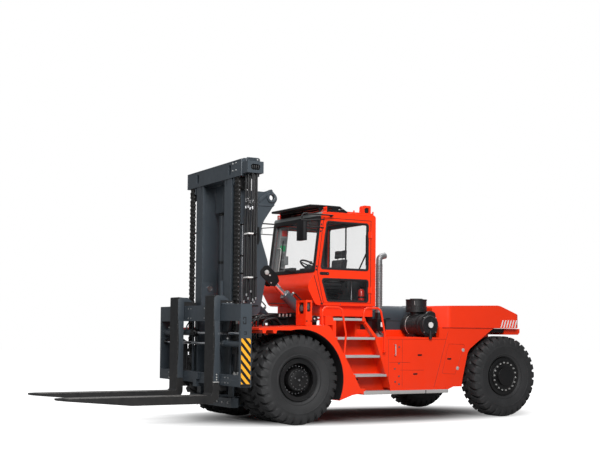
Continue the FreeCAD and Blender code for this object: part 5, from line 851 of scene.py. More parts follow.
def tilt_cylinders():
    """Gland flanges, ports and pipes of the tilt cylinders, and the rods' black eyes."""
    tilt = (TILT_PIN - TILT_FOOT).normalized()
    across = Vector((-tilt.z, 0, tilt.x))
    for side, hand in SIDES:
        flange = Shape()
        for start, end, radius in ((0.600, 0.652, 0.104), (0.560, 0.575, 0.098), (0.150, 0.168, 0.098)):
            flange.rod(TILT_FOOT + tilt * start, TILT_FOOT + tilt * end, radius, 40, 0.005)
        for start in (0.18, 0.53):
            port = TILT_FOOT + tilt * start + across * 0.085
            flange.rod(port, port + across * 0.045, 0.026, 20, 0.003)
        flange.flipped(hand).piece(side + "_tilt_gland", side + "_tilt_tube", "slate", "painted_slate")
        bolts = Shape()
        for i in range(8):
            turn = Matrix.Rotation(math.tau * (i + 0.5) / 8, 3, tilt)
            foot = TILT_FOOT + tilt * 0.652 + turn @ (across * 0.082)
            bolts.rod(foot, foot + tilt * 0.010, 0.011, 6, 0.001)
        for start in (0.18, 0.53):
            port = TILT_FOOT + tilt * start + across * 0.130
            bolts.rod(port, port + across * 0.024, 0.020, 6, 0.002)
        bolts.flipped(hand).piece(side + "_tilt_bolts", side + "_tilt_tube", "bolt", "painted_slate")
        pipe = Shape()
        high, low = (TILT_FOOT + tilt * start + across * 0.154 for start in (0.53, 0.18))
        pipe.tube((high, high + across * 0.012 - tilt * 0.05, low + across * 0.014 + tilt * 0.12,
                   low + across * 0.012 + tilt * 0.03, low), 0.012, 10)
        pipe.flipped(hand).piece(side + "_tilt_hose", side + "_tilt_tube", "hose", "hose_rubber")
        eye = Shape()
        eye.lathe(((0.068, -0.0505), (0.068, 0.0505), (0.0965, 0.0505), (0.0965, -0.0505)), TILT_PIN,
                  steps=48)
        eye.rod(TILT_PIN - tilt * 0.16, TILT_PIN - tilt * 0.088, 0.058, 28, 0.006)
        eye.flipped(hand).piece(side + "_tilt_eye", side + "_tilt_piston", "black", "painted_black")


# Carriage and forks --------------------------------------------------------------------------

BEAM_FRONT = at(1.246)
BEAM_TOP = 2.136
BEAM_FLOOR = 0.709
CHEEK_FACE = Box("carriage").hi.y
RAM_X = at(1.150)
RAM_PORTS = (-1.60, -0.75, 1.05, 1.60)
FORK_BACK = at(1.251)
FORK_FACE = at(1.376)
FORK_HALF = 0.185


def carriage_trim():
    """Bolts, weld beads, wear pads and rollers of the carriage."""
    bolts = Shape()
    bolts.screws([(BEAM_FRONT, y, z) for y in (0.30, 0.42) for z in (1.90, 2.08)], "x", 0.013, 0.002)
    bolts.screws([(BEAM_FRONT, y, z) for y in (1.20, 1.32) for z in (0.76, 0.85)], "x", 0.013, 0.002)
    bolts.mirror().piece("carriage_bolts", "fork_carriage", "bolt", "painted_slate")
    seams = Shape()
    for z in (BEAM_TOP - 0.286, BEAM_FLOOR + 0.191):
        seams.tube(((BEAM_FRONT - 0.004, -1.724, z), (BEAM_FRONT - 0.004, 1.724, z)), 0.005, 8, smooth=False)
    for y in (1.722, 0.624, 0.556):
        for low, high in ((BEAM_TOP - 0.290, BEAM_TOP - 0.004), (BEAM_FLOOR, BEAM_FLOOR + 0.187)):
            for hand in (1, -1):
                seams.rod((BEAM_FRONT - 0.003, hand * y, low), (BEAM_FRONT - 0.003, hand * y, high), 0.005, 8)
    seams.block((BEAM_FRONT - 0.002, -1.60, BEAM_FLOOR + 0.085),
                (BEAM_FRONT + 0.001, 1.60, BEAM_FLOOR + 0.105), 0.001)
    seams.piece("carriage_seams", "fork_carriage", "slate", "painted_slate")
    worn = Shape()
    worn.block((at(1.056), -1.70, BEAM_TOP - 0.001), (at(1.150), 1.62, BEAM_TOP + 0.0002), 0.0001)
    worn.piece("beam_wear_strip", "fork_carriage", "worn", "painted_slate")
    rollers = Shape()
    for z in (0.95, 2.48):
        rollers.lathe(((0.030, -0.020), (0.030, 0.004), (0.055, 0.004), (0.0805, -0.004), (0.0805, -0.020)),
                      (at(0.820), 0.526, z), steps=40)
        rollers.rod((at(0.820), 0.380, z), (at(0.820), 0.402, z), 0.050, 24, 0.004)
    rollers.mirror().piece("carriage_rollers", "fork_carriage", "steel", "chrome_rod")


def ram_height(y):
    """The height of the cylinder that sets the fork on y's side."""
    return 1.630 if y < 0 else 1.440


def positioner_trim():
    """Barrels, collars, ports and hoses of the cylinders that set the forks' spacing."""
    sleeves = Shape()
    for low, high in ((0.950, 1.724), (-1.724, -0.317)):
        z = ram_height(low)
        sleeves.rod((RAM_X, low, z), (RAM_X, high, z), 0.0535, 40, 0.004)
        for y in (low + 0.012, low + 0.05, high - 0.05):
            sleeves.rod((RAM_X, y - 0.012, z), (RAM_X, y + 0.012, z), 0.062, 40, 0.004)
    for y in RAM_PORTS:
        z = ram_height(y)
        sleeves.rod((RAM_X - 0.02, y, z + 0.04), (RAM_X - 0.02, y, z + 0.085), 0.020, 16, 0.003)
    sleeves.piece("positioner_barrels", "fork_carriage", "slate", "painted_slate")
    collars = Shape()
    for low, high, radius, bevel in ((-0.318, -0.240, 0.068, 0.006), (-0.36, -0.318, 0.080, 0.006),
                                     (0.900, 0.950, 0.048, 0.005)):
        z = ram_height(low)
        collars.rod((RAM_X, low, z), (RAM_X, high, z), radius, 40, bevel)
    for y, z in ((1.700, 1.630), (-1.700, 1.440)):
        collars.rod((RAM_X, y - 0.024, z), (RAM_X, y + 0.024, z), 0.048, 32, 0.005)
    collars.piece("positioner_collars", "fork_carriage", "black", "painted_black")
    hoses = Shape()
    for hand in (1, -1):
        for i in range(4):
            y = hand * (1.300 + 0.065 * i)
            x = at(1.075 + 0.012 * (i % 2))
            hoses.tube(((x, y, BEAM_TOP - 0.30), (x + 0.004, y + 0.01, 1.70), (x, y - hand * 0.02, 1.30),
                        (x, y - hand * 0.05, 1.02), (x, y - hand * 0.07, BEAM_FLOOR + 0.18)), 0.015, 10)
    for i in range(5):
        y = -1.080 + 0.052 * i
        hoses.tube(((at(1.100), y + 0.02, 1.46), (at(1.078), y, 1.50 - 0.02 * i),
                    (at(1.062), y - 0.004, 1.20), (at(1.066), y + 0.004, 1.00),
                    (at(1.085), y, BEAM_FLOOR + 0.16)), 0.0225, 10)
    for y in RAM_PORTS:
        z = ram_height(y) + 0.08
        hoses.tube(((RAM_X - 0.02, y, z), (RAM_X - 0.025, y, z + 0.05),
                    (at(1.095), y + 0.02, BEAM_TOP - 0.32),
                    (at(1.085), y + 0.02, BEAM_TOP - 0.285)), 0.012, 10)
    hoses.piece("carriage_hoses", "fork_carriage", "hose", "hose_rubber")
    bright = Shape()
    for hand in (1, -1):
        for i in range(4):
            y = hand * (1.300 + 0.065 * i)
            x = at(1.075 + 0.012 * (i % 2))
            bright.rod((x, y, BEAM_TOP - 0.345), (x, y, BEAM_TOP - 0.285), 0.021, 6, 0.002)
            bright.rod((x, y - hand * 0.070, BEAM_FLOOR + 0.185), (x, y - hand * 0.069, BEAM_FLOOR + 0.24),
                       0.021, 6, 0.002)
        bright.rod((at(1.10), hand * 1.52, 1.60), (at(1.10), hand * 1.52, 1.68), 0.026, 6, 0.003)
    for y in RAM_PORTS:
        z = ram_height(y)
        bright.rod((RAM_X - 0.02, y, z + 0.085), (RAM_X - 0.02, y, z + 0.108), 0.017, 6, 0.002)
    bright.piece("carriage_fittings", "fork_carriage", "bolt", "painted_slate")


def fork_trim():
    """Worn tops, side pads, pins and bolts of each fork; the slate side pads also stand in for light on the
    sides of the shanks.
    """
    for side, hand in SIDES:
        body = side + "_fork_arm"
        fork = Box(side + "_fork")
        middle = (abs(fork.lo.y) + abs(fork.hi.y)) / 2
        low, high = middle - FORK_HALF, middle + FORK_HALF
        # Slate plates on both sides of each shank and over its hook. Their light slate against the black
        # fronts is partly painted light on the sides.
        pads = Shape()
        pad = ((FORK_BACK + 0.001, 1.845), (FORK_FACE - 0.014, 1.845), (FORK_FACE - 0.002, 1.885),
               (FORK_FACE - 0.002, 2.255),
               (at(1.330), 2.296), (at(1.180), 2.296), (at(1.085), 2.222), (at(1.085), 2.214),
               (FORK_BACK + 0.001, 2.214))
        pads.prism(pad, "y", high - 0.002, high + 0.008, bevel=0.003)
        pads.prism(pad, "y", low - 0.008, low + 0.002, bevel=0.003)
        pads.prism(((at(0.998), BEAM_TOP + 0.004), (at(1.240), BEAM_TOP + 0.004),
                    (at(1.240), BEAM_TOP + 0.030),
                    (at(1.010), BEAM_TOP + 0.030)), "y", high - 0.004, high + 0.055, bevel=0.004)
        for face in (high, low):
            pads.prism(((FORK_BACK + 0.002, 0.770), (FORK_FACE - 0.008, 0.770), (FORK_FACE - 0.008, 1.000),
                        (FORK_FACE - 0.022, 1.200), (FORK_FACE - 0.026, 1.500), (FORK_FACE - 0.012, 1.848),
                        (FORK_BACK + 0.002, 1.848)), "y", face - 0.006, face + 0.006, bevel=0.002)
        pads.flipped(hand).piece(side + "_fork_plates_with_painted_side_light", body, "slate", "painted_black")
        bright = Shape()
        bright.block((at(1.262), high - 0.001, 0.752), (FORK_FACE + 0.004, high + 0.016, 0.772), 0.003)
        bright.screws([(at(1.312), high + 0.005, z) for z in (0.805, 0.850, 0.895)], "y", 0.013, 0.010)
        bright.screws([(at(x), high + 0.030, BEAM_TOP + 0.029) for x in (1.050, 1.130)], "z", 0.014, 0.012)
        bright.flipped(hand).piece(side + "_fork_bolts", body, "bolt", "painted_slate")
        worn = Shape()
        worn.block((FORK_FACE + 0.10, low + 0.012, 0.5262), (fork.hi.x - 0.16, high - 0.012, 0.5273), 0.0003)
        worn.flipped(hand).piece(side + "_blade_wear", body, "worn", "painted_black")


# Cab -----------------------------------------------------------------------------------------

CAB_FACE = 0.930
CAB_WALL = 0.050
WAIST = Vector((at(-0.735), 0, 2.790))
LEAN = -0.135 / 1.070
WINDOW = ((at(-1.920), 2.873), (at(-1.920), 3.755), (at(-1.005), 3.755), (at(-0.875), 2.873))
VENT = ((at(-1.920), 2.262), (at(-1.920), 2.665), (at(-0.900), 2.665), (at(-1.025), 2.262))
PANE_ROUND = 0.040


def doors():
    """Gaskets, inner frames, handles and strips of both cab doors."""
    for side, hand in SIDES:
        body = side + "_cab_door"
        seals = Shape()
        linings = Shape()
        for corners in (WINDOW, VENT):
            hole = softened(drawn_in(corners, 0.004), PANE_ROUND - 0.006)
            wide = softened(drawn_in(corners, -0.024), PANE_ROUND + 0.016)
            seals.band(wide, hole, "y", CAB_FACE - 0.006, CAB_FACE + 0.007, 0.002)
            seals.band(softened(drawn_in(corners, 0.001), PANE_ROUND),
                       softened(drawn_in(corners, 0.018), PANE_ROUND - 0.02),
                       "y", CAB_FACE - 0.030, CAB_FACE - 0.004, 0.002)
        inner, sill = CAB_FACE - CAB_WALL - 0.008, CAB_FACE - CAB_WALL + 0.002
        for strip in (((-0.804, 2.790), (-0.939, 3.815), (-1.000, 3.815), (-0.868, 2.790)),
                      ((-0.960, 2.230), (-0.820, 2.790), (-0.890, 2.790), (-1.015, 2.230)),
                      ((-0.960, 3.760), (-0.955, 3.815), (-1.985, 3.815), (-1.985, 3.760)),
                      ((-0.826, 2.670), (-0.868, 2.868), (-1.985, 2.868), (-1.985, 2.670)),
                      ((-0.965, 2.230), (-0.958, 2.257), (-1.985, 2.257), (-1.985, 2.230)),
                      ((-1.985, 2.240), (-1.985, 3.800), (-1.925, 3.800), (-1.925, 2.240))):
            linings.prism([(at(u), v) for u, v in strip], "y", inner, sill, 0.003)
        seals.flipped(hand).piece(side + "_door_gaskets", body, "seal", "painted_black")
        linings.flipped(hand).piece(side + "_door_lining", body, "lining", "black_plastic")
        recess = Shape()
        pocket = rounded((at(-1.050), 2.742), (at(-0.838), 2.800), 0.026)
        recess.band(pocket, [(u * 0.86 + at(-0.944) * 0.14, v * 0.70 + 2.771 * 0.30) for u, v in pocket],
                    "y", CAB_FACE - 0.012, CAB_FACE + 0.003, 0.001)
        recess.prism(rounded((at(-1.040), 2.750), (at(-0.848), 2.792), 0.018), "y", CAB_FACE - 0.001,
                     CAB_FACE + 0.001, 0)
        recess.prism(rounded((at(-1.026), 2.758), (at(-0.872), 2.784), 0.012), "y", CAB_FACE + 0.004,
                     CAB_FACE + 0.017, 0.003)
        recess.rod((at(-0.870), CAB_FACE, 2.771), (at(-0.870), CAB_FACE + 0.013, 2.771), 0.012, 16, 0.002)
        recess.flipped(hand).piece(side + "_door_handle", body, "plastic", "black_plastic")
        lock = Shape()
        lock.rod((at(-1.010), CAB_FACE + 0.015, 2.771), (at(-1.010), CAB_FACE + 0.020, 2.771), 0.009, 16,
                 0.001)
        lock.block((at(-1.50), CAB_FACE - CAB_WALL - 0.030, 2.735),
                   (at(-1.20), CAB_FACE - CAB_WALL - 0.012, 2.765), 0.006)
        lock.flipped(hand).piece(side + "_door_lock", body, "steel", "chrome_rod")
    posts = Shape()
    for corners in (((at(-0.789), 2.790), (at(-0.929), 2.215), (at(-0.921), 2.211), (at(-0.779), 2.790)),
                    ((at(-0.779), 2.790), (at(-0.789), 2.790), (at(-0.926), 3.825), (at(-0.918), 3.825)),
                    ((at(-1.992), 2.215), (at(-2.000), 2.215), (at(-2.000), 3.835), (at(-1.992), 3.835)),
                    ((at(-2.000), 3.828), (at(-0.918), 3.828), (at(-0.918), 3.836), (at(-2.000), 3.836))):
        posts.prism(corners, "y", CAB_FACE - 0.020, CAB_FACE + 0.0015, bevel=0)
    posts.rod((at(-0.715), CAB_FACE + 0.004, 2.735), (at(-0.884), CAB_FACE + 0.004, 2.215), 0.0065, 8)
    posts.block((at(-0.905), CAB_FACE - 0.001, 2.185), (at(-0.865), CAB_FACE + 0.020, 2.215), 0.004)
    for z in (3.700, 3.570, 2.900, 2.840):
        x = WAIST.x + LEAN * (z - WAIST.z) - 0.020
        posts.block((x - 0.014, CAB_FACE - 0.001, z - 0.016), (x + 0.014, CAB_FACE + 0.012, z + 0.016), 0.003)
    posts.mirror().piece("door_opening_seals", "chassis", "seal", "painted_black")
    hinges = Shape()
    for z in (2.420, 3.500):
        for along in (0.012, 0.060, 0.108):
            hinges.rod((at(-2.020), CAB_FACE - 0.001, z + along), (at(-2.020), CAB_FACE + 0.006, z + along),
                       0.009, 6, 0.001)
    for x, y, z in ((at(-2.075), CAB_FACE, 3.10), (at(-2.075), CAB_FACE, 2.70), (at(-1.30), CAB_FACE, 2.195)):
        hinges.rod((x, y - 0.001, z), (x, y + 0.005, z), 0.009, 12, 0.001)
    hinges.mirror().piece("cab_side_screws", "chassis", "engine", "painted_black")


def windscreen():
    """The black frames round the windscreen and rear window, the header and the wipers."""
    frame_round = Shape()
    outer = rounded((-0.926, 2.792), (0.926, 3.872), 0.060)
    inner = rounded((-0.842, 2.860), (0.842, 3.790), 0.050)
    frame_round.band(outer, inner, "x", WAIST.x - 0.004, WAIST.x + 0.012, 0.003)
    frame_round.leaned(LEAN, WAIST.z)
    frame_round.piece("windscreen_frame", "chassis", "seal", "painted_black")
    header = Shape()
    header.prism(((at(-0.864), 3.860), (at(-0.862), 3.862), (at(-0.868), 3.905), (at(-0.890), 3.938),
                  (at(-0.925), 3.950),
                  (at(-0.985), 3.951), (at(-0.985), 3.944), (at(-0.930), 3.940), (at(-0.880), 3.900)),
                 "y", -0.932, 0.926, bevel=0.002)
    header.piece("cab_header", "chassis", "column", "painted_slate")
    rear = Shape()
    rear_x = at(-2.110)
    rear.band(rounded((-0.800, 2.828), (0.800, 3.822), 0.060),
              rounded((-0.772, 2.858), (0.772, 3.792), 0.050),
              "x", rear_x - 0.006, rear_x + 0.012, 0.002)
    rear.block((rear_x + 0.020, -0.122, 2.850), (rear_x + 0.040, -0.092, 3.810), 0.004)
    rear.piece("rear_window_frame", "chassis", "seal", "painted_black")
    wipers = Shape()
    wipers.rod((rear_x - 0.020, 0.300, 2.895), (rear_x + 0.005, 0.300, 2.895), 0.022, 16, 0.003)
    wipers.rod((rear_x - 0.016, 0.300, 2.895), (rear_x - 0.016, 0.585, 3.235), 0.015, 8)
    wipers.block((rear_x - 0.021, 0.562, 2.990), (rear_x - 0.007, 0.596, 3.590), 0.003)
    glass_x = WAIST.x + 0.024
    front = Shape()
    front.rod((glass_x - 0.02, 0.15, 2.835), (glass_x + 0.014, 0.15, 2.835), 0.024, 16, 0.003)
    front.rod((glass_x, 0.15, 2.835), (glass_x, -0.420, 2.905), 0.010, 8)
    front.block((glass_x - 0.012, -0.432, 2.880), (glass_x + 0.004, -0.412, 3.480), 0.003)
    front.leaned(LEAN, WAIST.z)
    front.piece("front_wiper", "chassis", "plastic", "black_plastic")
    wipers.piece("rear_wiper", "chassis", "plastic", "black_plastic")


def linings():
    """Dark trim over the inside of the cab's walls."""
    trim = Shape()
    inside = CAB_FACE - CAB_WALL
    trim.block((at(-2.055), -inside + 0.004, 3.880), (at(-0.930), inside - 0.004, 3.892), 0.003)
    trim.band(((-inside + 0.003, 2.224), (inside - 0.003, 2.224), (inside - 0.003, 3.884),
               (-inside + 0.003, 3.884)),
              ((-0.776, 2.854), (0.776, 2.854), (0.776, 3.796), (-0.776, 3.796)), "x", at(-2.059),
              at(-2.046), 0.002)
    for hand in (1, -1):
        for u, v in ((-2.056, -1.992), (-0.942, -0.925)):
            trim.block((at(u), hand * (inside - 0.009), 2.780), (at(v), hand * (inside - 0.001), 3.880),
                       0.002)
        trim.block((at(-2.056), hand * (inside - 0.009), 2.224),
                   (at(-1.992), hand * (inside - 0.001), 2.790), 0.002)
        trim.block((at(-2.056), hand * (inside - 0.009), 3.834),
                   (at(-0.925), hand * (inside - 0.001), 3.884), 0.002)
    trim.block((at(-2.040), -inside + 0.01, 2.2205), (at(-0.700), inside - 0.01, 2.232), 0.004)
    trim.prism(((at(-0.770), 2.240), (at(-0.640), 2.500), (at(-0.790), 2.780), (at(-0.860), 2.780),
                (at(-0.860), 2.240)),
               "y", -inside + 0.01, inside - 0.01, bevel=0.01)
    trim.piece("cab_linings", "chassis", "lining", "black_plastic")
    edge = Shape()
    low, high = 2.857, 3.794
    low_x, high_x = (WAIST.x + LEAN * (z - WAIST.z) for z in (low, high))
    edge.prism(((low_x - 0.053, low), (low_x - 0.003, low), (high_x - 0.003, high), (high_x - 0.053, high)),
               "y", 0.8465, 0.8505, bevel=0.001)
    edge.prism(((low_x - 0.052, low), (high_x - 0.052, high), (high_x - 0.066, high), (low_x - 0.066, low)),
               "y", inside - 0.008, inside + 0.001, bevel=0.001)
    edge.mirror().piece("screen_edge_linings", "chassis", "lining", "black_plastic")


def control_column():
    """A leaning pillar beside the windscreen, with six blank square panels that face the driver."""
    column = Shape()
    low, high = 2.780, 3.780
    foot, head = at(-0.800), at(-0.925)
    column.prism(((foot, low), (head, high), (head - 0.185, high), (foot - 0.215, low)),
                 "y", -0.850, -0.752, bevel=0.020, segments=3)
    column.block((at(-0.98), -0.83, 2.23), (at(-0.85), -0.76, 2.80), 0.02)
    column.block((foot - 0.30, -0.80, 3.02), (foot - 0.20, -0.74, 3.20), 0.015)
    column.piece("control_column", "chassis", "column", "painted_slate")
    for name, finish, places in (("column_panels", "panel", (0.050, 0.205, 0.360, 0.670)),
                                 ("column_green_panel", "green", (0.515,)),
                                 ("column_red_panel", "red", (0.825,))):
        panels = Shape()
        for share in places:
            z = low + (high - low) * share
            x = foot + (head - foot) * (share + 0.058) - 0.1
            panels.block((x - 0.062, -0.754, z), (x + 0.062, -0.7445, z + 0.118), 0.006)
        panels.piece(name, "chassis", finish, "black_plastic")
    rail = Shape()
    rail.tube(((at(-0.800), -0.62, 2.86), (at(-0.812), -0.62, 2.96), (at(-0.855), -0.62, 3.30),
               (at(-0.845), -0.70, 3.345),
               (at(-0.850), -0.752, 3.345)), 0.011, 10)
    rail.piece("column_grab_rail", "chassis", "bolt", "chrome_rod")


def driver_controls():
    """Dash, steering wheel hub and spokes, levers, pedals and instruments."""
    dark = Shape()
    dark.block((at(-1.060), -0.560, 2.700), (at(-0.850), 0.330, 2.850), 0.025)
    dark.block((at(-1.000), -0.520, 2.840), (at(-0.890), -0.230, 2.935), 0.02)
    dark.block((at(-1.020), 0.060, 2.840), (at(-0.900), 0.300, 2.905), 0.02)
    hub = Vector((at(-1.180), 0, 2.960))
    axis = Vector((-0.354, 0, 0.935))
    side = AXES["y"]
    ahead = side.cross(axis)
    dark.rod(hub - axis * 0.05, hub + axis * 0.024, 0.052, 28, 0.008)
    for angle in (90, 210, 330):
        out = side * math.cos(math.radians(angle)) + ahead * math.sin(math.radians(angle))
        dark.rod(hub, hub + out * 0.208, 0.017, 12, end_radius=0.011)
    dark.rod(hub + ahead * 0.10 + side * 0.17, hub + ahead * 0.10 + side * 0.17 + axis * 0.055, 0.021, 16,
             0.006)
    for y in (0.10, 0.30):
        dark.block((at(-0.985), y - 0.045, 2.300), (at(-0.905), y + 0.045, 2.320), 0.006,
                   Matrix.Rotation(math.radians(-35), 4, "Y"))
        dark.rod((at(-0.94), y, 2.31), (at(-0.86), y, 2.50), 0.010, 8)
    dark.piece("steering_trim", "chassis", "plastic", "black_plastic")
    base = Shape()
    base.block((at(-1.730), -0.170, 2.222), (at(-1.390), 0.170, 2.420), 0.02)
    for i in range(4):
        base.block((at(-1.740) - 0.004 * (i % 2), -0.180, 2.250 + 0.040 * i),
                   (at(-1.380) + 0.004 * (i % 2), 0.180, 2.275 + 0.040 * i), 0.008)
    base.block((at(-1.800), -0.235, 2.420), (at(-1.330), 0.235, 2.500), 0.02)
    base.block((at(-1.868), -0.475, 2.500), (at(-1.310), -0.290, 2.705), 0.035)
    for i in range(4):
        lever = Vector((at(-1.380), -0.440 + 0.040 * i, 2.700))
        base.rod(lever, lever + Vector((0.02, 0, 0.085)), 0.006, 8)
        base.ball(lever + Vector((0.022, 0, 0.095)), 0.015)
    base.block((at(-1.620), -0.430, 2.705), (at(-1.460), -0.330, 2.716), 0.004)
    base.block((at(-1.840), 0.285, 2.700), (at(-1.480), 0.345, 2.745), 0.02)
    base.rod((at(-1.830), 0.315, 2.540), (at(-1.830), 0.315, 2.720), 0.016, 12)
    base.piece("seat_base", "chassis", "plastic", "black_plastic")
    post = Shape()
    post.rod((at(-1.765), 0.600, 2.232), (at(-1.765), 0.600, 2.670), 0.018, 20, 0.004)
    post.block((at(-1.800), 0.570, 2.232), (at(-1.730), 0.630, 2.242), 0.003)
    post.piece("inside_grab_post", "chassis", "steel", "chrome_rod")
    bottle = Shape()
    foot = Vector((at(-1.900), 0.745, 2.234))
    bottle.lathe(((0.0, 0.0), (0.058, 0.0), (0.062, 0.010), (0.062, 0.230), (0.048, 0.262), (0.022, 0.278),
                  (0.0, 0.278)),
                 foot, axis="z", steps=32)
    bottle.piece("fire_bottle", "chassis", "red", "painted_orange")
    valve = Shape()
    valve.rod(foot + Vector((0, 0, 0.27)), foot + Vector((0, 0, 0.32)), 0.016, 12, 0.003)
    valve.block(foot + Vector((-0.045, -0.012, 0.300)), foot + Vector((0.050, 0.012, 0.322)), 0.004)
    valve.lathe(((0.0625, 0.10), (0.0625, 0.13), (0.066, 0.13), (0.066, 0.10)), foot, axis="z", steps=32)
    valve.piece("fire_bottle_valve", "chassis", "black", "painted_black")


def cushion(name, low, high, lean=0.0, crown=0.014, channels=3, upright=False):
    """A stuffed pad with a crowned face and sewn channels, puffed out by a cloth simulation."""
    low, high = Vector(low), Vector(high)
    form = bmesh.new()
    bmesh.ops.create_cube(form, size=1.0)
    size = high - low
    form.transform(Matrix.Translation((low + high) / 2) @ Matrix.Diagonal((size.x, size.y, size.z, 1)))
    bmesh.ops.bevel(form, geom=form.edges[:], offset=0.032, segments=4, profile=0.6, affect="EDGES")
    data = bpy.data.meshes.new(name)
    form.to_mesh(data)
    form.free()
    pad = bpy.data.objects.new(name, data)
    scene.collection.objects.link(pad)
    remesh = pad.modifiers.new("remesh", "REMESH")
    remesh.mode = "VOXEL"
    remesh.voxel_size = 0.010
    applied(pad)
    puffed(pad, crown)
    middle = (low + high) / 2
    for vert in pad.data.vertices:
        place = vert.co
        u = (place.y - middle.y) / (size.y / 2)
        v = (place.z - middle.z) / (size.z / 2) if upright else (place.x - middle.x) / (size.x / 2)
        groove = max(0.0, math.cos(v * math.pi * (channels - 0.5))) ** 12 * (abs(u) < 0.62)
        bolster = 0.018 * max(0.0, abs(u) - 0.55)
        if upright and place.x > middle.x:
            place.x += bolster - 0.007 * groove
        elif not upright and place.z > middle.z:
            place.z += bolster - 0.007 * groove
        if upright:
            place.x -= lean * (place.z - low.z) / size.z
    pad.data.polygons.foreach_set("use_smooth", [True] * len(pad.data.polygons))
    pad.data.materials.append(FINISHES["fabric"])
    return pad


def applied(thing):
    """Bakes a piece's modifiers into its mesh."""
    graph = bpy.context.evaluated_depsgraph_get()
    made = bpy.data.meshes.new_from_object(thing.evaluated_get(graph))
    thing.modifiers.clear()
    thing.data = made


def puffed(pad, most):
    """Lets pressure swell a pad and holds every point near where it began."""
    began = [vert.co.copy() for vert in pad.data.vertices]
    cloth = pad.modifiers.new("cloth", "CLOTH")
    cloth.settings.use_pressure = True
    cloth.settings.uniform_pressure_force = 4.0
    cloth.settings.effector_weights.gravity = 0.0
    cloth.point_cache.frame_start = 1
    cloth.point_cache.frame_end = 20
    for step in range(1, 21):
        scene.frame_set(step)
    applied(pad)
    for vert, start in zip(pad.data.vertices, began):
        move = vert.co - start
        if move.length > most:
            vert.co = start + move * (most / move.length)
    scene.frame_set(1)
    smooth = pad.modifiers.new("smooth", "SUBSURF")
    smooth.levels = 1
    smooth.render_levels = 1
    applied(pad)


def seat():
    """The driver's cushions and the piping along their edges."""
    pads = (cushion("seat_cushion", (at(-1.790), -0.235, 2.512), (at(-1.330), 0.235, 2.622), crown=0.012),
            cushion("seat_back", (at(-1.862), -0.235, 2.640), (at(-1.762), 0.235, 3.130), 0.062, 0.012, 4,
                    True),
            cushion("seat_headrest", (at(-1.925), -0.180, 3.142), (at(-1.845), 0.180, 3.310), 0.018, 0.010,
                    1, True))
    for pad in pads:
        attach(pad, "chassis")
    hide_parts("operator_seat")
    piping = Shape()
    for y in (-0.236, 0.236):
        piping.tube(((at(-1.770), y, 2.570), (at(-1.560), y * 1.012, 2.572), (at(-1.350), y, 2.570)), 0.005,
                    6)
        piping.tube(((at(-1.808), y, 2.66), (at(-1.838), y * 1.012, 2.88), (at(-1.868), y, 3.10)), 0.005, 6)
    for y in (-0.08, 0.08):
        piping.rod((at(-1.872), y, 3.10), (at(-1.882), y, 3.19), 0.007, 10)
    piping.piece("seat_piping", "chassis", "seal", "black_plastic")


def roof():
    """Bolts and lip of the guard, the bracket, pegs and beacon, and the roof's seam."""
    lip = Shape()
    front = at(-0.725)
    lip.rod((front + 0.004, -0.745, 4.066), (front + 0.004, 0.745, 4.066), 0.0235, 16)
    for y in (-0.745, 0.745):
        lip.rod((front + 0.004, y, 4.066), (at(-0.870), y, 4.076), 0.021, 12)
        lip.rod((at(-0.870), y, 4.0755), (at(-1.370), y, 4.0755), 0.0205, 12)
    for x in (-0.95, -1.15, -1.35):
        lip.block((at(x) - 0.02, -0.738, 4.030), (at(x) + 0.02, 0.738, 4.052), 0.003)
    lip.piece("guard_lip", "chassis", "black", "painted_black")
    cheek = Shape()
    outer, inner = 0.9205, 0.9085
    for corners in (((-0.985, 3.946), (-1.446, 3.946), (-1.462, 3.972), (-1.405, 4.002), (-0.985, 4.002)),
                    ((-0.985, 4.024), (-1.362, 4.024), (-1.290, 4.068), (-0.985, 4.068)),
                    ((-1.345, 4.000), (-1.410, 4.000), (-1.350, 4.030), (-1.345, 4.030)),
                    ((-1.125, 4.000), (-1.255, 4.000), (-1.255, 4.026), (-1.125, 4.026)),
                    ((-0.985, 4.000), (-1.035, 4.000), (-1.035, 4.026), (-0.985, 4.026))):
        cheek.prism([(at(u), v) for u, v in corners], "y", inner, outer, bevel=0)
    cheek.block((at(-1.295), 0.745, 4.056), (at(-0.985), outer - 0.001, 4.070), 0.003)
    cheek.screws([(at(x), outer, 3.966) for x in (-1.02, -1.20, -1.42)], "y", 0.010, 0.006)
    cheek.mirror().piece("guard_cheeks", "chassis", "black", "painted_black")
    bolts = Shape()
    bolts.screws([(at(x), 0.752, 3.992) for x in (-1.00, -1.26, -1.48)], "y", 0.014, 0.012)
    bolts.screws([(at(x), 0.700, 4.094) for x in (-0.95, -1.25)], "z", 0.011, 0.006)
    bolts.mirror().piece("guard_bolts", "chassis", "bolt", "painted_black")
    orange = Shape()
    for hand in (1, -1):
        orange.block((at(-1.000), hand * 0.872, 3.800), (at(-0.925), hand * 0.936, 3.9445), 0.006)
        orange.block((at(-0.990), hand * 0.880, 3.940), (at(-0.980), hand * 0.928, 4.052), 0.003)
        orange.block((at(-0.945), hand * 0.880, 3.940), (at(-0.935), hand * 0.928, 4.040), 0.003)
        orange.rod((at(-0.995), hand * 0.904, 4.02), (at(-0.930), hand * 0.904, 4.02), 0.010, 10)
        for x in (-1.617, -1.755, -2.060):
            orange.rod((at(x), hand * 0.900, 3.975), (at(x), hand * 0.900, 4.012), 0.015, 16, 0.004)
        orange.rod((at(-2.06), hand * 0.926, 3.940), (at(-1.02), hand * 0.926, 3.940), 0.010, 8)
    orange.piece("roof_brackets", "chassis", "orange", "painted_orange")
    lamp_black = Shape()
    lamp_black.block((at(-1.960), 0.792, 3.990), (at(-1.880), 0.886, 4.072), 0.012)
    lamp_black.piece("beacon_core", "chassis", "plastic", "black_plastic")


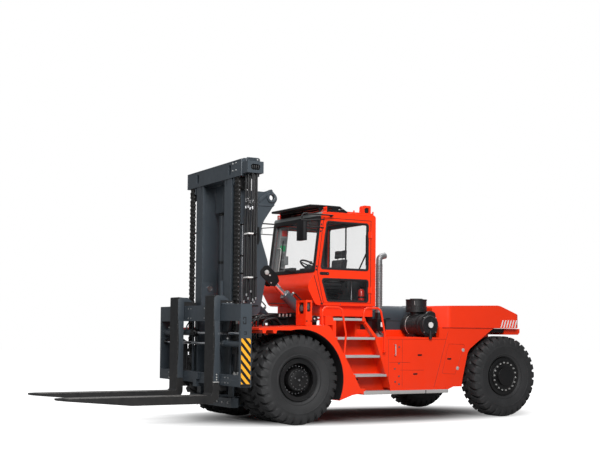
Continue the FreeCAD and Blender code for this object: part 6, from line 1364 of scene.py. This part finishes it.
def mirrors():
    """Rounded housings, glass and pivots of the mirrors, and their second arms."""
    low_x, high_x = at(-0.420), at(-0.330)
    low_z, high_z = 3.360, 3.730
    shell = Shape()
    shell.block((low_x - 0.004, 0.926, low_z - 0.004), (high_x + 0.006, 1.164, high_z + 0.004), 0.042)
    shell.rod((at(-0.375), 1.045, 3.720), (at(-0.375), 1.045, 3.760), 0.024, 16, 0.004)
    shell.rod((at(-0.395), 0.985, 3.742), (at(-0.930), 0.945, 3.800), 0.0095, 10)
    shell.rod((at(-0.395), 0.985, 3.640), (at(-0.915), 0.940, 3.640), 0.0095, 10)
    shell.rod((at(-0.600), 0.968, 3.764), (at(-0.600), 0.962, 3.640), 0.0075, 8)
    shell.block((at(-1.098), 0.930, 3.850), (at(-1.050), 0.942, 3.890), 0.003)
    shell.mirror().piece("mirror_shells", "chassis", "plastic", "black_plastic")
    panes = Shape()
    panes.prism(rounded((0.946, low_z + 0.016), (1.144, high_z - 0.016), 0.030), "x", low_x - 0.0075,
                low_x - 0.003, 0.001)
    panes.mirror().piece("mirror_panes", "chassis", "mirror", "chrome_rod")


# Body ----------------------------------------------------------------------------------------

SIDE_FACE = 1.500
TREAD_EDGE = 1.542
RAIL_Y = 1.5613
SILL_TOP = 0.570
ARCH_RADIUS = 0.9045


def step_caps():
    """Light-grey treads, platform edge and sill over the steps."""
    caps = Shape()
    for z, front, back in ((0.880, -1.262, -1.955), (1.235, -1.045, -1.800), (1.570, -0.868, -1.690),
                           (1.920, -0.775, -1.440)):
        caps.block((at(back), 1.255, z - 0.040), (at(front), TREAD_EDGE + 0.004, z + 0.0035), 0.004)
        for i in range(4):
            caps.block((at(back) + 0.03, 1.285 + 0.062 * i, z + 0.002),
                       (at(front) - 0.03, 1.305 + 0.062 * i, z + 0.007),
                       0.002)
    caps.block((at(-3.425), 1.296, SILL_TOP - 0.064), (at(-1.446), TREAD_EDGE + 0.004, SILL_TOP + 0.003),
               0.006)
    caps.mirror().piece("step_treads", "chassis", "grey", "painted_orange")
    skirt = Shape()
    skirt.block((at(-3.400), 1.490, SILL_TOP - 0.01), (at(-2.070), SIDE_FACE - 0.001, 0.626), 0.002)
    skirt.block((at(-2.300), 1.196, SILL_TOP - 0.02), (at(-1.460), 1.226, 0.700), 0.002)
    skirt.prism(((at(-1.480), 0.515), (at(-1.480), 0.625), (at(-1.330), 0.625), (at(-1.400), 0.515)),
                "y", 1.300, 1.545, 0.006)
    skirt.prism(((at(-3.380), 0.560), (at(-3.425), 0.560), (at(-3.740), 0.680), (at(-3.380), 0.680)),
                "y", 1.440, SIDE_FACE - 0.001, 0.002)
    skirt.mirror().piece("sill_skirts", "chassis", "orange", "painted_orange")
    marks = Shape()
    for z in (0.880, 1.235, 1.570):
        x = at(-2.085 + 0.344 * (z - 0.62))
        marks.block((x + 0.052, TREAD_EDGE - 0.02, z - 0.030), (x + 0.090, TREAD_EDGE + 0.002, z - 0.012),
                    0.003)
    marks.block((at(-2.885), TREAD_EDGE, SILL_TOP - 0.062),
                (at(-2.865), TREAD_EDGE + 0.0055, SILL_TOP - 0.002), 0.001)
    marks.rod((at(-1.50), 1.226, 0.780), (at(-1.50), 1.236, 0.780), 0.016, 16, 0.003)
    marks.mirror().piece("step_stops", "chassis", "black", "painted_black")
    feet = Shape()
    feet.rod((at(-1.900), SIDE_FACE - 0.001, 1.300), (at(-1.900), SIDE_FACE + 0.010, 1.300), 0.040, 20, 0.003)
    for x, low, high in ((-0.520, 1.80, 1.925), (-1.420, 1.870, 1.935)):
        feet.rod((at(x), RAIL_Y, low), (at(x), RAIL_Y, high), 0.030, 20, 0.004)
    feet.mirror().piece("handrail_feet", "chassis", "orange", "painted_orange")


def front_arch_shade():
    """Black sheets that close the wheel arches under the front fenders: painted shade where the insides of
    the arches fall dark.
    """
    shaded_arch = Shape()
    outer, inner = (arc((AXLE.x, AXLE.z), radius, 78, 204, 40)
                    for radius in (ARCH_RADIUS, ARCH_RADIUS - 0.0055))
    shaded_arch.prism(outer + inner[::-1], "y", 1.080, 1.692, bevel=0)
    shaded_arch.block((at(0.200), 1.080, 1.6835), (at(0.820), 1.692, 1.6895), 0.001)
    shaded_arch.mirror().piece("front_arch_shade", "chassis", "seal", "painted_black")


def deck_horn():
    """A round horn and its black bracket beside the cab."""
    x, z = at(-0.574), 1.905
    horn = Shape()
    horn.lathe(((0.0, 0.0), (0.062, 0.0), (0.066, 0.010), (0.058, 0.016), (0.030, 0.004), (0.0, 0.004)),
               (x, 1.196, z), steps=40)
    horn.rod((x, 1.060, z), (x, 1.198, z), 0.045, 32, 0.004)
    horn.block((at(-0.690), 1.020, 1.795), (at(-0.560), 1.080, 1.955), 0.008)
    horn.mirror().piece("deck_horns", "chassis", "plastic", "black_plastic")
    dome = Shape()
    dome.ball((x, 1.199, z), 0.020)
    dome.mirror().piece("horn_domes", "chassis", "bolt", "chrome_rod")


def front_lamps():
    """Bezels, lenses and dark pockets of the lamp posts."""
    front, side = at(-0.104), 1.680
    dark = Shape()
    lamp_z = 2.235 - 0.038 - 0.105
    dark.prism(rounded((1.505 - 0.088, lamp_z - 0.098), (1.505 + 0.088, lamp_z + 0.098), 0.018), "x",
               front - 0.0555, front - 0.0535, 0)
    dark.lathe(((0.060, 0.0), (0.060, 0.022), (0.074, 0.022), (0.076, 0.016), (0.076, -0.004)),
               (front - 0.032, 1.505, lamp_z), axis="x", steps=40)
    dark.prism(rounded((at(-0.206), lamp_z - 0.064), (at(-0.134), lamp_z + 0.100), 0.016), "y",
               side - 0.0278, side - 0.0262, 0)
    dark.screws([(at(x), side, 1.86) for x in (-0.215, -0.125)], "y", 0.012, 0.010)
    dark.mirror().piece("lamp_bezels", "chassis", "black", "painted_black")
    lens = Shape()
    lens.lathe(((0.0, 0.012), (0.030, 0.011), (0.058, 0.005), (0.059, -0.004), (0.0, -0.004)),
               (front - 0.018, 1.505, lamp_z), axis="x", steps=40)
    lens.prism(rounded((at(-0.190), lamp_z - 0.030), (at(-0.150), lamp_z + 0.080), 0.008), "y",
               side - 0.0262, side - 0.020, 0.002)
    lens.mirror().piece("lamp_lenses", "chassis", "lens", "cab_glass")


def side_panels():
    """Seams, access door, latches, bolts, drain plugs and grab handle of the side bodies."""
    y = SIDE_FACE
    seams = Shape()

    def line(first, second, width=0.0035):
        """A straight seam on the side face."""
        seams.rod((at(first[0]), y, first[1]), (at(second[0]), y, second[1]), width, 6)

    line((-3.447, 1.700), (-3.106, 0.622), 0.005)
    line((-3.300, 1.770), (-4.600, 1.770), 0.011)
    corners = softened(((at(-3.464), 1.455), (at(-3.869), 1.445), (at(-3.621), 0.865), (at(-3.298), 0.880)),
                       0.03, 3)
    for first, second in zip(corners, corners[1:] + corners[:1]):
        seams.rod((first[0], y, first[1]), (second[0], y, second[1]), 0.0032, 6)
    line((-2.050, 1.105), (-2.530, 1.100))
    line((-2.300, 0.955), (-2.860, 0.950))
    line((-2.010, 1.540), (-3.395, 1.545))
    line((-2.030, 1.535), (-2.030, 0.740))
    line((-2.350, 1.535), (-2.350, 0.640))
    seams.mirror().piece("panel_seams", "chassis", "orange_dark", "painted_orange")
    dark = Shape()
    for x, z in ((-2.761, 1.239), (-2.656, 0.878), (-3.475, 1.163)):
        dark.prism(rounded((at(x) - 0.050, z - 0.015), (at(x) + 0.050, z + 0.015), 0.013), "y", y - 0.004,
                   y + 0.005, 0.002)
    dark.mirror().piece("panel_latches", "chassis", "black", "painted_black")
    bright = Shape()
    for x, z in ((-3.822, 1.335), (-3.683, 0.980)):
        bright.lathe(((0.0, 0.0), (0.0, 0.010), (0.012, 0.011), (0.020, 0.006), (0.034, 0.005), (0.036, 0.0)),
                     (at(x), y, z), steps=28)
    bright.rod((at(-2.172), y + 0.038, 1.235), (at(-2.172), y + 0.038, 1.440), 0.010, 14)
    for z in (1.240, 1.435):
        bright.rod((at(-2.172), y, z), (at(-2.172), y + 0.038, z), 0.010, 12, 0.001)
    bright.mirror().piece("panel_bolts", "chassis", "bolt", "chrome_rod")
    dots = Shape()
    for x, z in ((-2.274, 1.395), (-2.272, 1.080), (-2.174, 0.980), (-2.273, 0.840), (-2.184, 0.735),
                 (-2.274, 0.690)):
        dots.rod((at(x), y - 0.001, z), (at(x), y + 0.006, z), 0.017, 18, 0.002)
        dots.rod((at(x), y + 0.005, z), (at(x), y + 0.010, z), 0.009, 6, 0.001)
    dots.mirror().piece("panel_plugs", "chassis", "engine", "painted_black")
    ledge = Shape()
    ledge.block((at(-3.222), 0.757, 1.574), (at(-2.340), 0.790, 1.722), 0.008)
    ledge.block((at(-2.090), 0.757, 1.574), (at(-1.760), 0.790, 1.722), 0.008)
    ledge.block((at(-3.222), 0.757, 1.574), (at(-2.340), 1.380, 1.5865), 0.003)
    ledge.mirror().piece("hood_ledges", "chassis", "orange", "painted_orange")


def counterweight_trim():
    """White slanted bars, underside with a black sheet of painted shade over the steer wheels, tow pin, plugs
    and tail lamps of the counterweight.
    """
    bars = Shape()
    for i in range(6):
        x = -4.815 - 0.072 * i
        bars.prism(((at(x), 1.785), (at(x + 0.032), 1.785), (at(x - 0.020), 1.940), (at(x - 0.052), 1.940)),
                   "y", SIDE_FACE - 0.002, SIDE_FACE + 0.0012, bevel=0)
    bars.mirror().piece("weight_bars", "chassis", "white", "painted_orange")
    belly = Shape()
    belly.prism(((at(-4.980), 1.645), (at(-4.980), 1.768), (at(-5.400), 1.768), (at(-5.400), 1.690),
                 (at(-5.360), 1.645)),
                "y", -1.380, 1.380, 0.010)
    belly.piece("weight_belly", "chassis", "orange", "painted_orange")
    # A black sheet over the steer wheels under the counterweight: painted shade.
    shade = Shape()
    shade.block((at(-4.985), -1.370, 1.690), (at(-4.380), 1.370, 1.768), 0.006)
    shade.piece("steer_arch_shade", "chassis", "seal", "painted_black")
    pin = Shape()
    hitch = Vector((at(-5.405), 0, 1.450))
    pin.rod(hitch - Vector((0, 0, 0.125)), hitch + Vector((0, 0, 0.125)), 0.0255, 28, 0.003)
    pin.rod(hitch + Vector((0, 0, 0.105)), hitch + Vector((0, 0, 0.132)), 0.042, 28, 0.005)
    pin.tube((hitch + Vector((0, -0.020, 0.130)), hitch + Vector((0, -0.045, 0.175)),
              hitch + Vector((0, 0, 0.200)),
              hitch + Vector((0, 0.045, 0.175)), hitch + Vector((0, 0.020, 0.130))), 0.007, 8)
    pin.piece("tow_pin", "chassis", "steel", "chrome_rod")
    dark = Shape()
    rear = STEER_AXLE.x - 0.650
    for y in (-0.62, 0.62):
        dark.lathe(((0.0, 0.002), (0.052, 0.002), (0.060, 0.006), (0.066, 0.0), (0.060, -0.004),
                    (0.0, -0.004)),
                   (rear - 0.001, y, 1.890), axis="x", steps=32)
    for x, y in ((-3.60, 0.55), (-3.60, -0.55), (-4.95, 0.55), (-4.95, -0.55)):
        dark.rod((at(x), y, 2.190), (at(x), y, 2.212), 0.045, 24, 0.005)
    dark.piece("weight_plugs", "chassis", "black", "painted_black")
    lamps = Shape()
    for y in (1.02, 1.12, -1.02, -1.12):
        lamps.prism(rounded((y - 0.042, 1.850), (y + 0.042, 1.930), 0.014), "x", rear + 0.010, rear + 0.045,
                    0.004)
    lamps.piece("tail_lamps", "chassis", "red", "painted_orange")


# Engine --------------------------------------------------------------------------------------

HOOD_SIDE = 0.760


def hood_trim():
    """Latch recesses and vents in painted shade, and seams of the hood."""
    dark = Shape()
    # Black marks for the latch recesses and the vent slots: painted shade in the openings.
    for hand in (1, -1):
        for x in (-2.530, -3.050):
            dark.prism(rounded((at(x) - 0.055, 1.925), (at(x) + 0.055, 1.950), 0.011), "y",
                       hand * (HOOD_SIDE - 0.004), hand * (HOOD_SIDE + 0.004), 0.001)
        for i in range(7):
            dark.block((at(-2.168) - 0.002, hand * 0.42 - 0.16, 1.950 + 0.020 * i),
                       (at(-2.158), hand * 0.42 + 0.16, 1.960 + 0.020 * i), 0.002)
    dark.piece("hood_latch_and_vent_shade", "hood", "black", "painted_slate")
    seals = Shape()
    for hand in (1, -1):
        seals.rod((at(-3.205), hand * (HOOD_SIDE + 0.001), 1.899),
                  (at(-2.162), hand * (HOOD_SIDE + 0.001), 1.899), 0.006, 8)
    seals.rod((at(-2.158), -0.755, 1.899), (at(-2.158), 0.755, 1.899), 0.006, 8)
    seals.piece("hood_seal", "chassis", "seal", "painted_black")


def exhaust():
    """A ribbed flexible sleeve, clamps, mouth and boxed silencer of the stack."""
    x, y = at(-2.215), 0.900
    sleeve = Shape()
    low, count, pitch = 2.060, 28, 0.0325
    outline = [(0.0585, low)]
    for i in range(count):
        outline += [(0.0605, low + pitch * i), (0.0625, low + pitch * (i + 0.25)),
                    (0.0690, low + pitch * (i + 0.40)),
                    (0.0690, low + pitch * (i + 0.70)), (0.0625, low + pitch * (i + 0.85))]
    outline += [(0.0585, low + pitch * count)]
    sleeve.lathe(outline, (x, y, 0), axis="z", steps=36)
    for z in (low - 0.012, low + pitch * count + 0.004):
        sleeve.lathe(((0.0595, 0.0), (0.0595, 0.026), (0.0675, 0.026), (0.0675, 0.0)), (x, y, z), axis="z",
                     steps=36)
        sleeve.block((x - 0.010, y + 0.062, z + 0.003), (x + 0.022, y + 0.080, z + 0.023), 0.003)
    sleeve.piece("stack_sleeve", "chassis", "stack", "stack_steel")
    dark = Shape()
    dark.block((x - 0.099, y - 0.099, 1.694), (x + 0.099, y + 0.099, 1.935), 0.012)
    dark.rod((x, y, 1.930), (x, y, 2.050), 0.072, 36, 0.004)
    for z in (1.745, 1.885):
        dark.block((x - 0.103, y - 0.103, z - 0.010), (x + 0.103, y + 0.103, z + 0.010), 0.003)
    dark.tube(((x + 0.05, y + 0.06, 1.700), (x + 0.06, y + 0.10, 1.665), (x + 0.02, y + 0.10, 1.630),
               (x - 0.03, y + 0.06, 1.640)),
              0.010, 8)
    dark.piece("silencer_cover", "chassis", "black", "painted_black")
    plate = Shape()
    plate.block((x - 0.026, y + 0.0985, 1.775), (x + 0.026, y + 0.1025, 1.865), 0.002)
    plate.piece("silencer_plate", "chassis", "white", "stack_steel")


def air_cleaner_trim():
    """Ribs, clips, cover, inlet duct and straps of the air cleaner."""
    x, z = at(-2.990), 1.820
    end = 1.500
    dark = Shape()
    for i in range(9):
        along = 0.93 + 0.056 * i
        dark.lathe(((0.209, along), (0.209, along + 0.022), (0.2145, along + 0.018), (0.2145, along + 0.004)),
                   (x, 0, z), steps=56)
    dark.lathe(((0.150, end + 0.018), (0.150, end + 0.030), (0.172, end + 0.034), (0.186, end + 0.020),
                (0.192, end - 0.010),
                (0.180, end - 0.010), (0.168, end + 0.018)), (x, 0, z), steps=64)
    dark.lathe(((0.058, end + 0.020), (0.058, end + 0.042), (0.070, end + 0.042), (0.078, end + 0.020)),
               (x, 0, z), steps=48)
    for i in range(8):
        turn = math.tau * (i + 0.5) / 8
        inner, outer = (Vector((x + radius * math.cos(turn), end + 0.026, z + radius * math.sin(turn)))
                        for radius in (0.080, 0.150))
        dark.rod(inner, outer, 0.006, 8)
    dark.rod((x, 0.762, z), (x, 0.905, z), 0.165, 48, 0.006)
    dark.rod((x, 0.835, z), (x, 0.868, z), 0.2120, 56, 0.006)
    dark.rod((at(-3.115), 1.090, 1.995), (at(-3.115), 1.400, 1.995), 0.094, 44, 0.008)
    dark.rod((at(-3.115), 1.350, 1.995), (at(-3.115), 1.372, 1.995), 0.101, 44, 0.003)
    dark.lathe(((0.205, 0.0), (0.205, 0.020), (0.211, 0.024), (0.211, 0.0)), (x, 1.070, 2.300), axis="z",
               steps=56)
    dark.lathe(((0.20, 0.0), (0.203, 0.004), (0.203, 0.020), (0.20, 0.024)), (x, 1.070, 2.190), axis="z",
               steps=56)
    for i in range(36):
        turn = math.tau * i / 36
        place = Vector((x + 0.2005 * math.cos(turn), 1.070 + 0.2005 * math.sin(turn), 0))
        dark.rod(place + Vector((0, 0, 2.115)), place + Vector((0, 0, 2.185)), 0.0045, 6)
    dark.rod((x, 1.070, 2.318), (x, 1.070, 2.3395), 0.020, 16, 0.004)
    dark.piece("cleaner_ribs", "chassis", "plastic", "black_plastic")
    disc = Shape()
    disc.rod((x, end + 0.040, z), (x, end + 0.051, z), 0.056, 40, 0.004)
    disc.piece("cleaner_disc", "chassis", "white", "black_plastic")
    bright = Shape()
    for i in range(4):
        turn = math.tau * (i + 0.5) / 4
        place = Vector((x + 0.196 * math.cos(turn), end - 0.020, z + 0.196 * math.sin(turn)))
        bright.rod(place, place + Vector((0, 0.050, 0)), 0.0065, 8)
        place = Vector((x + 0.203 * math.cos(turn), 1.070 + 0.203 * math.sin(turn), 2.215))
        bright.rod(place, place + Vector((0, 0, 0.075)), 0.0055, 8)
    for y in (0.906, 1.075):
        bright.lathe(((0.0955, -0.007), (0.0955, 0.007), (0.099, 0.007), (0.099, -0.007)),
                     (at(-3.115), y + 0.26, 1.995), steps=40)
    bright.lathe(((0.216, -0.008), (0.216, 0.008), (0.2195, 0.008), (0.2195, -0.008)), (x, 1.000, z),
                 steps=64)
    bright.piece("cleaner_clips", "chassis", "bolt", "black_plastic")


# Chassis -------------------------------------------------------------------------------------

def deck_fittings():
    """Steel fittings along the hoses on the front deck."""
    hoses = Box("deck_hoses")
    bright = Shape()
    for hand in (1, -1):
        for i in range(4):
            x = at(-0.30 - 0.05 * i)
            y = hand * (0.36 + 0.05 * i)
            bright.rod((x, y, hoses.hi.z - 0.05), (x, y, hoses.hi.z - 0.002), 0.014, 6, 0.002)
    bright.piece("deck_fittings", "chassis", "bolt", "painted_slate")


def axle_trim():
    """Bolts of the drive axle's cover and seats."""
    drive = Box("drive_axle")
    bolts = Shape()
    bolts.nuts((drive.lo.x - 0.002, 0, AXLE.z), 0.155, 12, "x", 0.014, -0.012)
    for hand in (1, -1):
        for x in (-0.12, 0.12):
            for y in (0.70, 0.82):
                bolts.rod((AXLE.x + x, hand * y, drive.hi.z - 0.004),
                          (AXLE.x + x, hand * y, drive.hi.z + 0.012), 0.018, 6, 0.002)
    bolts.piece("axle_bolts", "chassis", "bolt", "painted_black")


# Studio --------------------------------------------------------------------------------------

CAMERA_PLACE = (9.9754, 17.6444, 1.6781)
CAMERA_TURN = 30.01
CAMERA_RISE = 2.548
CAMERA_ROLL = 0.554
LENS = 62.16
SHIFT = 0.1
SKY = 0.26
FLOOR_GREY = 0.32
# The floor's glow next to the truck, kept low as a painted shadow, and its full glow far from it.
FLOOR_GLOW_IN_PAINTED_SHADOW = 0.0
FLOOR_GLOW_BEYOND_PAINTED_SHADOW = 1.0


def camera():
    """The camera at the truck's front left."""
    data = bpy.data.cameras.new("camera")
    data.lens = LENS
    data.sensor_width = 36
    data.shift_y = SHIFT
    data.clip_end = 200
    thing = bpy.data.objects.new("camera", data)
    scene.collection.objects.link(thing)
    rise, turn = math.radians(CAMERA_RISE), math.radians(CAMERA_TURN)
    ahead = Vector((-math.sin(turn) * math.cos(rise), -math.cos(turn) * math.cos(rise), math.sin(rise)))
    thing.rotation_mode = "QUATERNION"
    thing.rotation_quaternion = (ahead.to_track_quat("-Z", "Y") @
                                 Matrix.Rotation(math.radians(CAMERA_ROLL), 3, "Z").to_quaternion())
    thing.location = CAMERA_PLACE
    scene.camera = thing


def seen_by(tree, rays, strength):
    """A strength that counts only for some kinds of ray."""
    path = tree.nodes.new("ShaderNodeLightPath")
    most = path.outputs[rays[0]]
    for name in rays[1:]:
        pick = tree.nodes.new("ShaderNodeMath")
        pick.operation = "MAXIMUM"
        tree.links.new(most, pick.inputs[0])
        tree.links.new(path.outputs[name], pick.inputs[1])
        most = pick.outputs[0]
    times = tree.nodes.new("ShaderNodeMath")
    times.operation = "MULTIPLY"
    tree.links.new(most, times.inputs[0])
    if isinstance(strength, bpy.types.NodeSocket):
        tree.links.new(strength, times.inputs[1])
    else:
        times.inputs[1].default_value = strength
    return times.outputs[0]


def surround():
    """White where the camera looks straight or through a pane, and a dim sky for all other light."""
    world = bpy.data.worlds.new("studio")
    scene.world = world
    world.use_nodes = True
    tree = world.node_tree
    tree.nodes.clear()
    output = tree.nodes.new("ShaderNodeOutputWorld")
    seen = tree.nodes.new("ShaderNodeBackground")
    seen.inputs["Color"].default_value = grey(1.0)
    lit = tree.nodes.new("ShaderNodeBackground")
    lit.inputs["Color"].default_value = (0.93, 0.96, 1.0, 1)
    lit.inputs["Strength"].default_value = SKY
    choose = tree.nodes.new("ShaderNodeMixShader")
    tree.links.new(seen_by(tree, ("Is Camera Ray", "Is Transmission Ray"), 1.0), choose.inputs[0])
    tree.links.new(lit.outputs[0], choose.inputs[1])
    tree.links.new(seen.outputs[0], choose.inputs[2])
    tree.links.new(choose.outputs[0], output.inputs[0])


def studio_floor():
    """A pale floor that runs into the white surround, with a soft shadow under the truck: the lamps' real
    shadow, deepened by a painted shadow where the floor's glow fades out in an ellipse round the truck.
    """
    floor_mesh = bpy.data.meshes.new("floor")
    reach = 60.0
    floor_mesh.from_pydata([(-reach, -reach, 0), (reach, -reach, 0), (reach, reach, 0), (-reach, reach, 0)],
                           [], [(0, 1, 2, 3)])
    floor = bpy.data.objects.new("floor", floor_mesh)
    scene.collection.objects.link(floor)
    material = bpy.data.materials.new("pale_floor")
    material.use_nodes = True
    tree = material.node_tree
    tree.nodes.clear()
    output = tree.nodes.new("ShaderNodeOutputMaterial")
    diffuse = tree.nodes.new("ShaderNodeBsdfDiffuse")
    diffuse.inputs["Color"].default_value = grey(FLOOR_GREY)
    place = tree.nodes.new("ShaderNodeTexCoord")
    painted_shadow_distance = tree.nodes.new("ShaderNodeVectorMath")
    painted_shadow_distance.operation = "LENGTH"
    painted_shadow_ellipse = tree.nodes.new("ShaderNodeMapping")
    painted_shadow_ellipse.inputs["Scale"].default_value = (0.50, 1.0, 1.0)
    painted_shadow_ellipse.inputs["Location"].default_value = (0.75, 0.0, 0.0)
    tree.links.new(place.outputs["Object"], painted_shadow_ellipse.inputs[0])
    tree.links.new(painted_shadow_ellipse.outputs[0], painted_shadow_distance.inputs[0])
    # The glow fades in over an ellipse round the truck and leaves a painted shadow under it.
    rise = tree.nodes.new("ShaderNodeMapRange")
    rise.interpolation_type = "SMOOTHSTEP"
    tree.links.new(painted_shadow_distance.outputs["Value"], rise.inputs["Value"])
    for key, value in (("From Min", 1.15), ("From Max", 2.7), ("To Min", FLOOR_GLOW_IN_PAINTED_SHADOW), ("To Max", FLOOR_GLOW_BEYOND_PAINTED_SHADOW)):
        rise.inputs[key].default_value = value
    glow = tree.nodes.new("ShaderNodeEmission")
    glow.inputs["Color"].default_value = grey(1.0)
    tree.links.new(seen_by(tree, ("Is Camera Ray", "Is Transmission Ray"), rise.outputs["Result"]),
                   glow.inputs["Strength"])
    both = tree.nodes.new("ShaderNodeAddShader")
    tree.links.new(diffuse.outputs[0], both.inputs[0])
    tree.links.new(glow.outputs[0], both.inputs[1])
    tree.links.new(both.outputs[0], output.inputs["Surface"])
    floor_mesh.materials.append(material)


def studio():
    """Broad soft lamps, the strongest from the left side and above."""
    surround()
    studio_floor()
    lamp("side_key", (5.0, 13.0, 9.0), (-0.5, 0, 1.6), 6.0, 2100)
    lamp("top_fill", (-1.0, -1.0, 13.0), (-0.5, 0, 0), 9.0, 1300)
    lamp("front_fill", (14.0, 1.0, 6.0), (1.0, 0, 1.8), 5.0, 120)
    lamp("rear_rim", (-12.0, -6.0, 7.0), (-1.0, 0, 1.8), 6.0, 300)


def lamp(name, place, target, size, power):
    """A square lamp that looks at a target."""
    data = bpy.data.lights.new(name, "AREA")
    data.size = size
    data.energy = power
    thing = bpy.data.objects.new(name, data)
    scene.collection.objects.link(thing)
    thing.location = place
    thing.rotation_mode = "QUATERNION"
    thing.rotation_quaternion = (Vector(target) - Vector(place)).to_track_quat("-Z", "Y")


# Everything ----------------------------------------------------------------------------------

CARRIED = {
    "orange": ("fender", "side_body", "handrails", "counterweight", "cab_shell", "_door", "lamp_posts",
               "steps"),
    "slate": ("mast", "carriage", "barrel", "engine_hood", "engine_bay"),
    "black": ("chassis_frame", "axle", "knuckle", "rim", "cab_guard", "cab_mirrors"),
    "fork": ("_fork",), "engine": ("engine_block",), "tyre": ("tyre",), "chain": ("lift_chains",),
    "hose": ("_hoses",), "chrome": ("tilt_rod", "fork_positioner"), "stack": ("exhaust_stack",),
    "plastic": ("air_cleaner", "steering_console"), "fabric": ("operator_seat",),
    "glass": ("cab_glass",), "dark_glass": ("door_glass",),
}


def barred_cheeks(start):
    """Slate paint with black and yellow bars low on the carriage's two side faces."""
    finish = Finish("barred_cheeks")
    moved = finish.node("VectorMath", {0: finish.place, 1: start}, operation="ADD").outputs[0]
    x, y, z = finish.node("SeparateXYZ", {0: moved}).outputs
    reach = finish.node("Math", {0: y}, operation="ABSOLUTE").outputs[0]
    on_side = finish.math("GREATER_THAN", reach, CHEEK_FACE - 0.002)

    def field(left, low, right, high):
        """1 inside a rectangle of the side faces."""
        across = finish.math("MULTIPLY", finish.math("GREATER_THAN", x, at(left)),
                             finish.math("LESS_THAN", x, at(right)))
        along = finish.math("MULTIPLY", finish.math("GREATER_THAN", z, low),
                            finish.math("LESS_THAN", z, high))
        return finish.math("MULTIPLY", on_side, finish.math("MULTIPLY", across, along))

    inside = field(1.048, BEAM_FLOOR + 0.052, 1.228, 1.545)
    marks = field(1.040, BEAM_FLOOR + 0.006, 1.240, BEAM_FLOOR + 0.048)
    for spot in ((1.137, 1.897, 1.199, 1.913), (1.137, 1.787, 1.199, 1.803), (1.136, 1.790, 1.152, 1.910),
                 (1.184, 1.865, 1.200, 1.895), (1.184, 1.805, 1.200, 1.835), (1.125, 1.648, 1.175, 1.662),
                 (1.125, 1.608, 1.175, 1.622), (1.125, 1.610, 1.139, 1.660)):
        marks = finish.math("MAXIMUM", marks, field(*spot))
    slant = finish.node("Math",
                        {0: z, 1: finish.node("Math", {0: x, 1: 1.15}, operation="MULTIPLY").outputs[0]},
                        operation="SUBTRACT").outputs[0]
    turn = finish.node("Math", {0: slant, 1: 6.55}, operation="MULTIPLY").outputs[0]
    bar = finish.math("GREATER_THAN", finish.node("Math", {0: turn}, operation="FRACT").outputs[0], 0.52)
    bars = finish.mix(bar, (0.95, 0.44, 0.02, 1), (0.002, 0.002, 0.002, 1))
    tone = finish.mix(finish.ramp(finish.noise(1.3, 4), 0.3, 0.7), scaled(SLATE, 0.88), scaled(SLATE, 1.06))
    rubbed = finish.math("MULTIPLY", finish.edges(0.006), finish.ramp(finish.noise(23, 5), 0.45, 0.6))
    tone = finish.mix(rubbed, tone, BARE_EDGE)
    tone = finish.mix(marks, tone, (0.003, 0.003, 0.003, 1))
    finish.set(Base_Color=finish.mix(inside, tone, bars), Coat_Weight=0.15, Coat_Roughness=0.12,
               Roughness=finish.ramp(finish.noise(9, 5), 0.3, 0.7, 0.36, 0.48))
    finish.bump(finish.noise(140, 2), 0.12, 0.0006, 0.004)
    return finish.material


def dress_nodes():
    """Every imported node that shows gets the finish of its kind."""
    for node, thing in frame["nodes"].items():
        chosen = [(len(word), finish) for finish, words in CARRIED.items() for word in words if word in node]
        thing.data.materials.clear()
        thing.data.materials.append(FINISHES[max(chosen)[1]])
    carriage = frame["nodes"]["carriage"]
    carriage.data.materials.clear()
    carriage.data.materials.append(barred_cheeks(carriage.matrix_world.translation))


dress_nodes()
camera()
studio()
wheels()
leaf_chains()
head_trim()
stage_hoses()
rail_trim()
lift_cylinders()
mast_foot()
tilt_cylinders()
carriage_trim()
positioner_trim()
fork_trim()
doors()
windscreen()
linings()
control_column()
driver_controls()
seat()
roof()
mirrors()
step_caps()
front_arch_shade()
deck_horn()
front_lamps()
side_panels()
counterweight_trim()
hood_trim()
exhaust()
air_cleaner_trim()
deck_fittings()
axle_trim()

scene.view_settings.view_transform = "Standard"
